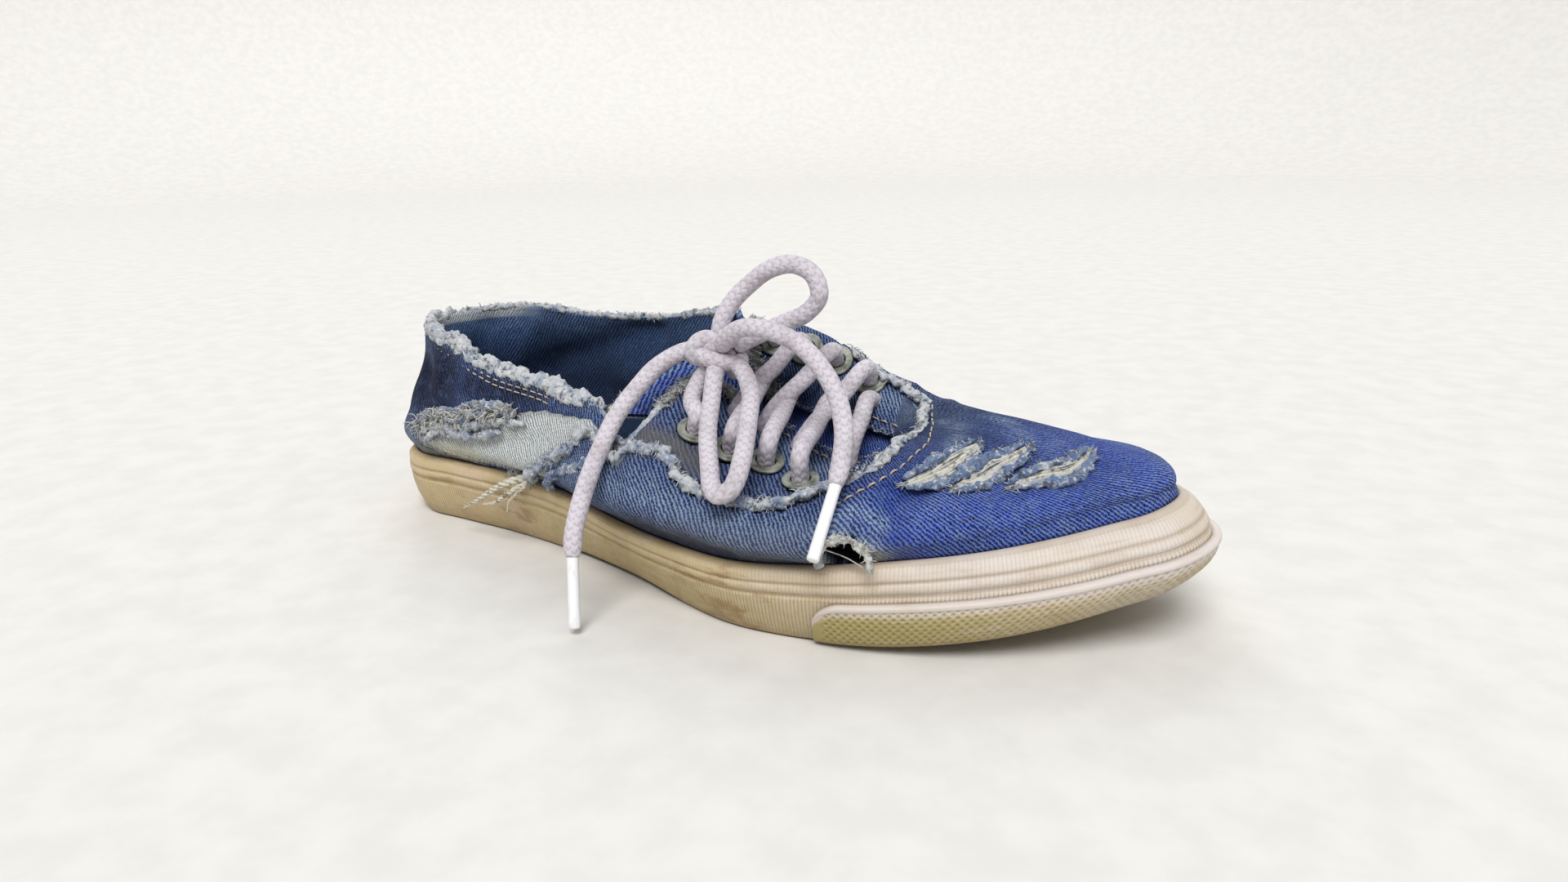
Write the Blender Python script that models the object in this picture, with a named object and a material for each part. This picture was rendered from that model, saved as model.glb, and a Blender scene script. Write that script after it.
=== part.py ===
"""Worn denim lace-up sneaker: a right shoe that stands empty on its rubber sole.

Metres, +Z up. The origin is the middle of the heel's flat resting face, +X runs to the toe and +Y to the
inner side of the foot. A "turn" says where on the outline something is: 0 at the heel's back, 1 beside the
heel, 2 beside the end of the throat, 3 at the toe, then 4 and 5 back along the inner side to 6, the heel's back.
"""

from collections import namedtuple
from math import radians, tau

import bmesh
import bpy
import numpy as np
from mathutils import Matrix, Vector

MM = 0.001

# Driving sizes of the last.
LENGTH = 295 * MM
BALL_WIDTH = 97 * MM
HEEL_HEIGHT = 75 * MM
INSTEP_HEIGHT = 77 * MM
TOE_SPRING = 15.8 * MM
HEEL_SEAT = 42 * MM

# Rubber: the slab underfoot, the band round it and the bumper over the toe.
SOLE_THICK = 6.0 * MM
ARCH = 2.5 * MM
BAND_HEIGHT = 24 * MM
BAND_WALL = 3.2 * MM
BAND_LIFT = 0.7 * MM
BUMPER_WALL = 2.2 * MM
BUMPER_TOP = 0.60
INSOLE_THICK = 3.5 * MM

# Cloth: the shell's base layer, the torn layer over it, the frayed roll at the collar and the tongue.
WALL = 1.7 * MM
OVERLAY = 1.2 * MM
EDGE_CAP = 0.5 * MM
FRAY_ROLL = 1.5 * MM
TONGUE_WALL = 2.0 * MM
CLEARANCE = 0.3 * MM
TONGUE_CLEARANCE = 1.4 * MM

# Lace, its tips and its eyelets.
LACE = 5.6 * MM
AGLET = 3.8 * MM
EYELET_FLANGE = 10.5 * MM
EYELET_BORE = 6.2 * MM
EYELET_BARREL = 7.4 * MM
EYELET_LIFT = 0.8 * MM
EYELET_LIP = 0.8 * MM
EYELET_HOLE = 8.6 * MM

# Holes worn through the cloth.
TOE_HOLE_LONG = 11.5 * MM
TOE_HOLE_HIGH = 8.0 * MM
SLASH_DEPTH = 0.9 * MM

# Where the parts of the outline begin, as shares of LENGTH, and where its ends lie across, of BALL_WIDTH.
TOE_AT = 0.9995
TOE_ACROSS = 0.150
THROAT_AT = 0.702
THROAT_ACROSS = -0.026
SPRING_FROM = 0.66
WAIST_FROM, WAIST_FULL, WAIST_FADES, WAIST_TO = 0.30, 0.37, 0.49, 0.55
HEEL_RISES, INSTEP_REACHED = 0.25, 0.55
BUMPER_FROM = 0.705

# The band's top edge from above: half widths on the outer side and the inner side of the foot, of BALL_WIDTH.
OutlineRow = namedtuple("OutlineRow", "at side inner")
OUTLINE = (
    OutlineRow(0.014, 0.149, 0.139),
    OutlineRow(0.034, 0.227, 0.206),
    OutlineRow(0.071, 0.295, 0.291),
    OutlineRow(0.142, 0.309, 0.355),
    OutlineRow(0.231, 0.319, 0.376),
    OutlineRow(0.329, 0.361, 0.346),
    OutlineRow(0.427, 0.439, 0.322),
    OutlineRow(0.525, 0.520, 0.357),
    OutlineRow(0.614, 0.557, 0.416),
    OutlineRow(0.702, 0.515, 0.482),
    OutlineRow(0.790, 0.440, 0.497),
    OutlineRow(0.868, 0.320, 0.475),
    OutlineRow(0.922, 0.197, 0.437),
    OutlineRow(0.956, 0.097, 0.385),
    OutlineRow(0.982, 0.022, 0.300),
)

# The band's own section along the shoe, of BAND_HEIGHT: its height, its bulge and its tuck under the edge.
BandRow = namedtuple("BandRow", "at high bulge tuck")
BAND = (
    BandRow(0.000, 0.95, 0.05, 0.15),
    BandRow(0.159, 1.00, 0.03, 0.19),
    BandRow(0.308, 1.00, 0.02, 0.25),
    BandRow(0.454, 0.89, 0.00, 0.35),
    BandRow(0.603, 0.90, 0.02, 0.23),
    BandRow(0.702, 0.98, 0.04, 0.17),
    BandRow(0.800, 1.06, 0.08, 0.12),
    BandRow(0.888, 1.05, 0.17, 0.09),
    BandRow(1.000, 0.99, 0.30, 0.10),
)

# The band's steps from its foot to its top: height of BAND_HEIGHT, and how far it stands out, of BAND_WALL.
StepRow = namedtuple("StepRow", "up out")
BAND_STEPS = (
    StepRow(0.00, -0.10),
    StepRow(0.30, 0.00),
    StepRow(0.62, 0.00),
    StepRow(0.65, -0.20),
    StepRow(0.69, -0.20),
    StepRow(0.72, 0.08),
    StepRow(0.79, 0.08),
    StepRow(0.82, -0.10),
    StepRow(0.85, 0.04),
    StepRow(0.96, 0.02),
    StepRow(1.00, -0.22),
)

# Sections of the upper. Each form lies this far from the middle line, of BALL_WIDTH, and this far above the
# floor, of the shoe's height there: the belly over the band, the flank, the crest and the free edge.
Section = namedtuple("Section", "at belly belly_up flank flank_up crest crest_up edge edge_up")
SIDE_SECTIONS = (
    Section(0.000, 0.436, 0.387, 0.375, 0.560, 0.290, 0.813, 0.296, 0.967),
    Section(0.034, 0.400, 0.400, 0.352, 0.560, 0.268, 0.800, 0.245, 0.960),
    Section(0.071, 0.365, 0.413, 0.330, 0.573, 0.258, 0.787, 0.226, 0.950),
    Section(0.142, 0.328, 0.440, 0.325, 0.587, 0.285, 0.773, 0.240, 0.930),
    Section(0.217, 0.353, 0.440, 0.353, 0.587, 0.325, 0.747, 0.288, 0.862),
    Section(0.319, 0.392, 0.432, 0.381, 0.558, 0.340, 0.704, 0.297, 0.805),
    Section(0.369, 0.428, 0.436, 0.418, 0.542, 0.381, 0.667, 0.332, 0.773),
    Section(0.414, 0.474, 0.433, 0.464, 0.525, 0.423, 0.644, 0.351, 0.754),
    Section(0.447, 0.510, 0.432, 0.500, 0.517, 0.474, 0.595, 0.418, 0.674),
    Section(0.475, 0.536, 0.437, 0.526, 0.522, 0.495, 0.593, 0.443, 0.659),
    Section(0.498, 0.557, 0.442, 0.536, 0.547, 0.443, 0.670, 0.160, 0.846),
    Section(0.522, 0.557, 0.442, 0.531, 0.546, 0.371, 0.682, 0.090, 0.786),
    Section(0.542, 0.565, 0.435, 0.526, 0.532, 0.351, 0.660, 0.069, 0.734),
    Section(0.576, 0.563, 0.429, 0.515, 0.500, 0.309, 0.621, 0.068, 0.696),
    Section(0.614, 0.567, 0.416, 0.505, 0.478, 0.289, 0.579, 0.071, 0.643),
    Section(0.651, 0.557, 0.403, 0.485, 0.474, 0.278, 0.545, 0.074, 0.591),
    Section(0.681, 0.541, 0.403, 0.448, 0.494, 0.258, 0.545, 0.067, 0.569),
    Section(0.702, 0.526, 0.403, 0.412, 0.519, 0.227, 0.571, 0.052, 0.584),
    Section(0.739, 0.505, 0.403, 0.381, 0.552, 0.227, 0.636, 0.052, 0.610),
    Section(0.790, 0.500, 0.435, 0.371, 0.584, 0.206, 0.669, 0.046, 0.623),
    Section(0.868, 0.567, 0.481, 0.412, 0.601, 0.196, 0.682, 0.046, 0.636),
    Section(0.922, 0.660, 0.513, 0.480, 0.612, 0.186, 0.695, 0.046, 0.643),
    Section(0.956, 0.742, 0.540, 0.580, 0.625, 0.186, 0.708, 0.046, 0.649),
    Section(0.982, 0.818, 0.556, 0.650, 0.640, 0.186, 0.716, 0.046, 0.653),
    Section(TOE_AT, 0.893, 0.570, 0.720, 0.650, 0.186, 0.721, 0.046, 0.656),
)
INNER_SECTIONS = (
    Section(0.034, 0.397, 0.400, 0.361, 0.573, 0.294, 0.800, 0.290, 0.975),
    Section(0.071, 0.371, 0.420, 0.345, 0.587, 0.289, 0.800, 0.282, 0.985),
    Section(0.142, 0.376, 0.440, 0.361, 0.613, 0.309, 0.813, 0.276, 0.988),
    Section(0.217, 0.400, 0.453, 0.387, 0.627, 0.345, 0.813, 0.318, 0.957),
    Section(0.319, 0.381, 0.465, 0.387, 0.638, 0.371, 0.837, 0.349, 0.970),
    Section(0.414, 0.361, 0.473, 0.376, 0.657, 0.366, 0.867, 0.338, 1.010),
    Section(0.458, 0.376, 0.483, 0.381, 0.666, 0.356, 0.901, 0.278, 1.042),
    Section(0.481, 0.387, 0.489, 0.387, 0.678, 0.340, 0.938, 0.206, 1.030),
    Section(0.505, 0.397, 0.494, 0.392, 0.676, 0.314, 0.989, 0.113, 0.937),
    Section(0.522, 0.407, 0.494, 0.397, 0.676, 0.294, 1.007, 0.085, 0.845),
    Section(0.546, 0.418, 0.494, 0.402, 0.675, 0.273, 1.000, 0.067, 0.760),
    Section(0.590, 0.443, 0.494, 0.412, 0.675, 0.253, 0.961, 0.062, 0.695),
    Section(0.631, 0.474, 0.487, 0.423, 0.662, 0.232, 0.877, 0.065, 0.669),
    Section(0.668, 0.495, 0.481, 0.412, 0.649, 0.211, 0.818, 0.062, 0.657),
    Section(0.702, 0.505, 0.487, 0.392, 0.649, 0.186, 0.799, 0.052, 0.643),
    Section(0.739, 0.521, 0.494, 0.371, 0.643, 0.175, 0.779, 0.052, 0.643),
    Section(0.790, 0.567, 0.506, 0.381, 0.636, 0.175, 0.760, 0.052, 0.649),
    Section(0.868, 0.675, 0.526, 0.470, 0.630, 0.175, 0.747, 0.046, 0.653),
    Section(0.922, 0.778, 0.543, 0.560, 0.630, 0.180, 0.734, 0.046, 0.656),
    Section(0.956, 0.840, 0.556, 0.630, 0.636, 0.186, 0.727, 0.046, 0.656),
    Section(0.982, 0.880, 0.564, 0.690, 0.643, 0.186, 0.724, 0.046, 0.656),
)

# The layer sewn over the base cloth, up a section counted 0 foot, 1 band top, 2 belly, 3 flank, 4 crest, 5 edge:
# the vamp piece ends at vamp_top and the quarter piece begins at quarter_low. torn is how far the strip between
# them is bare, quarter how thick the quarter piece is above it, and roll how much frayed roll the edge carries.
Layer = namedtuple("Layer", "at vamp_top quarter_low torn quarter roll")
SIDE_LAYERS = (
    Layer(0.000, 2.20, 2.60, 0.0, 1.0, 1.0),
    Layer(0.071, 2.20, 2.50, 0.0, 1.0, 1.0),
    Layer(0.115, 1.80, 2.50, 1.0, 1.0, 1.0),
    Layer(0.166, 1.50, 2.80, 1.0, 1.0, 1.0),
    Layer(0.217, 1.20, 3.20, 1.0, 1.0, 1.0),
    Layer(0.302, 1.20, 3.75, 1.0, 1.0, 1.0),
    Layer(0.376, 2.90, 4.30, 1.0, 1.0, 1.0),
    Layer(0.414, 3.80, 4.45, 1.0, 1.0, 1.0),
    Layer(0.441, 4.25, 4.65, 0.6, 1.0, 0.6),
    Layer(0.475, 4.20, 4.70, 0.0, 0.6, 0.0),
    Layer(0.498, 4.00, 4.70, 1.0, 0.0, 0.0),
    Layer(0.522, 3.60, 4.70, 1.0, 0.0, 0.0),
    Layer(0.576, 3.10, 4.70, 1.0, 0.0, 0.0),
    Layer(0.681, 3.15, 4.70, 1.0, 0.0, 0.0),
    Layer(0.702, 3.30, 4.70, 1.0, 0.0, 0.0),
    Layer(0.739, 3.85, 4.70, 1.0, 0.0, 0.0),
    Layer(0.790, 4.05, 4.70, 1.0, 0.0, 0.0),
    Layer(0.868, 4.20, 4.70, 1.0, 0.0, 0.0),
    Layer(TOE_AT, 4.30, 4.70, 1.0, 0.0, 0.0),
)
INNER_LAYERS = (
    Layer(0.071, 2.20, 2.60, 0.0, 1.0, 1.0),
    Layer(0.166, 1.50, 2.80, 0.0, 1.0, 1.0),
    Layer(0.217, 1.30, 3.20, 0.5, 0.5, 1.0),
    Layer(0.268, 1.30, 4.00, 1.0, 0.0, 1.0),
    Layer(0.319, 1.40, 4.50, 1.0, 0.0, 1.0),
    Layer(0.414, 2.30, 4.70, 1.0, 0.0, 1.0),
    Layer(0.458, 2.80, 4.70, 1.0, 0.0, 1.0),
    Layer(0.481, 2.90, 4.70, 1.0, 0.0, 0.4),
    Layer(0.522, 3.20, 4.70, 1.0, 0.0, 0.0),
    Layer(0.590, 3.60, 4.70, 1.0, 0.0, 0.0),
    Layer(0.631, 3.90, 4.70, 1.0, 0.0, 0.0),
    Layer(0.702, 4.05, 4.70, 1.0, 0.0, 0.0),
    Layer(0.790, 4.15, 4.70, 1.0, 0.0, 0.0),
    Layer(0.956, 4.30, 4.70, 1.0, 0.0, 0.0),
)

# The tongue's free end: how far along the shoe, across and up its edge lies, and across where it is sewn in.
TongueRow = namedtuple("TongueRow", "at across up sewn_across")
TONGUE = (
    TongueRow(0.414, -0.340, 0.708, -0.196),
    TongueRow(0.441, -0.206, 0.826, -0.124),
    TongueRow(0.475, -0.093, 0.930, -0.056),
    TongueRow(0.484, 0.036, 0.965, 0.020),
    TongueRow(0.470, 0.130, 0.930, 0.080),
)
TONGUE_UNDER_FLAPS = 0.503
TONGUE_SEWN_AT = 0.700
TONGUE_DROOP = 1.5 * MM

# Eyelets: each row's places along the shoe, and how far they lie from the middle line, of BALL_WIDTH.
EyeletRow = namedtuple("EyeletRow", "at side inner")
EYELETS = (
    EyeletRow(0.535, 0.318, 0.186),
    EyeletRow(0.575, 0.299, 0.184),
    EyeletRow(0.612, 0.272, 0.186),
    EyeletRow(0.656, 0.283, 0.178),
)
STRAND_REARWARD = 0.030

# The bow. Its knot is a rounded lump; the cords leave it along routes chosen by hand, in millimetres.
KNOT = (117, -20, 75)
KNOT_HALF = (8.0, 6.8, 6.2)
TAIL_SIDE = (KNOT, (107.8, -23.4, 76), (101, -29.5, 72), (96.8, -37, 65), (94.8, -44, 58.5), (94.3, -51.5, 50.5),
             (94.6, -59, 42), (95.6, -65.5, 33.5), (96.8, -69.4, 28), (98, -71.6, 22.3))
TAIL_SIDE_TIP = (101.2, -76.6, 2.2)
TAIL_FRONT = (KNOT, (124, -25, 82), (130, -26, 85.3), (138, -25, 85.2), (147, -23.5, 82), (155.5, -24.5, 76),
              (162.5, -27, 68), (167, -31.5, 59.5), (169.5, -38.5, 51.5), (170, -42, 47.4))
TAIL_FRONT_TIP = (172.0, -58.6, 31.6)
LOOP_UP = (KNOT, (117, -18, 85), (119.5, -15, 91), (124, -12.5, 96), (131, -11, 101), (138, -9.5, 102.5),
           (144, -8, 99.5), (146, -8, 93), (142.5, -9, 88.3), (135, -11.5, 84.5), (127, -15.5, 80.5), KNOT)
LOOP_DOWN = (KNOT, (119.8, -27, 69.8), (121.5, -31.5, 63), (124.5, -38, 56), (129.5, -45, 50), (135, -51.5, 45.3),
             (140.5, -54.8, 43.6), (143.5, -51.5, 47), (141, -44, 52.8), (137, -35, 59.5), (132, -26, 66.5),
             (126, -21.5, 71.5), KNOT)
RISE_SIDE = ((113.4, -30.5, 62), (112.2, -25, 66.5), KNOT)
RISE_INNER = ((113.5, 8, 76.5), (116.5, -3, 77), (117, -11, 76), KNOT)

# Facets: ribs of the shell in each part of the outline, and how finely round things are cut.
RIB_ZONES = ((0.0, 1.0, 5), (1.0, 1.56, 8), (1.56, 1.70, 6), (1.70, 2.0, 5), (2.0, 3.0, 10))
EYELET_SIDES = 12
LACE_POINT_EVERY = 2.4
KNOT_ROOM = 0.75
MOUTH_ROOM = 0.9 * MM
STRAIGHT_RUN = 4 * MM
STEP_WIDTH = 0.03
SLAB_RING = 0.55
INSIDE_ROWS = (16, 15, 14, 12, 11, 10, 8, 6, 5, 3, 2, 0)
ROLLED_ROWS = (16, 15)

COLOURS = {
    "outer_denim": ((0.045, 0.085, 0.26, 1), 0.92, 0.0),
    "rubber": ((0.68, 0.60, 0.44, 1), 0.6, 0.0),
    "bumper_rubber": ((0.62, 0.58, 0.36, 1), 0.65, 0.0),
    "sole_rubber": ((0.50, 0.42, 0.28, 1), 0.7, 0.0),
    "insole_cloth": ((0.35, 0.34, 0.32, 1), 0.95, 0.0),
    "eyelet_metal": ((0.36, 0.35, 0.28, 1), 0.45, 1.0),
    "lace_cotton": ((0.62, 0.58, 0.62, 1), 0.9, 0.0),
    "tip_plastic": ((0.86, 0.86, 0.88, 1), 0.3, 0.0),
}


def clear_scene():
    for obj in list(bpy.data.objects):
        bpy.data.objects.remove(obj, do_unlink=True)


def material(name):
    """The named finish, made once and shared."""
    found = bpy.data.materials.get(name)
    if found:
        return found
    colour, roughness, metallic = COLOURS[name]
    made = bpy.data.materials.new(name)
    made.use_nodes = True
    shader = made.node_tree.nodes["Principled BSDF"]
    shader.inputs["Base Color"].default_value = colour
    shader.inputs["Roughness"].default_value = roughness
    shader.inputs["Metallic"].default_value = metallic
    return made


def solid(name, vertices, faces, finish):
    """One named mesh object, smooth but for its sharp edges."""
    mesh = bpy.data.meshes.new(name)
    mesh.from_pydata([tuple(v) for v in vertices], [], [tuple(f) for f in faces])
    mesh.materials.append(material(finish))
    mesh.shade_smooth()
    mesh.set_sharp_from_angle(angle=radians(35))
    obj = bpy.data.objects.new(name, mesh)
    bpy.context.scene.collection.objects.link(obj)
    return obj


def along(points, where, closed=False):
    """Reads a smooth curve through the points, at places counted in points from the first."""
    knots = np.asarray(points, float)
    where = np.atleast_1d(np.asarray(where, float))
    if closed:
        line = np.vstack((knots[-1:], knots, knots[:2]))
    else:
        line = np.vstack((2 * knots[0] - knots[1], knots, 2 * knots[-1] - knots[-2]))
    gap = np.linalg.norm(np.diff(line, axis=0), axis=1)[:, None]
    rate = np.diff(line, axis=0) / gap
    tangent = (rate[:-1] * gap[1:] + rate[1:] * gap[:-1]) / (gap[:-1] + gap[1:])
    first = np.clip(np.floor(where).astype(int), 0, len(tangent) - 2)
    t = (where - first)[:, None]
    start, end, span = line[first + 1], line[first + 2], gap[first + 1]
    lean_in, lean_out = tangent[first] * span, tangent[first + 1] * span
    return (
        (2 * t**3 - 3 * t**2 + 1) * start
        + (t**3 - 2 * t**2 + t) * lean_in
        + (3 * t**2 - 2 * t**3) * end
        + (t**3 - t**2) * lean_out
    )


def steady(knots, values, where):
    """Reads a smooth line through the values that never overshoots them."""
    knots, values = np.asarray(knots, float), np.asarray(values, float)
    where = np.asarray(where, float)
    step = np.diff(knots)
    slope = np.diff(values) / step
    before, after = slope[:-1], slope[1:]
    heavy, light = 2 * step[1:] + step[:-1], step[1:] + 2 * step[:-1]
    same_way = before * after > 0
    safe_before, safe_after = np.where(same_way, before, 1.0), np.where(same_way, after, 1.0)
    mean = (heavy + light) / (heavy / safe_before + light / safe_after)
    lean = np.concatenate((slope[:1], np.where(same_way, mean, 0.0), slope[-1:]))
    first = np.clip(np.searchsorted(knots, where) - 1, 0, len(step) - 1)
    t = np.clip((where - knots[first]) / step[first], 0, 1)
    return (
        (2 * t**3 - 3 * t**2 + 1) * values[first]
        + (t**3 - 2 * t**2 + t) * lean[first] * step[first]
        + (3 * t**2 - 2 * t**3) * values[first + 1]
        + (t**3 - t**2) * lean[first + 1] * step[first]
    )


def ease(x, start, end):
    t = np.clip((np.asarray(x, float) - start) / (end - start), 0, 1)
    return t * t * (3 - 2 * t)


# The middle line of the ribs: from the origin over the heel to the end of the throat.
THROAT = np.array((THROAT_AT * LENGTH - HEEL_SEAT, THROAT_ACROSS * BALL_WIDTH))


def place_x(at):
    return np.asarray(at) * LENGTH - HEEL_SEAT


def share_at(x):
    return (np.asarray(x) + HEEL_SEAT) / LENGTH


def plan_points():
    """The band's top edge as dense points round the shoe, with the turn of each."""
    side = [(place_x(row.at), -row.side * BALL_WIDTH) for row in OUTLINE]
    inner = [(place_x(row.at), row.inner * BALL_WIDTH) for row in reversed(OUTLINE)]
    toe = (place_x(TOE_AT), TOE_ACROSS * BALL_WIDTH)
    knots = [(place_x(0), 0.0), *side, toe, *inner]
    per_knot = 60
    where = np.arange(len(knots) * per_knot) / per_knot
    points = along(knots, where, closed=True)
    x, y = points.T
    on_side = where <= len(side) + 1
    toe_angle = np.arctan2(toe[1] - THROAT[1], toe[0] - THROAT[0])
    quarter = tau / 4
    heel_turn = np.arctan2(np.abs(y), -x) / quarter
    middle_turn = 1 + x / THROAT[0]
    angle = np.arctan2(y - THROAT[1], x - THROAT[0])
    side_turn = 2 + (angle + quarter) / (toe_angle + quarter)
    inner_turn = 2 + (quarter - angle) / (quarter - toe_angle)
    toe_turn = np.where(on_side, side_turn, inner_turn)
    turn = np.where(x < 0, heel_turn, np.where(x < THROAT[0], middle_turn, toe_turn))
    turn = np.where(on_side, turn, 6 - turn)
    turn[0] = 0.0
    order = np.argsort(turn)
    return turn[order], points[order]


PLAN_TURN, PLAN_XY = plan_points()


def plan_at(turn):
    """The outline's point at each turn, and the way out of the shoe there."""
    def read(where):
        return np.stack([np.interp(where % 6, PLAN_TURN, PLAN_XY[:, k], period=6) for k in range(2)], -1)

    turn = np.asarray(turn, float)
    nudge = 0.02
    tangent = read(turn + nudge) - read(turn - nudge)
    tangent /= np.linalg.norm(tangent, axis=-1, keepdims=True)
    return read(turn), np.stack((tangent[..., 1], -tangent[..., 0]), -1)


def spine_at(turn):
    """Where a rib starts: on the line from the origin to the end of the throat."""
    half = np.minimum(np.asarray(turn) % 6, 6 - np.asarray(turn) % 6)
    return np.clip(half - 1, 0, 1)[..., None] * THROAT


def turn_beside(at, inner):
    """The turn at which the outline passes a place along the shoe, on the outer or the inner side."""
    half = PLAN_TURN >= 3 if inner else PLAN_TURN <= 3
    x, turn = PLAN_XY[half, 0], PLAN_TURN[half]
    order = np.argsort(x)
    return np.interp(place_x(at), x[order], turn[order])


def round_the_shoe(side_rows, inner_rows, column, turn):
    """Reads a column of two tables of sections, the outer side's and the inner side's, at each turn."""
    knots = [0.0 if row.at == 0 else 3.0 if row.at == TOE_AT else float(turn_beside(row.at, False)) for row in side_rows]
    knots += [float(turn_beside(row.at, True)) for row in reversed(inner_rows)]
    values = [getattr(row, column) for row in side_rows] + [getattr(row, column) for row in reversed(inner_rows)]
    ahead, behind = 4, -4
    knots = np.concatenate((np.array(knots[behind:]) - 6, knots, np.array(knots[:ahead]) + 6))
    values = values[behind:] + values + values[:ahead]
    return steady(knots, values, np.asarray(turn, float) % 6)


def down_the_table(rows, column, at):
    return steady([row.at for row in rows], [getattr(row, column) for row in rows], at)


def spring(x):
    """How far the sole has left the floor towards the toe."""
    rise = np.clip((share_at(x) - SPRING_FROM) / (1 - SPRING_FROM), 0, 1)
    return TOE_SPRING * rise**2


def waist(x):
    """How far the sole's face is hollowed under the arch."""
    at = share_at(x)
    return ARCH * ease(at, WAIST_FROM, WAIST_FULL) * (1 - ease(at, WAIST_FADES, WAIST_TO))


def band_height(x):
    return BAND_HEIGHT * down_the_table(BAND, "high", share_at(x))


def band_out(x, up):
    """How far the band's face lies outside its own top edge, at a share of its height."""
    at = share_at(x)
    bulge = BAND_HEIGHT * down_the_table(BAND, "bulge", at) * 4 * up * (1 - up)
    return bulge - BAND_HEIGHT * down_the_table(BAND, "tuck", at) * (1 - up) ** 1.5


def band_in(x, up):
    """The same for the band's straight inner face: it's thickest where the outer face bulges."""
    return -BAND_HEIGHT * down_the_table(BAND, "tuck", share_at(x)) * (1 - up) - BAND_WALL


def shoe_height(x):
    return HEEL_HEIGHT + (INSTEP_HEIGHT - HEEL_HEIGHT) * ease(share_at(x), HEEL_RISES, INSTEP_REACHED)


def sections(turns):
    """The upper's ribs at these turns: six points each, from the foot of the shell to its free edge."""
    turns = np.asarray(turns, float)
    edge_xy, out = plan_at(turns)
    spine = spine_at(turns)
    rib = edge_xy - spine
    rib /= np.linalg.norm(rib, axis=1, keepdims=True)
    x = edge_xy[:, 0]
    high = band_height(x)
    foot_up = (SOLE_THICK + CLEARANCE) / high
    inside = CLEARANCE + OVERLAY
    lip = 1 * MM
    foot = edge_xy + out * (band_in(x, foot_up) - inside)[:, None]
    top = edge_xy + out * (band_in(x, 1.0) - inside)[:, None]
    points = [np.column_stack((foot, spring(x) + SOLE_THICK + CLEARANCE)), np.column_stack((top, spring(x) + high + lip))]
    for form in ("belly", "flank", "crest", "edge"):
        reach = BALL_WIDTH * round_the_shoe(SIDE_SECTIONS, INNER_SECTIONS, form, turns)
        up = round_the_shoe(SIDE_SECTIONS, INNER_SECTIONS, form + "_up", turns)
        at_form = spine + rib * reach[:, None]
        points.append(np.column_stack((at_form, up * shoe_height(at_form[:, 0]))))
    return np.stack(points, 1)


def rib_turns():
    """The turns of all ribs, the same on the two sides, closer where the eyestay begins."""
    half = np.concatenate([np.linspace(start, end, count, endpoint=False) for start, end, count in RIB_ZONES])
    return np.concatenate((half, [3.0], 6 - half[:0:-1]))


def skin(turns, rows, lift):
    """Points of the shell's base face at each rib and row, moved out by lift along the face."""
    ribs = sections(turns)
    points = np.stack([along(ribs[i], rows[i]) for i in range(len(turns))])
    nudge = 0.05
    higher = np.stack([along(ribs[i], np.minimum(rows[i] + nudge, 5)) for i in range(len(turns))])
    lower = np.stack([along(ribs[i], np.maximum(rows[i] - nudge, 0)) for i in range(len(turns))])
    upward = higher - lower
    upward /= np.linalg.norm(upward, axis=2, keepdims=True)
    onward = np.roll(points, -1, 0) - np.roll(points, 1, 0)
    normal = np.cross(onward, upward)
    normal /= np.linalg.norm(normal, axis=2, keepdims=True)
    lifted = points + normal * lift[..., None]
    lifted[..., 2] = np.where(rows == 0, points[..., 2], lifted[..., 2])
    return lifted, upward


def ring_faces(ribs, rows, first=0, closed=True):
    """Quads round a shell whose sections are closed loops of rows points, rib after rib."""
    faces = []
    for i in range(ribs if closed else ribs - 1):
        for j in range(rows):
            a, b = first + i * rows, first + (i + 1) % ribs * rows
            k = (j + 1) % rows
            faces.append((a + j, b + j, b + k, a + k))
    return faces


def make_upper():
    """The denim shell: one wall, open above, below, at the throat, the eyelets and the worn holes."""
    turns = rib_turns()
    read = {name: round_the_shoe(SIDE_LAYERS, INNER_LAYERS, name, turns) for name in Layer._fields[1:]}
    vamp_top, quarter_low, torn = read["vamp_top"], read["quarter_low"], read["torn"]
    quarter, roll = read["quarter"], read["roll"]
    whole = np.ones_like(turns)
    rows, lift = [], []
    for place in (0.0, 0.5, 1.0):
        rows.append(place * whole)
        lift.append(OVERLAY * whole)
    for share in (0.16, 0.32, 0.48, 0.65, 0.82, 1.0):
        rows.append(1 + (vamp_top - STEP_WIDTH - 1) * share)
        lift.append(OVERLAY * whole)
    for share in (0.0, 0.35, 0.7, 1.0):
        rows.append(vamp_top + STEP_WIDTH + (quarter_low - vamp_top - 2 * STEP_WIDTH) * share)
        lift.append(OVERLAY * (1 - torn))
    for share, swell in ((0.0, 0.0), (0.45, 0.0), (0.8, 1.0), (1.0, 0.9)):
        rows.append(quarter_low + STEP_WIDTH + (5 - quarter_low - STEP_WIDTH) * share)
        lift.append(OVERLAY * quarter + FRAY_ROLL * swell * roll)
    outer_rows = len(rows)
    for row in INSIDE_ROWS:
        rows.append(rows[row])
        lift.append(-WALL - FRAY_ROLL * roll * float(row in ROLLED_ROWS))
    points, upward = skin(turns, np.stack(rows, 1), np.stack(lift, 1))
    rim = (points[:, outer_rows - 1] + points[:, outer_rows]) / 2
    rim += upward[:, outer_rows] * (EDGE_CAP + FRAY_ROLL * roll)[:, None]
    loops = np.concatenate((points[:, :outer_rows], rim[:, None], points[:, outer_rows:]), 1)
    faces = ring_faces(loops.shape[0], loops.shape[1])
    upper = solid("upper", loops.reshape(-1, 3), faces, "outer_denim")
    for cutter in [*eyelet_cutters(), toe_hole_cutter(), *slash_cutters()]:
        cut(upper, cutter)
    return upper


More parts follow.
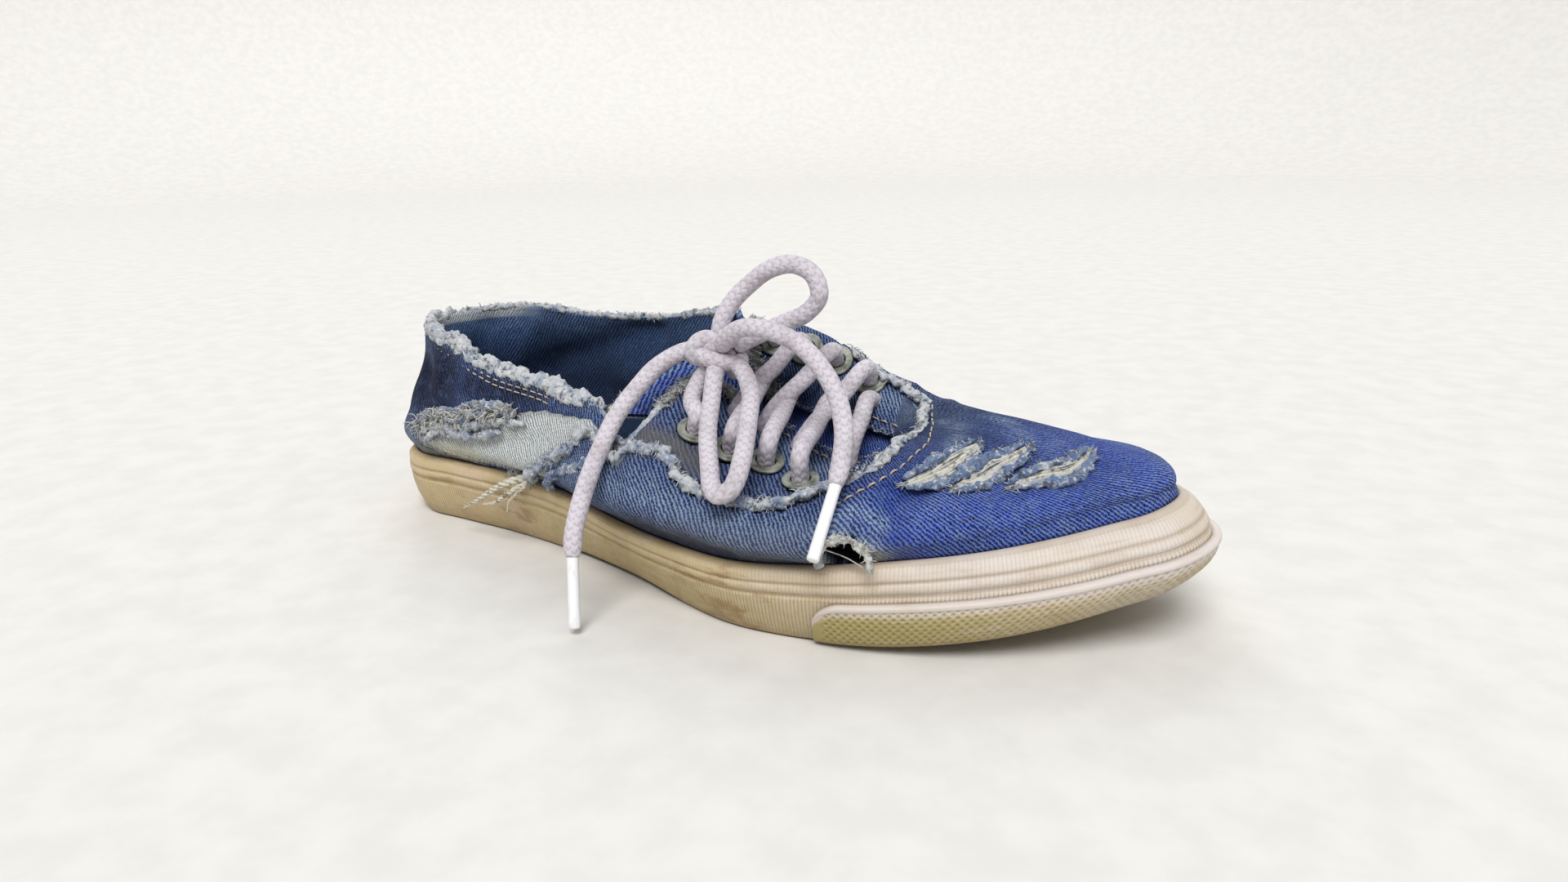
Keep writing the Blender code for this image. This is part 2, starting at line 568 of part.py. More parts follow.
def cut(obj, cutter):
    """Takes the cutter out of the object, and keeps the cutter as a hidden guide."""
    cutter.hide_render = True
    cutter.display_type = "WIRE"
    modifier = obj.modifiers.new(cutter.name, "BOOLEAN")
    modifier.operation = "DIFFERENCE"
    modifier.object = cutter


def on_upper(at, across, inner, low=2.0, high=5.0):
    """A point of the shell's base face beside a place along the shoe, with the face's outward normal."""
    turn = float(turn_beside(at, inner))
    places = np.linspace(low, high, 121)
    rib = sections([turn])[0]
    reach = np.linalg.norm(along(rib, places)[:, :2] - spine_at(np.array([turn])), axis=1)
    order = np.argsort(reach)
    row = float(np.interp(across * BALL_WIDTH, reach[order], places[order]))
    nudge = 0.03
    near = sections([turn - nudge, turn + nudge])
    onward = along(near[1], row)[0] - along(near[0], row)[0]
    upward = along(rib, row + nudge)[0] - along(rib, row - nudge)[0]
    normal = np.cross(onward, upward)
    return Vector(along(rib, row)[0]), Vector(normal / np.linalg.norm(normal))


def facing(point, normal, turned=0.0):
    """A frame whose Z is the normal and whose X lies as near the shoe's length as it can."""
    z = normal.normalized()
    x = (Vector((1, 0, 0)) - z * z.x).normalized()
    frame = Matrix((x, z.cross(x), z)).transposed().to_4x4()
    return Matrix.Translation(point) @ frame @ Matrix.Rotation(turned, 4, "Z")


def turned_solid(name, profile, sides, frame, finish):
    """A ring turned round the frame's Z from a closed profile of radius and height."""
    vertices = []
    for i in range(sides):
        spin = Matrix.Rotation(tau * i / sides, 4, "Z")
        vertices += [frame @ spin @ Vector((radius, 0, height)) for radius, height in profile]
    return solid(name, vertices, ring_faces(sides, len(profile)), finish)


def eyelet_places():
    for number, row in enumerate(EYELETS, 1):
        yield f"side_{number}", *on_upper(row.at, row.side, False)
        yield f"inner_{number}", *on_upper(row.at, row.inner, True)


def make_eyelets():
    """Each eyelet: a domed lip over the cloth and a barrel through it."""
    barrel, bore, lip = EYELET_BARREL / 2, EYELET_BORE / 2, EYELET_FLANGE / 2
    foot = -WALL - 0.6 * MM
    top = EYELET_LIFT + EYELET_LIP
    profile = ((barrel, foot), (barrel, EYELET_LIFT), (lip, EYELET_LIFT), (lip - 0.5 * MM, top), (bore, top),
               (bore, foot))
    for name, point, normal in eyelet_places():
        turned_solid(f"eyelet_{name}", profile, EYELET_SIDES, facing(point, normal), "eyelet_metal")


def rod(name, frame, half_x, half_y, low, high, sides=16):
    """A closed straight rod with an oval section, for cutting."""
    ring = [(half_x * np.cos(tau * k / sides), half_y * np.sin(tau * k / sides)) for k in range(sides)]
    vertices = [frame @ Vector((x, y, z)) for z in (low, high) for x, y in ring]
    faces = [tuple(range(sides - 1, -1, -1)), tuple(range(sides, 2 * sides))]
    faces += [(k, (k + 1) % sides, sides + (k + 1) % sides, sides + k) for k in range(sides)]
    return solid(name, vertices, faces, "outer_denim")


def eyelet_cutters():
    depth = 4 * MM
    radius = EYELET_HOLE / 2
    for name, point, normal in eyelet_places():
        yield rod(f"hole_{name}", facing(point, normal), radius, radius, -depth, depth, EYELET_SIDES)


def toe_hole_cutter():
    """The hole that the little toe wore through the side, just above the band."""
    point, normal = on_upper(0.738, 0.508, False, 1.4, 3.0)
    depth = 8 * MM
    return rod("worn_hole", facing(point, normal), TOE_HOLE_LONG / 2, TOE_HOLE_HIGH / 2, -depth, depth, 14)


SlashRow = namedtuple("SlashRow", "at across inner long wide turned")
SLASHES = (
    SlashRow(0.770, 0.180, False, 0.066, 0.030, 1.2),
    SlashRow(0.845, 0.110, False, 0.062, 0.026, 1.0),
    SlashRow(0.905, 0.240, True, 0.050, 0.024, 0.9),
)


def slash_cutters():
    """Shallow cuts through the toe's outer layer, where it is torn."""
    for number, row in enumerate(SLASHES, 1):
        point, normal = on_upper(row.at, row.across, row.inner)
        base = OVERLAY - SLASH_DEPTH
        frame = facing(point, normal, row.turned)
        yield rod(f"slash_{number}", frame, row.long / 2 * LENGTH, row.wide / 2 * LENGTH, base, 6 * MM, 10)


def make_band():
    """The foxing: a rubber band round the sole and the foot of the shell, with its steps."""
    turns = rib_turns()
    edge_xy, out = plan_at(turns)
    x = edge_xy[:, 0]
    high = band_height(x)
    foot = (BAND_LIFT + 0.5 * waist(x)) / high
    loop = []
    for step in BAND_STEPS:
        up = np.maximum(step.up, foot)
        offset = band_out(x, up) + step.out * BAND_WALL
        loop.append(np.column_stack((edge_xy + out * offset[:, None], spring(x) + high * up)))
    for up in (np.ones_like(foot), foot):
        loop.append(np.column_stack((edge_xy + out * band_in(x, up)[:, None], spring(x) + high * up)))
    points = np.stack(loop, 1)
    return solid("foxing", points.reshape(-1, 3), ring_faces(points.shape[0], points.shape[1]), "rubber")


def make_bumper():
    """The textured band over the toe, rounded down at its two ends."""
    start, end = float(turn_beside(BUMPER_FROM, False)), float(turn_beside(BUMPER_FROM, True))
    inside = [t for t in rib_turns() if start + 0.04 < t < end - 0.04]
    turns = np.array([start, start + 0.02, *inside, end - 0.02, end])
    edge_xy, out = plan_at(turns)
    x = edge_xy[:, 0]
    high = band_height(x)
    run = np.concatenate(([0], np.cumsum(np.linalg.norm(np.diff(edge_xy, axis=0), axis=1))))
    to_end = np.minimum(run, run[-1] - run)
    corner = 9 * MM
    roundness = np.sqrt(np.clip(1 - (1 - np.clip(to_end / corner, 0, 1)) ** 2, 0, 1))
    top = BUMPER_TOP * (0.45 + 0.55 * roundness)
    gap = CLEARANCE + 0.1 * MM
    thick = BUMPER_WALL * (0.4 + 0.6 * roundness)
    loop = []
    for share, bow in ((0.0, 0.55), (0.12, 0.9), (0.5, 1.0), (0.86, 0.95), (1.0, 0.6)):
        up = 0.035 + (top - 0.035) * share
        offset = band_out(x, up) + gap + thick * bow
        loop.append(np.column_stack((edge_xy + out * offset[:, None], spring(x) + high * up)))
    for share in (1.0, 0.5, 0.12, 0.0):
        up = 0.035 + (top - 0.035) * share
        offset = band_out(x, up) + gap
        loop.append(np.column_stack((edge_xy + out * offset[:, None], spring(x) + high * up)))
    points = np.stack(loop, 1)
    count, rows = points.shape[:2]
    faces = ring_faces(count, rows, closed=False)
    faces += [tuple(range(rows)), tuple((count - 1) * rows + j for j in range(rows - 1, -1, -1))]
    return solid("toe_bumper", points.reshape(-1, 3), faces, "bumper_rubber")


def make_slab(name, inset, low, high, finish):
    """A sheet that fills the outline: inset, low and high are functions of x and of the share up the band."""
    turns = rib_turns()
    half = len(turns) // 2
    edge_xy, out = plan_at(turns)
    x = edge_xy[:, 0]
    spine = spine_at(turns)
    sole_edge = edge_xy + out * (band_in(x, SOLE_THICK / band_height(x)) - CLEARANCE)[:, None]
    inner = spine + (sole_edge - spine) * SLAB_RING
    vertices = []
    for height in (low, high):
        level = height(x)
        ring = edge_xy + out * inset(x, level)[:, None]
        for line in (ring, inner):
            vertices += [tuple(p) for p in np.column_stack((line, height(line[:, 0])))]
    count = len(turns)
    middle = {}
    for layer, height in enumerate((low, high)):
        for i in range(half + 1):
            key = tuple(np.round(spine[i], 7))
            if (layer, key) not in middle:
                middle[layer, key] = len(vertices)
                vertices.append((*spine[i], float(height(spine[i][0]))))

    def centre(layer, i):
        return middle[layer, tuple(np.round(spine[min(i, count - i)], 7))]

    faces = []
    for i in range(count):
        k = (i + 1) % count
        faces.append((i, k, 2 * count + k, 2 * count + i))
        for layer, flip in ((0, True), (1, False)):
            outer, inner = 2 * layer * count, (2 * layer + 1) * count
            rim = (outer + i, outer + k, inner + k, inner + i)
            near, far = centre(layer, i), centre(layer, k % count)
            hub = (inner + i, inner + k, far, near) if near != far else (inner + i, inner + k, near)
            faces += [face[::-1] if flip else face for face in (rim, hub)]
    return solid(name, vertices, faces, finish)


def make_outsole():
    """The rubber underfoot: flat at heel and forefoot, hollowed at the arch, curling up to the toe."""
    return make_slab(
        "outsole",
        lambda x, z: band_in(x, (z - spring(x)) / band_height(x)) - CLEARANCE,
        lambda x: spring(x) + waist(x),
        lambda x: spring(x) + SOLE_THICK,
        "sole_rubber",
    )


def make_insole():
    """The footbed, inside the foot of the shell."""
    foot = SOLE_THICK + 2 * CLEARANCE
    shell = OVERLAY + WALL + 4 * CLEARANCE
    return make_slab(
        "insole",
        lambda x, z: band_in(x, (z - spring(x)) / band_height(x)) - shell,
        lambda x: spring(x) + foot,
        lambda x: spring(x) + foot + INSOLE_THICK,
        "insole_cloth",
    )


def ceiling(x, y):
    """The underside of the eyestays over a place, or of a straight line across the open throat."""
    turn = 1 + x / THROAT[0]
    middle = spine_at(np.array([turn]))[0, 1]
    places = np.linspace(2.6, 5.0, 40)
    ends = []
    for inner in (False, True):
        rib = along(sections([6 - turn if inner else turn])[0], places)
        ends.append(rib)
        reach = (rib[:, 1] - middle) * (1 if inner else -1)
        asked = (y - middle) * (1 if inner else -1)
        if asked >= reach[-1] - 1.5 * MM:
            order = np.argsort(reach)
            slope = np.gradient(rib[order, 2], reach[order])
            steep = np.hypot(1, np.interp(asked, reach[order], slope))
            under = np.interp(asked, reach[order], rib[order, 2])
            return under - (WALL + TONGUE_CLEARANCE) * steep
    near, far = ends[0][-1], ends[1][-1]
    share = (y - near[1]) / (far[1] - near[1])
    return near[2] + (far[2] - near[2]) * share - WALL - TONGUE_CLEARANCE - TONGUE_DROOP * 4 * share * (1 - share)


def make_tongue():
    """The tongue: sewn in at the throat's end, under both eyestays, with a free end that stands up behind."""
    across, rows = 9, 13
    where = np.linspace(0, len(TONGUE) - 1, across)
    free = along([(r.at * LENGTH - HEEL_SEAT, r.across * BALL_WIDTH, r.up * INSTEP_HEIGHT) for r in TONGUE], where)
    sewn_y = np.interp(where, range(len(TONGUE)), [r.sewn_across * BALL_WIDTH for r in TONGUE])
    sewn_x, under_x = place_x(TONGUE_SEWN_AT), place_x(TONGUE_UNDER_FLAPS)
    tops = []
    for share in np.linspace(0, 1, rows) ** 0.9:
        for start, y_end in zip(free, sewn_y):
            x = start[0] + (sewn_x - start[0]) * share
            y = start[1] + (y_end - start[1]) * share
            if x >= under_x:
                z = ceiling(x, y)
            else:
                y_under = start[1] + (y_end - start[1]) * (under_x - start[0]) / (sewn_x - start[0])
                low = ceiling(under_x, y_under)
                z = low + (start[2] - low) * ((under_x - x) / (under_x - start[0])) ** 0.85
            tops.append((x, y, z))
    tops = np.array(tops).reshape(rows, across, 3)
    down = np.array((0, 0, -TONGUE_WALL))
    vertices = np.concatenate((tops.reshape(-1, 3), (tops + down).reshape(-1, 3)))
    count = rows * across
    faces = []
    for i in range(rows - 1):
        for j in range(across - 1):
            a, b = i * across + j, (i + 1) * across + j
            faces.append((a, b, b + 1, a + 1))
            faces.append((count + a + 1, count + b + 1, count + b, count + a))
    border = [j for j in range(across)] + [i * across + across - 1 for i in range(1, rows)]
    border += [(rows - 1) * across + j for j in range(across - 2, -1, -1)] + [i * across for i in range(rows - 2, 0, -1)]
    for a, b in zip(border, border[1:] + border[:1]):
        faces.append((a, b, count + b, count + a))
    return solid("tongue", vertices, faces, "outer_denim")


def tube(name, points, width, finish, resolution=2):
    """A round cord through close points, with its ends filled."""
    data = bpy.data.curves.new(name, "CURVE")
    data.dimensions = "3D"
    data.bevel_depth = width / 2
    data.bevel_resolution = resolution
    data.use_fill_caps = True
    spline = data.splines.new("POLY")
    spline.points.add(len(points) - 1)
    for point, place in zip(spline.points, points):
        point.co = (*place, 1)
    data.materials.append(material(finish))
    obj = bpy.data.objects.new(name, data)
    bpy.context.scene.collection.objects.link(obj)
    return obj


def cord_points(route):
    """Even points along a smooth curve through a route in millimetres, left off where it meets the knot."""
    dense = along(np.array(route) * MM, np.linspace(0, len(route) - 1, 2000))
    from_knot = (dense / MM - np.array(KNOT)) / (np.array(KNOT_HALF) + KNOT_ROOM)
    dense = dense[np.linalg.norm(from_knot, axis=1) > 1]
    run = np.concatenate(([0], np.cumsum(np.linalg.norm(np.diff(dense, axis=0), axis=1))))
    count = max(4, int(round(run[-1] / (LACE_POINT_EVERY * LACE / 2))))
    return np.stack([np.interp(np.linspace(0, run[-1], count), run, dense[:, k]) for k in range(3)], -1)


def out_of_eyelet(point, normal):
    """The first two places of a cord that leaves an eyelet's mouth, in millimetres."""
    foot = point + normal * (EYELET_LIFT + EYELET_LIP + MOUTH_ROOM)
    return tuple(foot / MM), tuple((foot + normal * STRAIGHT_RUN) / MM)


def make_bow():
    """The bow: a knot, two loops, two tails with their tips, and the two cords that rise to the knot."""
    bm = bmesh.new()
    bmesh.ops.create_uvsphere(bm, u_segments=14, v_segments=9, radius=1)
    for vertex in bm.verts:
        vertex.co = Vector(KNOT) * MM + Vector(a * b * MM for a, b in zip(vertex.co, KNOT_HALF))
    mesh = bpy.data.meshes.new("bow_knot")
    bm.to_mesh(mesh)
    bm.free()
    mesh.materials.append(material("lace_cotton"))
    mesh.shade_smooth()
    bpy.context.scene.collection.objects.link(bpy.data.objects.new("bow_knot", mesh))
    first = EYELETS[0]
    routes = {
        "bow_loop_up": LOOP_UP,
        "bow_loop_down": LOOP_DOWN,
        "lace_rise_side": (*out_of_eyelet(*on_upper(first.at, first.side, False)), *RISE_SIDE),
        "lace_rise_inner": (*out_of_eyelet(*on_upper(first.at, first.inner, True)), *RISE_INNER),
    }
    for name, route in routes.items():
        tube(name, cord_points(route), LACE, "lace_cotton")
    for end, route, tip in (("side", TAIL_SIDE, TAIL_SIDE_TIP), ("front", TAIL_FRONT, TAIL_FRONT_TIP)):
        tube(f"lace_tail_{end}", cord_points(route), LACE, "lace_cotton")
        last, tip = Vector(route[-1]) * MM, Vector(tip) * MM
        start = last + (tip - last).normalized() * (CLEARANCE + 0.1 * MM)
        tube(f"aglet_{end}", [start, tip], AGLET, "tip_plastic")


def make_crossings():
    """The lace where it crosses the throat: a joined pair of strands at each row, and one bar in front."""
    stand_off = LACE / 2 + 0.7 * MM
    for number, row in enumerate(EYELETS[1:], 1):
        strands = []
        side, side_normal = on_upper(row.at, row.side, False)
        inner, inner_normal = on_upper(row.at, row.inner, True)
        behind = row.at - STRAND_REARWARD
        side_edge, side_edge_normal = on_upper(behind, 0.10, False)
        inner_edge, inner_edge_normal = on_upper(behind, 0.10, True)
        for start, normal, end, end_normal, other in (
            (side, side_normal, inner_edge, inner_edge_normal, side_edge),
            (inner, inner_normal, side_edge, side_edge_normal, inner_edge),
        ):
            middle = (start + end) / 2 + (normal + end_normal).normalized() * (stand_off + 2.2 * MM)
            over = end + end_normal * (stand_off + 0.5 * MM)
            route = [*out_of_eyelet(start, normal), *(tuple(p / MM) for p in (middle, over))]
            strands.append(cord_points(route))
        bars = [tube(f"strand_{number}_{k}", points, LACE, "lace_cotton") for k, points in enumerate(strands)]
        join_tubes(f"lace_cross_{number}", bars)
    front = EYELETS[-1].at + 0.012
    start, start_normal = on_upper(front, 0.12, True)
    end, end_normal = on_upper(front + 0.012, 0.10, False)
    route = [tuple(p / MM) for p in (start + start_normal * stand_off, (start + end) / 2 + Vector((0, 0, 4.6 * MM)),
                                     end + end_normal * stand_off)]
    tube("lace_bar_front", cord_points(route), LACE, "lace_cotton")


def join_tubes(name, tubes):
    """Turns tubes that cross into one closed mesh."""
    depsgraph = bpy.context.evaluated_depsgraph_get()
    parts = []
    for obj in tubes:
        mesh = bpy.data.meshes.new_from_object(obj.evaluated_get(depsgraph))
        bm = bmesh.new()
        bm.from_mesh(mesh)
        bmesh.ops.remove_doubles(bm, verts=bm.verts[:], dist=0.01 * MM)
        bm.to_mesh(mesh)
        bm.free()
        part = bpy.data.objects.new(name, mesh)
        bpy.context.scene.collection.objects.link(part)
        parts.append(part)
        bpy.data.objects.remove(obj)
    first, second = parts
    first.name, second.name = name, name + "_strand"
    modifier = first.modifiers.new("joined", "BOOLEAN")
    modifier.operation = "UNION"
    modifier.object = second
    second.hide_render = True
    second.display_type = "WIRE"


def main():
    clear_scene()
    make_outsole()
    make_band()
    make_bumper()
    make_insole()
    make_upper()
    make_tongue()
    make_eyelets()
    make_crossings()
    make_bow()


main()
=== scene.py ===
"""Looks of the worn denim lace-up sneaker, laid out as an add-on: torn cloth, frays, laces, rubber and stage.

Metres, +Z up, in the frame of the solids: the origin is the middle of the heel's resting face, +X runs to the toe
and +Y to the inner side of the foot. A place on the cloth is a turn and a row. The turn goes round the outline: 0 at
the heel's back, 1 beside the heel, 2 beside the throat's end, 3 at the toe, then back along the inner side to 6.
The row goes up the side: 0 foot, 1 top of the rubber band, 2 belly, 3 flank, 4 crest, 5 free edge.
"""

from collections import namedtuple
from functools import lru_cache
from math import radians, tau

import bpy
import numpy as np
from bpy.props import FloatProperty, FloatVectorProperty, IntProperty, PointerProperty
from mathutils import Matrix, Vector, noise


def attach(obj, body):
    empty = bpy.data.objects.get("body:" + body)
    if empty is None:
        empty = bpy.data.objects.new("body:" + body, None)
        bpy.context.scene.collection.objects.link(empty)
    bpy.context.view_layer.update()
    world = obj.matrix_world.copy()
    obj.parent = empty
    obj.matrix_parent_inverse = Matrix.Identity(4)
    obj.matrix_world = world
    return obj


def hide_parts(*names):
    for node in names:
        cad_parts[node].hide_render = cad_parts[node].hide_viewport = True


bl_info = {
    "name": "Worn denim sneaker",
    "version": (1, 0, 0),
    "blender": (4, 5, 0),
    "location": "3D View > Sidebar > Sneaker",
    "description": "Builds a worn denim lace-up sneaker with its frays, laces, rubber and stage",
    "category": "Object",
}

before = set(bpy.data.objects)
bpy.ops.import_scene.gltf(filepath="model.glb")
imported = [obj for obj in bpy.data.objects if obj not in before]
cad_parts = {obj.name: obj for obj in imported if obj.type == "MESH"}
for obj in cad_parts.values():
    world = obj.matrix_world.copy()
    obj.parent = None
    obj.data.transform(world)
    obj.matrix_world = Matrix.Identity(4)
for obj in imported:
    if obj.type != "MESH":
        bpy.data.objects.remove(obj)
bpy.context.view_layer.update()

MM = 0.001


def rows_of(kind, table):
    """The rows of a table, each a named tuple of this kind."""
    return tuple(kind(*row) for row in table)



# Driving sizes of the last.
LENGTH = 295 * MM
BALL_WIDTH = 97 * MM
HEEL_HEIGHT = 75 * MM
INSTEP_HEIGHT = 77 * MM
TOE_SPRING = 15.8 * MM
HEEL_SEAT = 42 * MM

# Rubber: the slab underfoot, the band round it and the bumper over the toe.
SOLE_THICK = 6.0 * MM
ARCH = 2.5 * MM
BAND_HEIGHT = 24 * MM
BAND_WALL = 3.2 * MM
BAND_LIFT = 0.7 * MM
BUMPER_WALL = 2.2 * MM
BUMPER_TOP = 0.60
INSOLE_THICK = 3.5 * MM

# Cloth: the shell's base layer, the torn layer over it, the frayed roll at the collar and the tongue.
WALL = 1.7 * MM
OVERLAY = 1.2 * MM
FRAY_ROLL = 1.5 * MM
TONGUE_WALL = 2.0 * MM
CLEARANCE = 0.3 * MM
TONGUE_CLEARANCE = 1.4 * MM

# Lace, its tips and its eyelets.
LACE = 5.6 * MM
AGLET = 3.8 * MM
EYELET_FLANGE = 10.5 * MM
EYELET_BORE = 6.2 * MM
EYELET_BARREL = 7.4 * MM
EYELET_LIFT = 0.8 * MM
# EYELET_LIP is the lip that the lace clears, EYELET_FLAT the flatter one that is seen.
EYELET_LIP = 0.8 * MM
EYELET_FLAT = 0.55 * MM
EYELET_HOLE = 8.6 * MM

# Holes worn through the cloth.
TORN_LONG = 12.2 * MM
TORN_HIGH = 11.4 * MM

# Where the parts of the outline begin, as shares of LENGTH, and where its ends lie across, of BALL_WIDTH.
TOE_AT = 0.9995
TOE_ACROSS = 0.150
THROAT_AT = 0.702
THROAT_ACROSS = -0.026
SPRING_FROM = 0.66
WAIST_FROM, WAIST_FULL, WAIST_FADES, WAIST_TO = 0.30, 0.37, 0.49, 0.55
HEEL_RISES, INSTEP_REACHED = 0.25, 0.55
BUMPER_FROM = 0.705

# The band's top edge from above: half widths on the outer side and the inner side of the foot, of BALL_WIDTH.
OutlineRow = namedtuple("OutlineRow", "at side inner")
OUTLINE = rows_of(OutlineRow, (
    (0.014, 0.149, 0.139),
    (0.034, 0.227, 0.206),
    (0.071, 0.295, 0.291),
    (0.142, 0.309, 0.355),
    (0.231, 0.319, 0.376),
    (0.329, 0.361, 0.346),
    (0.427, 0.439, 0.322),
    (0.525, 0.520, 0.357),
    (0.614, 0.557, 0.416),
    (0.702, 0.515, 0.482),
    (0.790, 0.440, 0.497),
    (0.868, 0.320, 0.475),
    (0.922, 0.197, 0.437),
    (0.956, 0.097, 0.385),
    (0.982, 0.022, 0.300),
))

# The band's own section along the shoe, of BAND_HEIGHT: its height, its bulge and its tuck under the edge.
BandRow = namedtuple("BandRow", "at high bulge tuck")
BAND = rows_of(BandRow, (
    (0.000, 0.95, 0.05, 0.15),
    (0.159, 1.00, 0.03, 0.19),
    (0.308, 1.00, 0.02, 0.25),
    (0.454, 0.89, 0.00, 0.35),
    (0.603, 0.90, 0.02, 0.23),
    (0.702, 0.98, 0.04, 0.17),
    (0.800, 1.06, 0.08, 0.12),
    (0.888, 1.05, 0.17, 0.09),
    (1.000, 0.99, 0.30, 0.10),
))

# The band's steps from its foot to its top: height of BAND_HEIGHT, and how far it stands out, of BAND_WALL.
StepRow = namedtuple("StepRow", "up out")
BAND_STEPS = rows_of(StepRow, (
    (0.00, -0.10),
    (0.30, 0.00),
    (0.62, 0.00),
    (0.65, -0.20),
    (0.69, -0.20),
    (0.72, 0.08),
    (0.79, 0.08),
    (0.82, -0.10),
    (0.85, 0.04),
    (0.96, 0.02),
    (1.00, -0.22),
))

# Sections of the upper. Each form lies this far from the middle line, of BALL_WIDTH, and this far above the
# floor, of the shoe's height there: the belly over the band, the flank, the crest and the free edge.
Section = namedtuple("Section", "at belly belly_up flank flank_up crest crest_up edge edge_up")
SIDE_SECTIONS = rows_of(Section, (
    (0.000, 0.436, 0.387, 0.375, 0.560, 0.290, 0.813, 0.296, 0.967),
    (0.034, 0.400, 0.400, 0.352, 0.560, 0.268, 0.800, 0.245, 0.960),
    (0.071, 0.365, 0.413, 0.330, 0.573, 0.258, 0.787, 0.226, 0.950),
    (0.142, 0.328, 0.440, 0.325, 0.587, 0.285, 0.773, 0.240, 0.930),
    (0.217, 0.353, 0.440, 0.353, 0.587, 0.325, 0.747, 0.288, 0.862),
    (0.319, 0.392, 0.432, 0.381, 0.558, 0.340, 0.704, 0.297, 0.805),
    (0.369, 0.428, 0.436, 0.418, 0.542, 0.381, 0.667, 0.332, 0.773),
    (0.414, 0.474, 0.433, 0.464, 0.525, 0.423, 0.644, 0.351, 0.754),
    (0.447, 0.510, 0.432, 0.500, 0.517, 0.474, 0.595, 0.418, 0.674),
    (0.475, 0.536, 0.437, 0.526, 0.522, 0.495, 0.593, 0.443, 0.659),
    (0.498, 0.557, 0.442, 0.536, 0.547, 0.443, 0.670, 0.160, 0.846),
    (0.522, 0.557, 0.442, 0.531, 0.546, 0.371, 0.682, 0.090, 0.786),
    (0.542, 0.565, 0.435, 0.526, 0.532, 0.351, 0.660, 0.069, 0.734),
    (0.576, 0.563, 0.429, 0.515, 0.500, 0.309, 0.621, 0.068, 0.696),
    (0.614, 0.567, 0.416, 0.505, 0.478, 0.289, 0.579, 0.071, 0.643),
    (0.651, 0.557, 0.403, 0.485, 0.474, 0.278, 0.545, 0.074, 0.591),
    (0.681, 0.541, 0.403, 0.448, 0.494, 0.258, 0.545, 0.067, 0.569),
    (0.702, 0.526, 0.403, 0.412, 0.519, 0.227, 0.571, 0.052, 0.584),
    (0.739, 0.505, 0.403, 0.381, 0.552, 0.227, 0.636, 0.052, 0.610),
    (0.790, 0.500, 0.435, 0.371, 0.584, 0.206, 0.669, 0.046, 0.623),
    (0.868, 0.567, 0.481, 0.412, 0.601, 0.196, 0.682, 0.046, 0.636),
    (0.922, 0.660, 0.513, 0.480, 0.612, 0.186, 0.695, 0.046, 0.643),
    (0.956, 0.742, 0.540, 0.580, 0.625, 0.186, 0.708, 0.046, 0.649),
    (0.982, 0.818, 0.556, 0.650, 0.640, 0.186, 0.716, 0.046, 0.653),
    (TOE_AT, 0.893, 0.570, 0.720, 0.650, 0.186, 0.721, 0.046, 0.656),
))
INNER_SECTIONS = rows_of(Section, (
    (0.034, 0.397, 0.400, 0.361, 0.573, 0.294, 0.800, 0.290, 0.975),
    (0.071, 0.371, 0.420, 0.345, 0.587, 0.289, 0.800, 0.282, 0.985),
    (0.142, 0.376, 0.440, 0.361, 0.613, 0.309, 0.813, 0.276, 0.988),
    (0.217, 0.400, 0.453, 0.387, 0.627, 0.345, 0.813, 0.318, 0.957),
    (0.319, 0.381, 0.465, 0.387, 0.638, 0.371, 0.837, 0.349, 0.970),
    (0.414, 0.361, 0.473, 0.376, 0.657, 0.366, 0.867, 0.338, 1.010),
    (0.458, 0.376, 0.483, 0.381, 0.666, 0.356, 0.901, 0.278, 1.042),
    (0.481, 0.387, 0.489, 0.387, 0.678, 0.340, 0.938, 0.206, 1.030),
    (0.505, 0.397, 0.494, 0.392, 0.676, 0.314, 0.989, 0.113, 0.937),
    (0.522, 0.407, 0.494, 0.397, 0.676, 0.294, 1.007, 0.085, 0.845),
    (0.546, 0.418, 0.494, 0.402, 0.675, 0.273, 1.000, 0.067, 0.760),
    (0.590, 0.443, 0.494, 0.412, 0.675, 0.253, 0.961, 0.062, 0.695),
    (0.631, 0.474, 0.487, 0.423, 0.662, 0.232, 0.877, 0.065, 0.669),
    (0.668, 0.495, 0.481, 0.412, 0.649, 0.211, 0.818, 0.062, 0.657),
    (0.702, 0.505, 0.487, 0.392, 0.649, 0.186, 0.799, 0.052, 0.643),
    (0.739, 0.521, 0.494, 0.371, 0.643, 0.175, 0.779, 0.052, 0.643),
    (0.790, 0.567, 0.506, 0.381, 0.636, 0.175, 0.760, 0.052, 0.649),
    (0.868, 0.675, 0.526, 0.470, 0.630, 0.175, 0.747, 0.046, 0.653),
    (0.922, 0.778, 0.543, 0.560, 0.630, 0.180, 0.734, 0.046, 0.656),
    (0.956, 0.840, 0.556, 0.630, 0.636, 0.186, 0.727, 0.046, 0.656),
    (0.982, 0.880, 0.564, 0.690, 0.643, 0.186, 0.724, 0.046, 0.656),
))

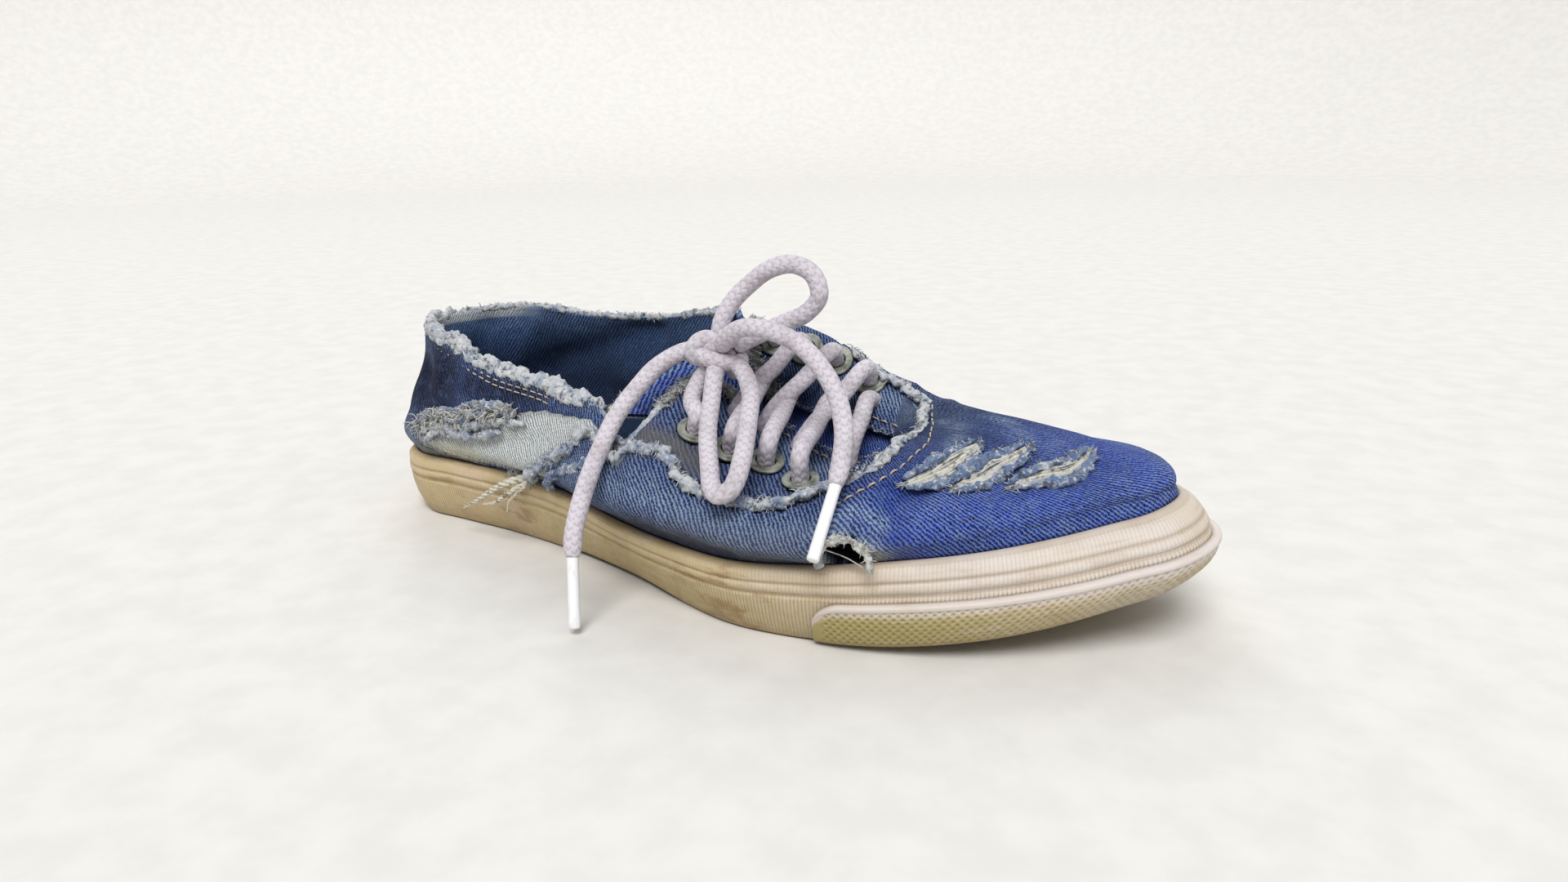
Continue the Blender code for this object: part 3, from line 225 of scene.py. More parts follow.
# The layer sewn over the base cloth, up a section counted 0 foot, 1 band top, 2 belly, 3 flank, 4 crest, 5 edge:
# the vamp piece ends at vamp_top and the quarter piece begins at quarter_low. torn is how far the strip between
# them is bare, quarter how thick the quarter piece is above it, and roll how much frayed roll the edge carries.
Layer = namedtuple("Layer", "at vamp_top quarter_low torn quarter roll")
SIDE_LAYERS = rows_of(Layer, (
    (0.000, 2.20, 2.60, 0.0, 1.0, 1.0),
    (0.071, 2.20, 2.50, 0.0, 1.0, 1.0),
    (0.115, 1.80, 2.50, 1.0, 1.0, 1.0),
    (0.166, 1.50, 2.80, 1.0, 1.0, 1.0),
    (0.217, 1.20, 3.20, 1.0, 1.0, 1.0),
    (0.302, 1.20, 3.75, 1.0, 1.0, 1.0),
    (0.376, 2.90, 4.30, 1.0, 1.0, 1.0),
    (0.414, 3.80, 4.45, 1.0, 1.0, 1.0),
    (0.441, 4.25, 4.65, 0.6, 1.0, 0.6),
    (0.475, 4.20, 4.70, 0.0, 0.6, 0.0),
    (0.498, 4.00, 4.70, 1.0, 0.0, 0.0),
    (0.522, 3.60, 4.70, 1.0, 0.0, 0.0),
    (0.576, 3.10, 4.70, 1.0, 0.0, 0.0),
    (0.681, 3.15, 4.70, 1.0, 0.0, 0.0),
    (0.702, 3.30, 4.70, 1.0, 0.0, 0.0),
    (0.739, 3.85, 4.70, 1.0, 0.0, 0.0),
    (0.790, 4.05, 4.70, 1.0, 0.0, 0.0),
    (0.868, 4.20, 4.70, 1.0, 0.0, 0.0),
    (TOE_AT, 4.30, 4.70, 1.0, 0.0, 0.0),
))
INNER_LAYERS = rows_of(Layer, (
    (0.071, 2.20, 2.60, 0.0, 1.0, 1.0),
    (0.166, 1.50, 2.80, 0.0, 1.0, 1.0),
    (0.217, 1.30, 3.20, 0.5, 0.5, 1.0),
    (0.268, 1.30, 4.00, 1.0, 0.0, 1.0),
    (0.319, 1.40, 4.50, 1.0, 0.0, 1.0),
    (0.414, 2.30, 4.70, 1.0, 0.0, 1.0),
    (0.458, 2.80, 4.70, 1.0, 0.0, 1.0),
    (0.481, 2.90, 4.70, 1.0, 0.0, 0.4),
    (0.522, 3.20, 4.70, 1.0, 0.0, 0.0),
    (0.590, 3.60, 4.70, 1.0, 0.0, 0.0),
    (0.631, 3.90, 4.70, 1.0, 0.0, 0.0),
    (0.702, 4.05, 4.70, 1.0, 0.0, 0.0),
    (0.790, 4.15, 4.70, 1.0, 0.0, 0.0),
    (0.956, 4.30, 4.70, 1.0, 0.0, 0.0),
))

# The tongue's free end: how far along the shoe, across and up its edge lies, and across where it is sewn in.
TongueRow = namedtuple("TongueRow", "at across up sewn_across")
TONGUE = rows_of(TongueRow, (
    (0.414, -0.340, 0.708, -0.196),
    (0.441, -0.206, 0.826, -0.124),
    (0.475, -0.093, 0.930, -0.056),
    (0.484, 0.036, 0.965, 0.020),
    (0.470, 0.130, 0.930, 0.080),
))
TONGUE_UNDER_FLAPS = 0.503
TONGUE_SEWN_AT = 0.700
TONGUE_DROOP = 1.5 * MM

# Eyelets: each row's places along the shoe, and how far they lie from the middle line, of BALL_WIDTH.
EyeletRow = namedtuple("EyeletRow", "at side inner")
EYELETS = rows_of(EyeletRow, (
    (0.535, 0.318, 0.186),
    (0.575, 0.299, 0.184),
    (0.612, 0.272, 0.186),
    (0.656, 0.283, 0.178),
))
STRAND_REARWARD = 0.030

# The bow, in millimetres: the knot's middle and its half sizes, and the routes on which the lace leaves it.
KNOT = (117, -20, 75)
KNOT_HALF = (8.0, 6.8, 6.2)
TAIL_SIDE = (KNOT, (107.8, -23.4, 76), (101, -29.5, 72), (96.8, -37, 65), (94.8, -44, 58.5), (94.3, -51.5, 50.5),
             (94.6, -59, 42), (95.6, -65.5, 33.5), (96.8, -69.4, 28), (98, -71.6, 22.3))
TAIL_SIDE_TIP = (101.2, -76.6, 2.2)
TAIL_FRONT = (KNOT, (124, -25, 82), (130, -26, 85.3), (138, -25, 85.2), (147, -23.5, 82), (155.5, -24.5, 76),
              (162.5, -27, 68), (167, -31.5, 59.5), (169.5, -38.5, 51.5), (170, -42, 47.4))
TAIL_FRONT_TIP = (172.0, -58.6, 31.6)
LOOP_UP = (KNOT, (117, -18, 85), (119.5, -15, 91), (124, -12.5, 96), (131, -11, 101), (138, -9.5, 102.5),
           (144, -8, 99.5), (146, -8, 93), (142.5, -9, 88.3), (135, -11.5, 84.5), (127, -15.5, 80.5), KNOT)
LOOP_DOWN = (KNOT, (119.8, -27, 69.8), (121.5, -31.5, 63), (124.5, -38, 56), (129.5, -45, 50), (132.4, -48.7, 47.4),
             (135.5, -52.4, 44.6), (138.9, -54.6, 43.4), (142.6, -53.7, 45), (143, -50.6, 47.7), (142.2, -47.4, 50.3),
             (141, -44, 52.8), (137, -35, 59.5), (132, -26, 66.5), (126, -21.5, 71.5), KNOT)
RISE_SIDE = ((113.4, -30.5, 62), (112.2, -25, 66.5), KNOT)
RISE_INNER = ((113.5, 8, 76.5), (116.5, -3, 77), (117, -11, 76), KNOT)


# Two level ways at the knot, and how far its half sizes are widened to hide the ends of the lace inside it.
KNOT_RIGHT = (0.82, 0.57, 0)
KNOT_NEAR = (0.57, -0.82, 0)
KNOT_ROOM = 0.75
KNOT_HIDES = 0.72
# The turns of the knot: the middle of each (right, up, near) and its half sizes, all in mm; the two ways it lies
# in, each as (right, up, near); and the seed of its unevenness.
KNOT_TURNS = (
    ((0.3, -0.6, 0.6), 6.2, 5.0, (1, -0.22, 0), (0, -0.12, 1), 17),
    ((0.9, 3.0, -0.8), 4.8, 4.2, (1, 0.42, 0), (0, 0.25, 1), 18),
    ((-4.9, 2.2, 0.8), 3.1, 2.7, (1, 0.5, 0), (-0.2, 1, 0.3), 19),
    ((3.6, -2.2, -1.0), 3.0, 3.6, (0, 0, 1), (-0.3, 1, 0), 20),
)

# The lace: the sides of its tube, the spacing of its points, and how it leaves an eyelet's mouth.
LACE_SIDES = 20
LACE_SPACING_MM = 0.9
MOUTH_ROOM = 0.9 * MM
STRAIGHT_RUN = 4 * MM

# The step at an edge of the torn layer, in rows.
STEP_WIDTH = 0.03


# ---- Worn places of this shoe, in turns and rows read off the cloth ----

# The torn upper edge of the rip on the outer side, the frayed edge of the vamp, and the seam inside it.
RIP_EDGE = ((0.765, 2.46), (0.88, 2.72), (1.05, 2.95), (1.163, 3.40), (1.263, 3.62))
VAMP_EDGE_SIDE = ((1.05, 0.55), (1.225, 1.20), (1.34, 2.25), (1.438, 3.23), (1.538, 4.40), (1.638, 3.74),
                  (1.713, 3.40), (1.775, 3.17), (1.90, 3.17), (1.988, 3.45), (2.163, 3.51))
VAMP_EDGE_TOE = ((2.163, 3.51), (2.30, 3.74), (2.525, 4.30), (3.00, 4.36), (3.337, 4.38), (3.537, 4.15),
                 (3.987, 4.10), (4.15, 3.98))
SEAM_TOE = ((2.05, 2.95), (2.175, 3.12), (2.337, 3.40), (2.463, 3.68), (2.75, 3.98), (3.175, 4.22), (3.512, 4.00))
SEAM_COLLAR_LOW = ((0.86, 4.62), (1.025, 4.56), (1.125, 4.44), (1.20, 4.28), (1.35, 4.30))
SEAM_COLLAR_HIGH = ((0.86, 4.78), (1.025, 4.72), (1.125, 4.62), (1.20, 4.48), (1.35, 4.50))
SEAM_STAY_SIDE = ((1.70, 4.82), (1.86, 4.80), (2.02, 4.78), (2.2, 4.80))
SEAM_STAY_INNER = ((4.16, 4.80), (4.06, 4.80), (3.95, 4.80), (3.8, 4.82))

# Folds of the cloth: a path, how far the cloth stands out there (or sinks), and how wide it is, in millimetres.
Fold = namedtuple("Fold", "path high wide")
FOLDS = rows_of(Fold, (
    (((2.20, 2.30), (2.30, 2.75), (2.42, 3.10)), -1.8, 6.0),
    (((2.05, 2.75), (2.20, 2.90), (2.33, 3.15)), 0.9, 4.5),
    (((1.62, 2.75), (1.80, 2.62), (1.95, 2.70), (2.05, 2.95)), -1.5, 6.0),
    (((1.45, 2.00), (1.62, 2.05), (1.80, 1.95), (2.00, 2.05)), 1.0, 6.5),
    (((1.40, 1.55), (1.60, 1.45), (1.85, 1.40)), -0.7, 4.0),
    (((2.95, 3.95), (2.80, 3.72), (2.66, 3.45)), -0.7, 3.4),
    (((3.05, 3.55), (2.90, 3.35), (2.80, 3.15)), -0.5, 3.2),
    (((0.80, 1.90), (1.00, 1.75), (1.20, 1.90), (1.35, 2.60)), 1.0, 5.0),
    (((0.85, 2.40), (1.05, 2.30), (1.22, 2.80), (1.42, 3.90)), -0.9, 3.6),
    (((1.00, 2.75), (1.18, 2.95), (1.33, 3.45), (1.48, 4.40)), 0.9, 3.2),
    (((0.30, 4.60), (0.45, 3.60), (0.62, 2.80)), 1.0, 6.0),
    (((0.55, 4.40), (0.72, 3.60), (0.85, 3.00)), -1.1, 5.0),
    (((0.05, 3.20), (0.20, 2.20), (0.30, 1.40)), 0.8, 6.0),
    (((0.92, 4.20), (1.05, 3.70), (1.10, 3.40)), 0.7, 4.0),
    (((4.70, 4.60), (4.85, 3.90), (5.10, 3.10)), 1.4, 6.0),
    (((4.50, 4.40), (4.62, 3.70), (4.80, 2.90)), -1.3, 5.5),
    (((5.10, 4.70), (5.25, 4.00), (5.45, 3.20)), -1.0, 5.5),
    (((4.30, 3.60), (4.40, 2.90), (4.60, 2.20)), 1.0, 5.0),
    (((3.90, 3.40), (4.05, 2.70), (4.25, 2.10)), -0.9, 5.0),
    (((3.60, 3.60), (3.70, 3.00), (3.85, 2.40)), 0.8, 2.6),
    (((5.60, 4.50), (5.75, 3.70), (5.85, 2.80)), 0.8, 5.0),
))

# Marks on the denim: what the cloth does there, a path, its width in millimetres and its strength.
Mark = namedtuple("Mark", "kind path wide strength")
MARKS = rows_of(Mark, (
    ("pale", ((3.00, 3.98), (2.88, 3.85), (2.72, 3.66)), 2.4, 1.0),
    ("pale", ((3.08, 3.70), (2.96, 3.55), (2.88, 3.42)), 2.4, 0.9),
    ("pale", ((1.30, 1.20), (1.55, 2.70), (1.80, 2.55), (2.15, 2.30)), 8.0, 0.50),
    ("pale", ((1.80, 2.00), (2.00, 2.00), (2.20, 2.00)), 6.0, 0.45),
    ("pale", ((2.05, 2.60), (2.15, 2.75), (2.25, 2.55)), 4.0, 0.75),
    ("pale", ((2.05, 1.30), (2.06, 2.00), (2.14, 2.40), (2.23, 2.10), (2.25, 1.40)), 3.6, 1.0),
    ("yellow", ((2.06, 1.30), (2.07, 2.00), (2.14, 2.30), (2.22, 2.05), (2.24, 1.40)), 2.0, 0.8),
    ("pale", ((2.40, 2.60), (2.60, 2.90), (2.90, 3.20)), 8.0, 0.30),
    ("pale", ((2.50, 1.60), (2.80, 1.90), (3.10, 1.90)), 10.0, 0.22),
    ("pale", ((3.00, 2.20), (3.20, 2.60), (3.30, 3.00)), 9.0, 0.30),
    ("pale", ((0.45, 2.00), (0.70, 2.20), (0.95, 2.30)), 6.0, 0.60),
    ("pale", ((0.40, 4.50), (0.60, 4.20), (0.80, 4.10)), 3.0, 0.45),
    ("pale", ((0.05, 4.60), (0.10, 3.80)), 4.0, 0.40),
    ("pale", ((1.72, 4.55), (1.90, 4.45), (2.10, 4.45)), 6.0, 0.50),
    ("pale", ((4.20, 4.50), (4.00, 4.40), (3.80, 4.40)), 6.0, 0.55),
    ("pale", ((4.30, 3.40), (3.90, 3.30), (3.50, 3.40)), 7.0, 0.35),
    ("grey", ((1.60, 4.60), (1.66, 3.90), (1.74, 3.60)), 6.5, 0.80),
    ("grey", ((2.08, 1.30), (2.15, 1.99), (2.25, 1.40)), 4.0, 0.45),
    ("grey", ((0.10, 1.10), (0.60, 1.12), (1.00, 1.10)), 1.6, 0.85),
    ("grey", ((1.20, 1.08), (1.80, 1.10), (2.60, 1.08)), 1.3, 0.55),
    ("grey", ((3.30, 1.10), (4.20, 1.10), (5.90, 1.10)), 1.6, 0.60),
    ("grey", ((0.80, 1.90), (0.95, 2.05), (1.05, 2.25)), 4.5, 0.65),
    ("yellow", ((0.90, 1.40), (1.10, 1.60)), 5.0, 0.8),
    ("grey", ((1.45, 1.50), (1.75, 1.55), (2.10, 1.60), (2.30, 1.40)), 9.0, 0.50),
    ("grey", ((1.35, 2.2), (1.42, 3.0)), 5.0, 0.45),
    ("indigo", ((0.05, 3.40), (0.50, 3.60), (0.95, 3.90)), 17.0, 1.0),
    ("indigo", ((1.10, 4.00), (1.30, 4.20)), 6.0, 0.75),
    ("indigo", ((5.50, 3.60), (5.90, 3.60)), 13.0, 0.75),
    ("indigo", ((2.25, 2.40), (2.35, 2.90), (2.45, 3.15)), 6.0, 0.55),
    ("indigo", ((1.45, 1.50), (1.75, 1.45), (2.10, 1.45)), 8.0, 0.80),
    ("bright", ((2.45, 2.20), (2.90, 2.60), (3.20, 2.60)), 30.0, 1.0),
    ("bright", ((0.02, 1.90), (0.15, 1.70)), 7.0, 0.70),
    ("yellow", ((0.55, 1.25), (0.80, 1.30)), 6.0, 0.55),
    ("shade", ((2.363, 3.17), (2.66, 3.15), (2.925, 3.06)), 4.5, 0.30),
))

# The three gashes over the toe: the path along each, in turns and rows, and how wide it gapes in millimetres.
Gash = namedtuple("Gash", "path gape")
GASHES = rows_of(Gash, (
    (((2.36, 3.08), (2.48, 3.17), (2.62, 3.34), (2.74, 3.48), (2.80, 3.54)), 3.4),
    (((2.54, 2.90), (2.63, 3.00), (2.74, 3.17), (2.83, 3.29), (2.87, 3.34)), 3.2),
    (((2.71, 2.75), (2.77, 2.85), (2.84, 2.98), (2.91, 3.08), (2.95, 3.13)), 2.8),
))

# Pitches of the patterns.
TWILL_PITCH_MM = 1.15
LACE_BRAID_MM = 2.6
RIB_PITCH_MM = 1.15
DIMPLE_PITCH_MM = 2.4

# How far the cloth is drawn in over the band, all round and more at the toe; how much its folds swell; how high the
# band's inner lip stands; and how deep the bumper's lozenges are pressed.
DRAWN_IN = 0.6 * MM
DRAWN_IN_TOE = 2.3 * MM
FOLD_SWELL = 1.4
BAND_LIP = 0.9 * MM
DIMPLE_DEEP = 0.6 * MM

# The bumper: its foot as a share of the band's height, its height along the cloth in millimetres, and how thick it is
# from its foot to its lip, of BUMPER_WALL.
BUMPER_FOOT = 0.035
BUMPER_TALL_MM = 14
BUMPER_BOWS = ((0.0, 0.55), (0.06, 0.8), (0.12, 0.9), (0.5, 1.0), (0.86, 0.97), (0.89, 1.12), (0.95, 1.12), (0.98, 1.0),
               (1.0, 0.6))

# The torn hole comes after the eyelets' holes; its middle is moved by this along and across its own frame.
TORN_HOLE = 2 * len(EYELETS)
TORN_MOVED = (0.6, -2.3, 0)

# How finely the shell is made: ribs round the shoe, and rows of its three parts; and the same of the lookup.
SHELL_TURNS = 560
VAMP_ROWS, STRIP_ROWS, QUARTER_ROWS = 30, 13, 26
LOOKUP_TURNS, LOOKUP_ROWS = 960, 101

# The sweep of paper, in metres: rings of its floor, the radius of its bend and the top of its wall.
SWEEP_FLOOR = (0.0, 0.5, 1.2, 2.0)
SWEEP_BEND = 1.0
SWEEP_TOP = 1.5

# The lights: the way each shines, its angle in degrees and its strength. Then the room's colour and strength.
LIGHTS = (
    ("soft_key", (-0.25, 0.62, -1.0), 32, 1.95),
    ("soft_fill", (-0.9, 0.15, -0.75), 60, 0.50),
    ("soft_back", (0.55, -0.70, -0.95), 40, 0.75),
)
ROOM_COLOUR, ROOM_STRENGTH = "e6e8ec", 0.33

# The camera at the photograph's angle: place and aim in millimetres, lens in mm on its sensor, roll in degrees.
CAMERA_PLACE, CAMERA_AIM = (304.3, -285.1, 145.4), (128.0, -0.7, 43.1)
CAMERA_LENS_MM, CAMERA_SENSOR_MM, CAMERA_ROLL = 24.46, 36, -1.2


def linear(code):
    """A colour written as sRGB hex, turned to the linear values that shaders take."""
    parts = [int(code[k:k + 2], 16) / 255 for k in (0, 2, 4)]
    return tuple(p / 12.92 if p <= 0.04045 else ((p + 0.055) / 1.055) ** 2.4 for p in parts)


def colour(name, about, code):
    return FloatVectorProperty(name=name, description=about, subtype="COLOR", size=3, min=0, max=1,
                               default=linear(code))


class SneakerClothSettings(bpy.types.PropertyGroup):
    """Colours and sizes of the denim, its frays and its threads."""

    denim: colour("Denim", "Washed indigo denim of the vamp", "1b3672")
    indigo: colour("Dark indigo", "Less worn denim at the heel", "0f1634")
    bright: colour("Bright denim", "Clean denim over the toe", "1741ac")
    washed: colour("Washed denim", "Denim worn pale on the folds", "6480a8")
    weft: colour("Weft", "Undyed weft that shows between the dyed warp", "a9b6c6")
    cream: colour("Bare twill", "Undyed base cloth in the rip", "e6e5da")
    grey: colour("Soiled denim", "Grey-brown denim of the eyestay's rear panel", "6f6c68")
    # The inside's colour is kept dark partly as painted shade inside the shoe.
    lining: colour("Inside", "Denim seen from the inside", "30507f")
    fray: colour("Frayed yarn", "Soiled cotton yarn at the torn edges", "c3c6c9")
    fray_blue: colour("Frayed blue yarn", "Indigo yarn at the torn edges", "66799a")
    tan: colour("Tan thread", "Topstitching thread", "ab9a85")
    strand_width: FloatProperty(name="Strand width", description="Width of one frayed yarn", subtype="DISTANCE",
                                default=0.0005, min=0.0002, max=0.001)
    stitch_length: FloatProperty(name="Stitch length", description="Length of one topstitch", subtype="DISTANCE",
                                 default=0.0026, min=0.001, max=0.005)
    strands_per_cm: IntProperty(name="Strands per cm", description="Loose yarns on each centimetre of torn edge",
                                default=34, min=2, max=120)


class SneakerRubberSettings(bpy.types.PropertyGroup):
    """Colours of the rubber."""

    clean: colour("Clean rubber", "Vulcanised rubber near the toe", "d4ccc6")
    aged: colour("Aged rubber", "Vulcanised rubber yellowed towards the heel", "cbb994")
    # Olive soiling, laid on more heavily towards the foot: partly real soiling, partly painted shade near the floor.
    olive: colour("Olive soiling", "Soiling low on the bumper", "a19a60")
    stain: colour("Brown stains", "Soiling in the grooves", "8d6a3e")
    tread: colour("Tread", "Rubber underfoot", "b9a67c")
    footbed: colour("Footbed", "Worn cloth of the insole", "6d6a62")


class SneakerLaceSettings(bpy.types.PropertyGroup):
    """Colours and sizes of the lace and its metalwork."""

    cotton: colour("Lace cotton", "Round woven cotton lace", "d0cad2")
    soiled: colour("Soiled cotton", "Lace where it is handled and rubbed", "a9a1a4")
    tip: colour("Lace tip", "Heat-shrunk plastic tip", "eeeff2")
    metal: colour("Eyelet", "Dull zinc-plated brass eyelet", "9da197")
    width: FloatProperty(name="Lace width", description="Diameter of the round lace", subtype="DISTANCE",
                         default=LACE, min=0.003, max=0.008)
    tip_width: FloatProperty(name="Tip width", description="Diameter of the lace's plastic tip",
                             subtype="DISTANCE", default=AGLET, min=0.002, max=0.005)


# ---- The surface of the shoe, as its solids have it ----

def along(points, where, closed=False):
    """Reads a smooth curve through the points, at places counted in points from the first."""
    knots = np.asarray(points, float)
    where = np.atleast_1d(np.asarray(where, float))
    if closed:
        line = np.vstack((knots[-1:], knots, knots[:2]))
    else:
        line = np.vstack((2 * knots[0] - knots[1], knots, 2 * knots[-1] - knots[-2]))
    gap = np.linalg.norm(np.diff(line, axis=0), axis=1)[:, None]
    rate = np.diff(line, axis=0) / gap
    tangent = (rate[:-1] * gap[1:] + rate[1:] * gap[:-1]) / (gap[:-1] + gap[1:])
    first = np.clip(np.floor(where).astype(int), 0, len(tangent) - 2)
    t = (where - first)[:, None]
    start, end, span = line[first + 1], line[first + 2], gap[first + 1]
    lean_in, lean_out = tangent[first] * span, tangent[first + 1] * span
    return (
        (2 * t**3 - 3 * t**2 + 1) * start
        + (t**3 - 2 * t**2 + t) * lean_in
        + (3 * t**2 - 2 * t**3) * end
        + (t**3 - t**2) * lean_out
    )


def steady(knots, values, where):
    """Reads a smooth line through the values that never overshoots them."""
    knots, values = np.asarray(knots, float), np.asarray(values, float)
    where = np.asarray(where, float)
    step = np.diff(knots)
    slope = np.diff(values) / step
    before, after = slope[:-1], slope[1:]
    heavy, light = 2 * step[1:] + step[:-1], step[1:] + 2 * step[:-1]
    same_way = before * after > 0
    safe_before, safe_after = np.where(same_way, before, 1.0), np.where(same_way, after, 1.0)
    mean = (heavy + light) / (heavy / safe_before + light / safe_after)
    lean = np.concatenate((slope[:1], np.where(same_way, mean, 0.0), slope[-1:]))
    first = np.clip(np.searchsorted(knots, where) - 1, 0, len(step) - 1)
    t = np.clip((where - knots[first]) / step[first], 0, 1)
    return (
        (2 * t**3 - 3 * t**2 + 1) * values[first]
        + (t**3 - 2 * t**2 + t) * lean[first] * step[first]
        + (3 * t**2 - 2 * t**3) * values[first + 1]
        + (t**3 - t**2) * lean[first + 1] * step[first]
    )


def ease(x, start, end):
    t = np.clip((np.asarray(x, float) - start) / (end - start), 0, 1)
    return t * t * (3 - 2 * t)


def bell(away, wide):
    """1 at nothing away, fading within about twice this width."""
    return np.exp(-((away / wide) ** 2))


def unit(ways):
    return ways / np.linalg.norm(ways, axis=-1, keepdims=True)


def run_along(points):
    """How far along their line the points lie."""
    return np.concatenate(([0], np.cumsum(np.linalg.norm(np.diff(points, axis=0), axis=1))))


def run_round(points):
    """The same once round a closed line, back to its first point."""
    return run_along(np.vstack((points, points[:1])))


# The middle line of the ribs: from the origin over the heel to the end of the throat.
THROAT = np.array((THROAT_AT * LENGTH - HEEL_SEAT, THROAT_ACROSS * BALL_WIDTH))


def place_x(at):
    return np.asarray(at) * LENGTH - HEEL_SEAT


def share_at(x):
    return (np.asarray(x) + HEEL_SEAT) / LENGTH


def plan_points():
    """The band's top edge as dense points round the shoe, with the turn of each."""
    side = [(place_x(row.at), -row.side * BALL_WIDTH) for row in OUTLINE]
    inner = [(place_x(row.at), row.inner * BALL_WIDTH) for row in reversed(OUTLINE)]
    toe = (place_x(TOE_AT), TOE_ACROSS * BALL_WIDTH)
    knots = [(place_x(0), 0.0), *side, toe, *inner]
    per_knot = 60
    where = np.arange(len(knots) * per_knot) / per_knot
    points = along(knots, where, closed=True)
    x, y = points.T
    on_side = where <= len(side) + 1
    toe_angle = np.arctan2(toe[1] - THROAT[1], toe[0] - THROAT[0])
    quarter = tau / 4
    heel_turn = np.arctan2(np.abs(y), -x) / quarter
    middle_turn = 1 + x / THROAT[0]
    angle = np.arctan2(y - THROAT[1], x - THROAT[0])
    side_turn = 2 + (angle + quarter) / (toe_angle + quarter)
    inner_turn = 2 + (quarter - angle) / (quarter - toe_angle)
    toe_turn = np.where(on_side, side_turn, inner_turn)
    turn = np.where(x < 0, heel_turn, np.where(x < THROAT[0], middle_turn, toe_turn))
    turn = np.where(on_side, turn, 6 - turn)
    turn[0] = 0.0
    order = np.argsort(turn)
    return turn[order], points[order]


PLAN_TURN, PLAN_XY = plan_points()


def plan_at(turn):
    """The outline's point at each turn, and the way out of the shoe there."""
    def read(where):
        return np.stack([np.interp(where % 6, PLAN_TURN, PLAN_XY[:, k], period=6) for k in range(2)], -1)

    turn = np.asarray(turn, float)
    nudge = 0.02
    tangent = unit(read(turn + nudge) - read(turn - nudge))
    return read(turn), np.stack((tangent[..., 1], -tangent[..., 0]), -1)


def spine_at(turn):
    """Where a rib starts: on the line from the origin to the end of the throat."""
    half = np.minimum(np.asarray(turn) % 6, 6 - np.asarray(turn) % 6)
    return np.clip(half - 1, 0, 1)[..., None] * THROAT


def turn_beside(at, inner):
    """The turn at which the outline passes a place along the shoe, on the outer or the inner side."""
    half = PLAN_TURN >= 3 if inner else PLAN_TURN <= 3
    x, turn = PLAN_XY[half, 0], PLAN_TURN[half]
    order = np.argsort(x)
    return np.interp(place_x(at), x[order], turn[order])


@lru_cache(maxsize=8)
def turns_of_rows(side_rows, inner_rows):
    """The turns of two tables' rows, round the shoe from the heel's back."""
    ends = {0: 0.0, TOE_AT: 3.0}
    knots = [ends[row.at] if row.at in ends else float(turn_beside(row.at, False)) for row in side_rows]
    return (*knots, *(float(turn_beside(row.at, True)) for row in reversed(inner_rows)))


def round_the_shoe(side_rows, inner_rows, column, turn):
    """Reads a column of two tables of sections, the outer side's and the inner side's, at each turn."""
    knots = list(turns_of_rows(side_rows, inner_rows))
    values = [getattr(row, column) for row in side_rows] + [getattr(row, column) for row in reversed(inner_rows)]
    ahead, behind = 4, -4
    knots = np.concatenate((np.array(knots[behind:]) - 6, knots, np.array(knots[:ahead]) + 6))
    values = values[behind:] + values + values[:ahead]
    return steady(knots, values, np.asarray(turn, float) % 6)


def down_the_table(rows, column, at):
    return steady([row.at for row in rows], [getattr(row, column) for row in rows], at)


def spring(x):
    """How far the sole has left the floor towards the toe."""
    rise = np.clip((share_at(x) - SPRING_FROM) / (1 - SPRING_FROM), 0, 1)
    return TOE_SPRING * rise**2


def waist(x):
    """How far the sole's face is hollowed under the arch."""
    at = share_at(x)
    return ARCH * ease(at, WAIST_FROM, WAIST_FULL) * (1 - ease(at, WAIST_FADES, WAIST_TO))


def band_height(x):
    return BAND_HEIGHT * down_the_table(BAND, "high", share_at(x))


def band_out(x, up):
    """How far the band's face lies outside its own top edge, at a share of its height."""
    at = share_at(x)
    bulge = BAND_HEIGHT * down_the_table(BAND, "bulge", at) * 4 * up * (1 - up)
    return bulge - BAND_HEIGHT * down_the_table(BAND, "tuck", at) * (1 - up) ** 1.5


def band_in(x, up):
    """The same for the band's straight inner face: it's thickest where the outer face bulges."""
    return -BAND_HEIGHT * down_the_table(BAND, "tuck", share_at(x)) * (1 - up) - BAND_WALL


def shoe_height(x):
    return HEEL_HEIGHT + (INSTEP_HEIGHT - HEEL_HEIGHT) * ease(share_at(x), HEEL_RISES, INSTEP_REACHED)


def sections(turns):
    """The upper's ribs at these turns: six points each, from the foot of the shell to its free edge."""
    turns = np.asarray(turns, float)
    edge_xy, out = plan_at(turns)
    spine = spine_at(turns)
    rib = unit(edge_xy - spine)
    x = edge_xy[:, 0]
    high = band_height(x)
    foot_up = (SOLE_THICK + CLEARANCE) / high
    inside = CLEARANCE + OVERLAY
    lip = 1 * MM
    foot = edge_xy + out * (band_in(x, foot_up) - inside)[:, None]
    top = edge_xy + out * (band_in(x, 1.0) - inside)[:, None]
    points = [
        np.column_stack((foot, spring(x) + SOLE_THICK + CLEARANCE)),
        np.column_stack((top, spring(x) + high + lip)),
    ]
    for form in ("belly", "flank", "crest", "edge"):
        reach = BALL_WIDTH * round_the_shoe(SIDE_SECTIONS, INNER_SECTIONS, form, turns)
        up = round_the_shoe(SIDE_SECTIONS, INNER_SECTIONS, form + "_up", turns)
        at_form = spine + rib * reach[:, None]
        points.append(np.column_stack((at_form, up * shoe_height(at_form[:, 0]))))
    return np.stack(points, 1)


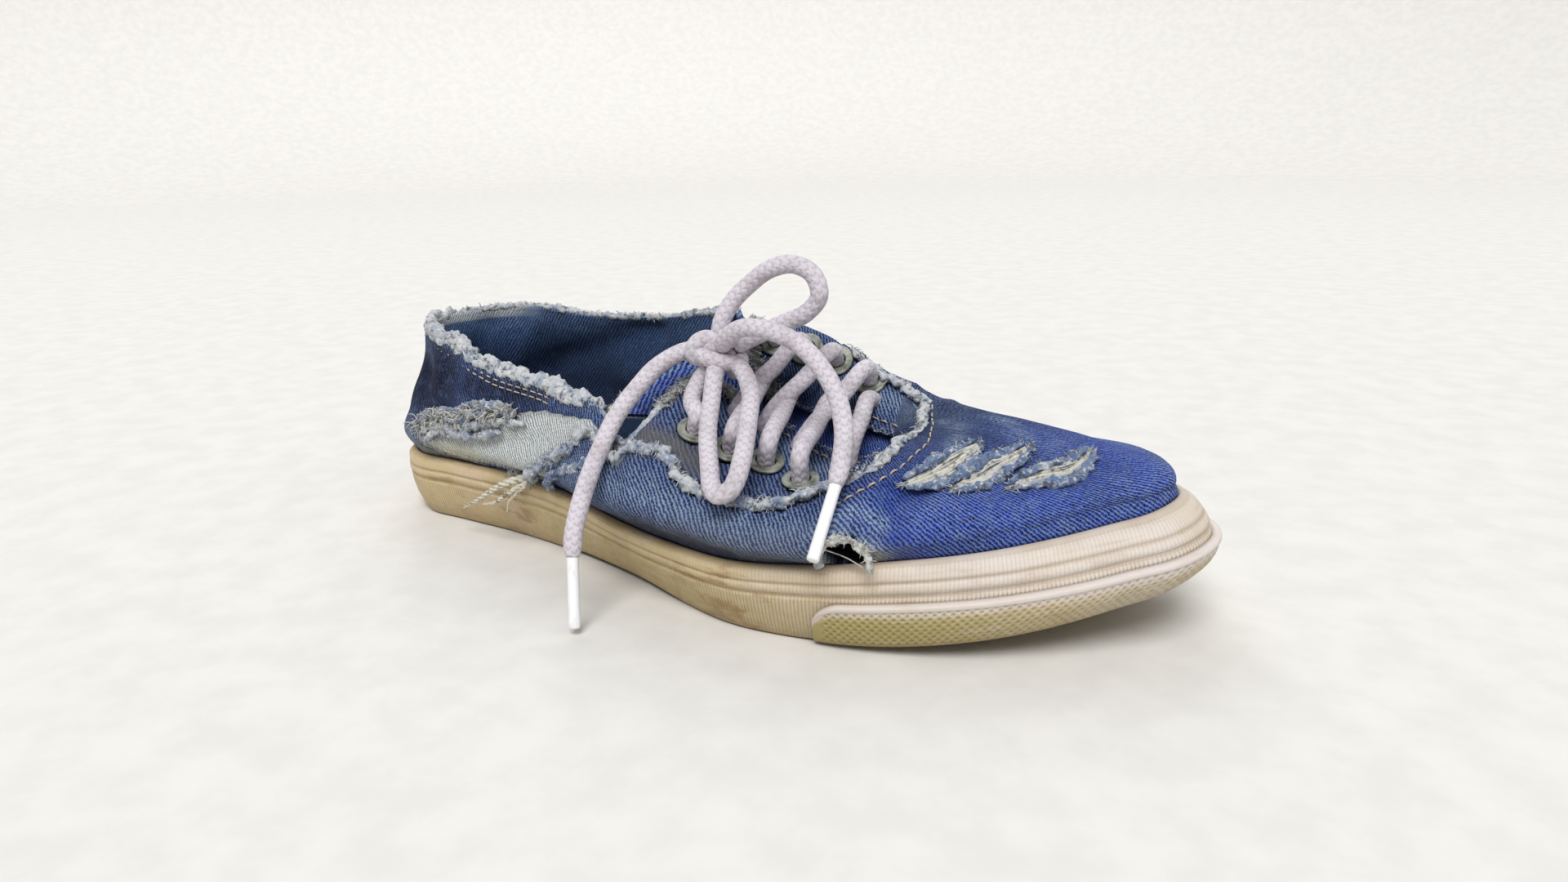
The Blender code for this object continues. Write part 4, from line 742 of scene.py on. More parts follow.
def skin(turns, rows, lift):
    """Points of the shell's base face at each rib and row, moved out by lift along the face."""
    ribs = sections(turns)
    points = np.stack([along(ribs[i], rows[i]) for i in range(len(turns))])
    nudge = 0.05
    higher = np.stack([along(ribs[i], np.minimum(rows[i] + nudge, 5)) for i in range(len(turns))])
    lower = np.stack([along(ribs[i], np.maximum(rows[i] - nudge, 0)) for i in range(len(turns))])
    upward = unit(higher - lower)
    onward = np.roll(points, -1, 0) - np.roll(points, 1, 0)
    normal = unit(np.cross(onward, upward))
    lifted = points + normal * lift[..., None]
    lifted[..., 2] = np.where(rows == 0, points[..., 2], lifted[..., 2])
    return lifted, upward


def on_upper(at, across, inner, low=2.0, high=5.0):
    """A point of the shell's base face beside a place along the shoe, with the face's outward normal."""
    turn = float(turn_beside(at, inner))
    places = np.linspace(low, high, 121)
    rib = sections([turn])[0]
    reach = np.linalg.norm(along(rib, places)[:, :2] - spine_at(np.array([turn])), axis=1)
    order = np.argsort(reach)
    row = float(np.interp(across * BALL_WIDTH, reach[order], places[order]))
    nudge = 0.03
    near = sections([turn - nudge, turn + nudge])
    onward = along(near[1], row)[0] - along(near[0], row)[0]
    upward = along(rib, row + nudge)[0] - along(rib, row - nudge)[0]
    normal = np.cross(onward, upward)
    return Vector(along(rib, row)[0]), Vector(normal / np.linalg.norm(normal))


def facing(point, normal):
    """A frame whose Z is the normal and whose X lies as near the shoe's length as it can."""
    z = normal.normalized()
    x = (Vector((1, 0, 0)) - z * z.x).normalized()
    return Matrix.Translation(point) @ Matrix((x, z.cross(x), z)).transposed().to_4x4()


def eyelet_places():
    for number, row in enumerate(EYELETS, 1):
        yield f"side_{number}", *on_upper(row.at, row.side, False)
        yield f"inner_{number}", *on_upper(row.at, row.inner, True)


def ceiling(x, y):
    """The underside of the eyestays over a place, or of a straight line across the open throat."""
    turn = 1 + x / THROAT[0]
    middle = spine_at(np.array([turn]))[0, 1]
    places = np.linspace(2.6, 5.0, 40)
    ends = []
    for inner in (False, True):
        rib = along(sections([6 - turn if inner else turn])[0], places)
        ends.append(rib)
        reach = (rib[:, 1] - middle) * (1 if inner else -1)
        asked = (y - middle) * (1 if inner else -1)
        if asked >= reach[-1] - 1.5 * MM:
            order = np.argsort(reach)
            slope = np.gradient(rib[order, 2], reach[order])
            steep = np.hypot(1, np.interp(asked, reach[order], slope))
            under = np.interp(asked, reach[order], rib[order, 2])
            return under - (WALL + TONGUE_CLEARANCE) * steep
    near, far = ends[0][-1], ends[1][-1]
    share = (y - near[1]) / (far[1] - near[1])
    return near[2] + (far[2] - near[2]) * share - WALL - TONGUE_CLEARANCE - TONGUE_DROOP * 4 * share * (1 - share)


def out_of_eyelet(point, normal):
    """The first two places of a cord that leaves an eyelet's mouth, in millimetres."""
    foot = point + normal * (EYELET_LIFT + EYELET_LIP + MOUTH_ROOM)
    return tuple(foot / MM), tuple((foot + normal * STRAIGHT_RUN) / MM)


# ---- Materials ----

def node(tree, kind, inputs=None, **settings):
    """Adds a node with its own settings; inputs gives each socket a value or another node's output."""
    made = tree.nodes.new(kind)
    for name, value in settings.items():
        setattr(made, name, value)
    for key, value in (inputs or {}).items():
        socket = made.inputs[key]
        if isinstance(value, bpy.types.NodeSocket):
            tree.links.new(value, socket)
        else:
            socket.default_value = value
    return made


def new_material(name, roughness, **uniform):
    """An empty material of one Principled shader, with the values that are the same all over it."""
    made = bpy.data.materials.new(name)
    made.use_nodes = True
    shader = made.node_tree.nodes["Principled BSDF"]
    shader.inputs["Roughness"].default_value = roughness
    for key, value in uniform.items():
        shader.inputs[key.replace("_", " ")].default_value = value
    return made, made.node_tree, shader


def rgba(value):
    return (*value, 1.0)


def blend_of(tree, share, first, second):
    """One colour over another by a share: each is a colour or an output."""
    mix = node(tree, "ShaderNodeMix", {0: share}, data_type="RGBA")
    for socket, value in ((mix.inputs[6], first), (mix.inputs[7], second)):
        if isinstance(value, bpy.types.NodeSocket):
            tree.links.new(value, socket)
        else:
            socket.default_value = rgba(value)
    return mix.outputs[2]


def laid_over(tree, value, low, high, most, under, colour):
    """Lays a colour over another as a value goes from low to high, up to this share."""
    return blend_of(tree, ranged(tree, value, low, high, 0.0, most), under, colour)


def maths(tree, operation, *values):
    return node(tree, "ShaderNodeMath", dict(enumerate(values)), operation=operation).outputs[0]


def ranged(tree, value, low, high, to_low=0.0, to_high=1.0):
    inputs = {0: value, 1: low, 2: high, 3: to_low, 4: to_high}
    return node(tree, "ShaderNodeMapRange", inputs, interpolation_type="SMOOTHSTEP").outputs[0]


def cloud(tree, where, scale, detail=3.0, rough=0.55):
    inputs = {"Vector": where, "Scale": scale, "Detail": detail, "Roughness": rough}
    return node(tree, "ShaderNodeTexNoise", inputs).outputs[0]


def field(tree, name):
    return node(tree, "ShaderNodeAttribute", attribute_name=name).outputs["Fac"]


def stretched(tree, where, x, y, z=1.0):
    return node(tree, "ShaderNodeVectorMath", {0: where, 1: (x, y, z)}, operation="MULTIPLY").outputs[0]


def wave_along(tree, where, direction, pitch, shift=0.0):
    """A wave of 0 to 1 across a direction, one period in each pitch; shift is in periods."""
    dot = node(tree, "ShaderNodeVectorMath", {0: where, 1: direction}, operation="DOT_PRODUCT").outputs["Value"]
    periods = maths(tree, "ADD", maths(tree, "DIVIDE", dot, pitch), shift)
    return maths(tree, "MULTIPLY_ADD", maths(tree, "SINE", maths(tree, "MULTIPLY", periods, tau)), 0.5, 0.5)


def bump(tree, shader, height, distance, strength=1.0, under=None):
    inputs = {"Height": height, "Distance": distance, "Strength": strength}
    if under is not None:
        inputs["Normal"] = under
    made = node(tree, "ShaderNodeBump", inputs).outputs[0]
    tree.links.new(made, shader.inputs["Normal"])
    return made


def twill(tree, uv, pitch):
    """The height of a twill weave: diagonal ridges of short floats, uneven as slubby yarn is."""
    slub = cloud(tree, stretched(tree, uv, 0.5, 0.5), 1.0, 5.0, 0.7)
    ridge = wave_along(tree, uv, (0.80, 0.60, 0), pitch, maths(tree, "MULTIPLY", slub, 1.7))
    floats = wave_along(tree, uv, (-0.35, 0.94, 0), pitch * 0.9, maths(tree, "MULTIPLY", slub, 3.4))
    return maths(tree, "MULTIPLY", ridge, maths(tree, "MULTIPLY_ADD", floats, 0.55, 0.45)), slub


def washed_denim(name, cloth):
    """Indigo cotton twill, woven then washed and worn: its dyed ridges fade first and let the undyed weft show."""
    # Rough cotton with a little fuzz: no gloss, a soft sheen at grazing angles.
    made, tree, shader = new_material(name, 0.92, Sheen_Weight=0.05, Sheen_Roughness=0.6, Specular_IOR_Level=0.15)
    place = node(tree, "ShaderNodeTexCoord")
    uv, here = place.outputs["UV"], place.outputs["Object"]
    weave, slub = twill(tree, uv, TWILL_PITCH_MM)
    patch = cloud(tree, here, 55.0, 4.0)
    fine = cloud(tree, here, 260.0, 3.0)
    streak = cloud(tree, stretched(tree, uv, 1.1, 0.10), 1.0, 3.0)
    # The ground colour: darker where less worn, brighter over the toe, mottled by the wash.
    ground = blend_of(tree, ranged(tree, field(tree, "indigo"), 0.05, 0.9), cloth.denim, cloth.indigo)
    ground = blend_of(tree, ranged(tree, field(tree, "bright"), 0.05, 0.95), ground, cloth.bright)
    ground = laid_over(tree, patch, 0.35, 0.75, 0.35, ground, cloth.indigo)
    ground = laid_over(tree, fine, 0.45, 0.8, 0.35, ground, cloth.washed)
    # Wear: pale where marked, more along streaks of the warp.
    worn = maths(tree, "ADD", field(tree, "pale"), maths(tree, "MULTIPLY_ADD", streak, 0.5, -0.27))
    worn = maths(tree, "MULTIPLY", worn, maths(tree, "MULTIPLY_ADD", fine, 0.9, 0.45))
    ground = laid_over(tree, worn, 0.0, 0.9, 0.8, ground, cloth.washed)
    speck = cloud(tree, stretched(tree, uv, 1.0, 0.45), 1.6, 2.0, 0.8)
    ground = laid_over(tree, speck, 0.56, 0.72, 0.45, ground, cloth.washed)
    ground = laid_over(tree, speck, 0.50, 0.36, 1.0, ground, cloth.indigo)
    ground = laid_over(tree, weave, 0.60, 1.0, 0.50, ground, cloth.indigo)
    # The weft shows in the valleys of the twill, and most where the cloth is worn.
    valley = ranged(tree, weave, 0.50, 0.10)
    showing = maths(tree, "MULTIPLY_ADD", worn, 0.75, 0.29)
    showing = maths(tree, "MULTIPLY_ADD", field(tree, "indigo"), -0.26, showing)
    ground = blend_of(tree, maths(tree, "MULTIPLY", valley, showing), ground, cloth.weft)
    # Inside the shoe: the lining's colour, kept dark partly as painted shade inside the shoe.
    ground = blend_of(tree, maths(tree, "MULTIPLY", field(tree, "lining"), 0.55), ground, cloth.lining)
    soil = maths(tree, "MULTIPLY", field(tree, "grey"), maths(tree, "MULTIPLY_ADD", fine, 0.8, 0.5))
    ground = laid_over(tree, soil, 0.0, 0.9, 0.85, ground, cloth.grey)
    # Bare base cloth: cream, with blue-grey lines between its ridges.
    ridge_line = laid_over(tree, weave, 0.50, 0.10, 0.95, cloth.cream, linear("7c8ba2"))
    bare = maths(tree, "MULTIPLY", field(tree, "cream"), maths(tree, "MULTIPLY_ADD", patch, 0.9, 0.62))
    ground = blend_of(tree, ranged(tree, bare, 0.25, 0.8), ground, ridge_line)
    yellowed = maths(tree, "MULTIPLY", field(tree, "yellow"), fine)
    ground = blend_of(tree, yellowed, ground, linear("cfc698"))
    shade = maths(tree, "MULTIPLY_ADD", field(tree, "shade"), -0.75, 1.0)
    final = node(tree, "ShaderNodeVectorMath", {0: ground, "Scale": shade}, operation="SCALE").outputs[0]
    tree.links.new(final, shader.inputs["Base Color"])
    soft = bump(tree, shader, cloud(tree, here, 180.0, 4.0), 0.0009, 0.5)
    bump(tree, shader, maths(tree, "ADD", weave, maths(tree, "MULTIPLY", slub, 0.4)), 0.00032, 0.9, soft)
    return made


def frayed_yarn(name, cloth):
    """Spun cotton yarn pulled out of the weave: soiled, mixed cream, grey and blue from yarn to yarn."""
    made, tree, shader = new_material(name, 0.95, Sheen_Weight=0.15, Sheen_Roughness=0.7, Specular_IOR_Level=0.15)
    here = node(tree, "ShaderNodeTexCoord").outputs["Object"]
    mottle = cloud(tree, here, 420.0, 4.0)
    share = maths(tree, "ADD", field(tree, "blue"), maths(tree, "MULTIPLY_ADD", mottle, 0.9, -0.45))
    ground = blend_of(tree, ranged(tree, share, 0.15, 0.95), cloth.fray, cloth.fray_blue)
    ground = blend_of(tree, ranged(tree, cloud(tree, here, 700.0, 3.0), 0.5, 0.7, 0.0, 0.75), ground, linear("dedad0"))
    ground = blend_of(tree, maths(tree, "MULTIPLY", field(tree, "bare"), 0.9), ground, linear("dcd6c0"))
    dark = maths(tree, "MULTIPLY_ADD", ranged(tree, cloud(tree, here, 520.0, 3.0), 0.50, 0.32), -0.6, 1.0)
    final = node(tree, "ShaderNodeVectorMath", {0: ground, "Scale": dark}, operation="SCALE").outputs[0]
    tree.links.new(final, shader.inputs["Base Color"])
    bump(tree, shader, cloud(tree, here, 1500.0, 4.0), 0.0006, 0.9)
    return made


def topstitch_thread(name, cloth):
    """Corespun sewing thread: tan, with the faint gloss of polyester and a tight twist."""
    made, tree, shader = new_material(name, 0.6, Specular_IOR_Level=0.4)
    here = node(tree, "ShaderNodeTexCoord").outputs["Object"]
    mottle = cloud(tree, here, 900.0, 3.0)
    ground = blend_of(tree, ranged(tree, mottle, 0.3, 0.7), cloth.tan, linear("cdbca4"))
    tree.links.new(ground, shader.inputs["Base Color"])
    bump(tree, shader, mottle, 0.0003, 0.8)
    return made


def vulcanised_rubber(name, rubber, ribbed):
    """Vulcanised natural rubber, calendered into a band: satin when new, here yellowed and rubbed dull."""
    made, tree, shader = new_material(name, 0.58, Specular_IOR_Level=0.45)
    place = node(tree, "ShaderNodeTexCoord")
    uv, here = place.outputs["UV"], place.outputs["Object"]
    patch = cloud(tree, here, 38.0, 4.0)
    fine = cloud(tree, here, 420.0, 4.0)
    run = cloud(tree, stretched(tree, uv, 0.05, 0.7), 1.0, 4.0)
    aged = maths(tree, "ADD", field(tree, "aged"), maths(tree, "MULTIPLY_ADD", patch, 0.7, -0.35))
    ground = blend_of(tree, ranged(tree, aged, 0.0, 1.0), rubber.clean, rubber.aged)
    pink = laid_over(tree, patch, 0.5, 0.75, 0.35, ground, linear("d9c3bd"))
    # Olive soiling, heavier low down: partly real soiling, partly painted shade near the floor.
    low = maths(tree, "ADD", field(tree, "olive"), maths(tree, "MULTIPLY_ADD", fine, 0.5, -0.25))
    ground = laid_over(tree, low, 0.15, 0.95, 0.85, pink, rubber.olive)
    smear = cloud(tree, stretched(tree, here, 90.0, 90.0, 240.0), 1.0, 5.0)
    spots = maths(tree, "MULTIPLY", field(tree, "stain"), ranged(tree, smear, 0.50, 0.68))
    ground = blend_of(tree, maths(tree, "MULTIPLY", spots, 0.45), ground, rubber.stain)
    ground = laid_over(tree, run, 0.55, 0.75, 0.18, ground, rubber.stain)
    ground = laid_over(tree, run, 0.45, 0.28, 0.35, ground, rubber.clean)
    # Painted shade: darker in the band's grooves, in the bumper's pressed lozenges, inside the band's top lip and along
    # the foot by the floor.
    ground = blend_of(tree, maths(tree, "MULTIPLY", field(tree, "crevice_shade"), 0.55), ground, linear("9a8467"))
    relief = maths(tree, "MULTIPLY", fine, 0.5)
    if ribbed:
        rib = wave_along(tree, uv, (1, 0, 0), RIB_PITCH_MM)
        mask = field(tree, "ribbed")
        # Painted shade: darker in the valleys between the ribs.
        valley = maths(tree, "MULTIPLY", ranged(tree, rib, 0.45, 0.0), maths(tree, "MULTIPLY", mask, 0.55))
        ground = blend_of(tree, valley, ground, linear("9c8660"))
        relief = maths(tree, "ADD", relief, maths(tree, "MULTIPLY", rib, mask))
    tree.links.new(ground, shader.inputs["Base Color"])
    tree.links.new(ranged(tree, fine, 0.3, 0.7, 0.5, 0.72), shader.inputs["Roughness"])
    bump(tree, shader, relief, 0.00022, 0.8)
    return made


def tread_rubber(name, rubber):
    """Moulded gum rubber underfoot: a waffle of small lozenges, scuffed through to a matt skin."""
    made, tree, shader = new_material(name, 0.75, Specular_IOR_Level=0.35)
    here = node(tree, "ShaderNodeTexCoord").outputs["Object"]
    pitch = 0.0062
    waves = [wave_along(tree, here, (0.5, y, 0), pitch) for y in (0.866, -0.866)]
    waffle = maths(tree, "MINIMUM", *waves)
    patch, fine = cloud(tree, here, 30.0, 4.0), cloud(tree, here, 500.0, 4.0)
    # Painted shade in the grooves between the lozenges.
    ground = laid_over(tree, waffle, 0.25, 0.02, 0.75, rubber.tread, linear("5b4d35"))
    ground = laid_over(tree, patch, 0.45, 0.7, 0.5, ground, linear("7a6a4c"))
    ground = laid_over(tree, fine, 0.5, 0.7, 0.3, ground, linear("4e4433"))
    tree.links.new(ground, shader.inputs["Base Color"])
    relief = maths(tree, "ADD", ranged(tree, waffle, 0.02, 0.3), maths(tree, "MULTIPLY", fine, 0.2))
    bump(tree, shader, relief, 0.0011)
    return made


def footbed_cloth(name, rubber):
    """Plain-woven cotton over foam, pressed smooth and grey by the foot."""
    made, tree, shader = new_material(name, 0.94, Sheen_Weight=0.1, Sheen_Roughness=0.6, Specular_IOR_Level=0.2)
    here = node(tree, "ShaderNodeTexCoord").outputs["Object"]
    # Threads every 0.9 mm, about twice the real spacing, so that they show.
    pitch = 0.0009
    cross = maths(tree, "MAXIMUM", *(wave_along(tree, here, way, pitch) for way in ((1, 0, 0), (0, 1, 0))))
    patch, fine = cloud(tree, here, 26.0, 4.0), cloud(tree, here, 500.0, 3.0)
    ground = blend_of(tree, ranged(tree, patch, 0.35, 0.7), rubber.footbed, linear("4a463f"))
    ground = laid_over(tree, fine, 0.45, 0.75, 0.4, ground, linear("96917f"))
    tree.links.new(ground, shader.inputs["Base Color"])
    bump(tree, shader, cross, 0.00015, 0.8)
    return made


def woven_lace(name, lace):
    """Round braided cotton lace: two sets of strands over and under each other, dulled by handling."""
    made, tree, shader = new_material(name, 0.85, Sheen_Weight=0.12, Sheen_Roughness=0.5, Specular_IOR_Level=0.25)
    place = node(tree, "ShaderNodeTexCoord")
    uv, here = place.outputs["UV"], place.outputs["Object"]
    # uv.x goes once round the lace in each unit, uv.y along it in millimetres.
    rise = wave_along(tree, uv, (4.0, 1 / LACE_BRAID_MM, 0), 1.0)
    fall = wave_along(tree, uv, (-4.0, 1 / LACE_BRAID_MM, 0), 1.0)
    swap = wave_along(tree, uv, (8.0, 0.0, 0), 1.0)
    over = ranged(tree, swap, 0.35, 0.65)
    first = maths(tree, "MULTIPLY", rise, over)
    second = maths(tree, "MULTIPLY", fall, maths(tree, "SUBTRACT", 1.0, over))
    braid = maths(tree, "ADD", first, second)
    patch, fine = cloud(tree, here, 120.0, 4.0), cloud(tree, here, 900.0, 3.0)
    ground = laid_over(tree, patch, 0.42, 0.75, 0.65, lace.cotton, lace.soiled)
    # Painted shade between the braid's strands, where its height is low.
    ground = laid_over(tree, braid, 0.40, 0.05, 0.32, ground, linear("8d8587"))
    ground = laid_over(tree, fine, 0.5, 0.8, 0.3, ground, linear("e6e2e6"))
    tree.links.new(ground, shader.inputs["Base Color"])
    bump(tree, shader, maths(tree, "ADD", braid, maths(tree, "MULTIPLY", fine, 0.4)), 0.00022, 0.8)
    return made


def shrunk_plastic(name, lace):
    """Heat-shrunk cellulose film round the lace's end: white, smooth, lightly scratched."""
    made, tree, shader = new_material(name, 0.35, Specular_IOR_Level=0.5)
    here = node(tree, "ShaderNodeTexCoord").outputs["Object"]
    scratch = cloud(tree, stretched(tree, here, 900.0, 900.0, 90.0), 1.0, 3.0)
    ground = laid_over(tree, scratch, 0.55, 0.75, 0.5, lace.tip, linear("cfccc8"))
    tree.links.new(ground, shader.inputs["Base Color"])
    tree.links.new(ranged(tree, scratch, 0.4, 0.7, 0.28, 0.55), shader.inputs["Roughness"])
    bump(tree, shader, scratch, 0.0001, 0.5)
    return made


def tarnished_brass(name, lace):
    """Zinc-plated brass, stamped and rolled: the plating has gone dull and olive, brighter where the lace rubs."""
    made, tree, shader = new_material(name, 0.55)
    here = node(tree, "ShaderNodeTexCoord").outputs["Object"]
    patch, fine = cloud(tree, here, 300.0, 4.0), cloud(tree, here, 1600.0, 3.0)
    ground = blend_of(tree, ranged(tree, patch, 0.35, 0.7), lace.metal, linear("6f7268"))
    ground = laid_over(tree, fine, 0.55, 0.8, 0.4, ground, linear("b6b09b"))
    tree.links.new(ground, shader.inputs["Base Color"])
    tree.links.new(ranged(tree, patch, 0.3, 0.7, 0.38, 0.62), shader.inputs["Roughness"])
    # The film of tarnish and grime hides the metal, and the lace has rubbed it through in places.
    tree.links.new(ranged(tree, patch, 0.35, 0.75, 0.05, 0.75), shader.inputs["Metallic"])
    bump(tree, shader, fine, 0.0002, 0.4)
    return made


def studio_paper(name):
    """Matt seamless paper: a pale neutral with a faint grain."""
    made, tree, shader = new_material(name, 0.9, Specular_IOR_Level=0.2)
    here = node(tree, "ShaderNodeTexCoord").outputs["Object"]
    grain = cloud(tree, here, 60.0, 3.0)
    ground = blend_of(tree, ranged(tree, grain, 0.3, 0.7), linear("d8d6d2"), linear("dedcd8"))
    tree.links.new(ground, shader.inputs["Base Color"])
    return made


FINISHES = {
    "outer_denim": lambda s: washed_denim("washed_indigo_twill", s.sneaker_cloth),
    "frayed_yarn": lambda s: frayed_yarn("pulled_cotton_yarn", s.sneaker_cloth),
    "topstitch": lambda s: topstitch_thread("corespun_topstitch_thread", s.sneaker_cloth),
    "rubber": lambda s: vulcanised_rubber("vulcanised_rubber_band", s.sneaker_rubber, True),
    "bumper_rubber": lambda s: vulcanised_rubber("vulcanised_rubber_bumper", s.sneaker_rubber, False),
    "sole_rubber": lambda s: tread_rubber("moulded_gum_rubber", s.sneaker_rubber),
    "insole_cloth": lambda s: footbed_cloth("pressed_cotton_footbed", s.sneaker_rubber),
    "eyelet_metal": lambda s: tarnished_brass("tarnished_plated_brass", s.sneaker_lace),
    "lace_cotton": lambda s: woven_lace("braided_cotton_lace", s.sneaker_lace),
    "tip_plastic": lambda s: shrunk_plastic("heat_shrunk_film", s.sneaker_lace),
    "paper": lambda s: studio_paper("matt_seamless_paper"),
}
MADE = {}


def finish_of(name):
    """The named finish, made once from the scene's settings."""
    if name not in MADE:
        MADE[name] = FINISHES[name](bpy.context.scene)
    return MADE[name]


# ---- Making pieces ----

def piece(name, points, faces, finish, node_names=(), uv=None, fields=None, smooth=True):
    """A mesh piece that rides on the shoe, stands for the solids named, and carries its cloth coordinates."""
    mesh = bpy.data.meshes.new(name)
    mesh.from_pydata(np.asarray(points, float).tolist(), [], [tuple(int(v) for v in f) for f in faces])
    mesh.materials.append(finish_of(finish))
    if uv is not None:
        mesh.uv_layers.new(name="cloth").data.foreach_set("uv", np.asarray(uv, float).ravel())
    for key, values in (fields or {}).items():
        made = mesh.attributes.new(key, "FLOAT", "POINT")
        made.data.foreach_set("value", np.asarray(values, float).ravel())
    if smooth:
        mesh.shade_smooth()
    mesh.update()
    obj = bpy.data.objects.new(name, mesh)
    bpy.context.scene.collection.objects.link(obj)
    if node_names:
        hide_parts(*node_names)
    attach(obj, "root")
    return obj


def lookup():
    """Points of the base cloth on a fine grid of turns and rows, with the way out and the way up at each."""
    turns = np.arange(LOOKUP_TURNS) * 6 / LOOKUP_TURNS
    rows = np.tile(np.linspace(0, 5, LOOKUP_ROWS), (LOOKUP_TURNS, 1))
    points, upward = skin(turns, rows, np.zeros_like(rows))
    onward = np.roll(points, -1, 0) - np.roll(points, 1, 0)
    return points, unit(np.cross(onward, upward)), upward


BASE_POINTS, BASE_NORMALS, BASE_UPWARD = lookup()


def on_cloth(turn, row, lift=0.0):
    """Points on the cloth at turns and rows, lifted off its base face, with the way out and the way up there."""
    turn = np.atleast_1d(np.asarray(turn, float)) % 6 * LOOKUP_TURNS / 6
    row = np.clip(np.atleast_1d(np.asarray(row, float)) / 5 * (LOOKUP_ROWS - 1), 0, LOOKUP_ROWS - 1)
    i, j = np.floor(turn).astype(int), np.minimum(np.floor(row).astype(int), LOOKUP_ROWS - 2)
    s, t = (turn - i)[:, None], (row - j)[:, None]
    i, k = i % LOOKUP_TURNS, (i + 1) % LOOKUP_TURNS
    found = [
        (1 - s) * ((1 - t) * grid[i, j] + t * grid[i, j + 1]) + s * ((1 - t) * grid[k, j] + t * grid[k, j + 1])
        for grid in (BASE_POINTS, BASE_NORMALS, BASE_UPWARD)
    ]
    point, normal, upward = found
    normal = unit(normal)
    return point + normal * np.reshape(lift, (-1, 1)), normal, upward


def path_on_cloth(path, spacing=1.0, lift=0.0):
    """Even places along a smooth path of turns and rows: their turns and rows, points, way out and way on."""
    where = np.linspace(0, len(path) - 1, 40 * len(path))
    turn, row = along(path, where).T
    points = on_cloth(turn, row)[0]
    run = run_along(points)
    count = max(3, int(run[-1] / (spacing * MM)) + 1)
    even = np.linspace(0, run[-1], count)
    turn, row = np.interp(even, run, turn), np.interp(even, run, row)
    points, normal, _ = on_cloth(turn, row, lift * MM)
    return np.column_stack((turn, row)), points, normal, unit(np.gradient(points, axis=0))


def distance_to(points, line):
    """How far each point lies from the nearest point of a line."""
    near = np.full(len(points), 1.0)
    for place in line:
        near = np.minimum(near, np.linalg.norm(points - place, axis=1))
    return near


def rough(points, size_mm, seed):
    """Smooth noise from -1 to 1 at points, with lumps of about this size."""
    shift = Vector((seed * 7.31, seed * 3.17, seed * 5.71))
    return np.array([noise.noise(Vector(p) / (size_mm * MM) + shift) for p in points])


def ragged(places, seed, size):
    """An uneven edge: sums of waves of seeded phase, from -1 to 1, at places in turns."""
    rng = np.random.default_rng(seed)
    total = np.zeros_like(places)
    for octave, weight in enumerate((0.5, 0.3, 0.2)):
        turns_round = round(size * 2**octave)
        total += weight * np.sin(tau * (turns_round * places / 6 + rng.random()) + 2 * np.sin(tau * places / 6 * 5))
    return total


def folded(points, normals):
    """Moves points of the cloth out and in along its folds."""
    shift = np.zeros(len(points))
    for fold in FOLDS:
        line = path_on_cloth(fold.path, 2.5)[1]
        near = distance_to(points, line)
        shift += FOLD_SWELL * fold.high * MM * bell(near, fold.wide * MM)
    return points + normals * shift[:, None]


def shell_rows(turns):
    """The shell's rows at each turn with their lift off the base, and how bare the base cloth is at each."""
    read = {name: round_the_shoe(SIDE_LAYERS, INNER_LAYERS, name, turns) for name in Layer._fields[1:]}
    vamp_top = read["vamp_top"] + 0.07 * ragged(turns, 1, 150)
    quarter_low = np.minimum(read["quarter_low"] + 0.05 * ragged(turns, 2, 120), 4.9)
    torn, quarter, roll = read["torn"], read["quarter"], read["roll"]
    whole = np.ones_like(turns)
    rows, lift, bare = [], [], []
    for share in np.concatenate(([0, 0.08, 0.16], np.linspace(0.22, 1, VAMP_ROWS - 3))):
        rows.append((vamp_top - STEP_WIDTH) * share)
        near_edge = bell(1 - share, 0.05)
        lift.append(OVERLAY * whole + 0.5 * MM * near_edge * torn)
        bare.append(0 * whole)
    for share in np.linspace(0, 1, STRIP_ROWS):
        rows.append(vamp_top + STEP_WIDTH + (quarter_low - vamp_top - 2 * STEP_WIDTH) * share)
        lift.append(OVERLAY * (1 - torn))
        bare.append(torn)
    for share in np.linspace(0, 1, QUARTER_ROWS):
        rows.append(quarter_low + STEP_WIDTH + (5 - quarter_low - STEP_WIDTH) * share)
        swell = float(np.clip((share - 0.55) / 0.3, 0, 1))
        lift.append(OVERLAY * quarter + FRAY_ROLL * 0.6 * swell * roll)
        bare.append(0 * whole)
    return np.stack(rows, 1), np.stack(lift, 1), np.stack(bare, 1), roll


def holes():
    """Frames, half widths and half heights of the holes through the shell."""
    for _, point, normal in eyelet_places():
        yield facing(point, normal), EYELET_HOLE / 2, EYELET_HOLE / 2
    point, normal = on_upper(0.738, 0.508, False, 1.4, 3.0)
    yield facing(point, normal) @ Matrix.Translation(Vector(TORN_MOVED) * MM), TORN_LONG / 2, TORN_HIGH / 2


def open_holes(outer, inner):
    """Snaps the cloth round each hole to its rim, and says which points lie inside."""
    inside = np.zeros(outer.shape[:2], bool)
    for number, (hole, half_x, half_y) in enumerate(holes()):
        back = np.array(hole.inverted())
        local = outer @ back[:3, :3].T + back[:3, 3]
        angle = np.arctan2(local[..., 1], local[..., 0])
        uneven = 1 + (0.10 * np.sin(5 * angle + 1) + 0.07 * np.sin(11 * angle)) * (number == TORN_HOLE)
        reach = np.hypot(local[..., 0] / half_x, local[..., 1] / half_y) / uneven
        close = np.abs(local[..., 2]) < 9 * MM
        rim = close & (reach > 0.86) & (reach < 1.16)
        inside |= close & (reach <= 0.86)
        forward = np.array(hole)[:3, :3]
        pull = (1 / reach[rim] - 1)[:, None] * local[rim][:, :2]
        move = pull @ forward[:, :2].T
        outer[rim] += move
        inner[rim] += move
    return inside


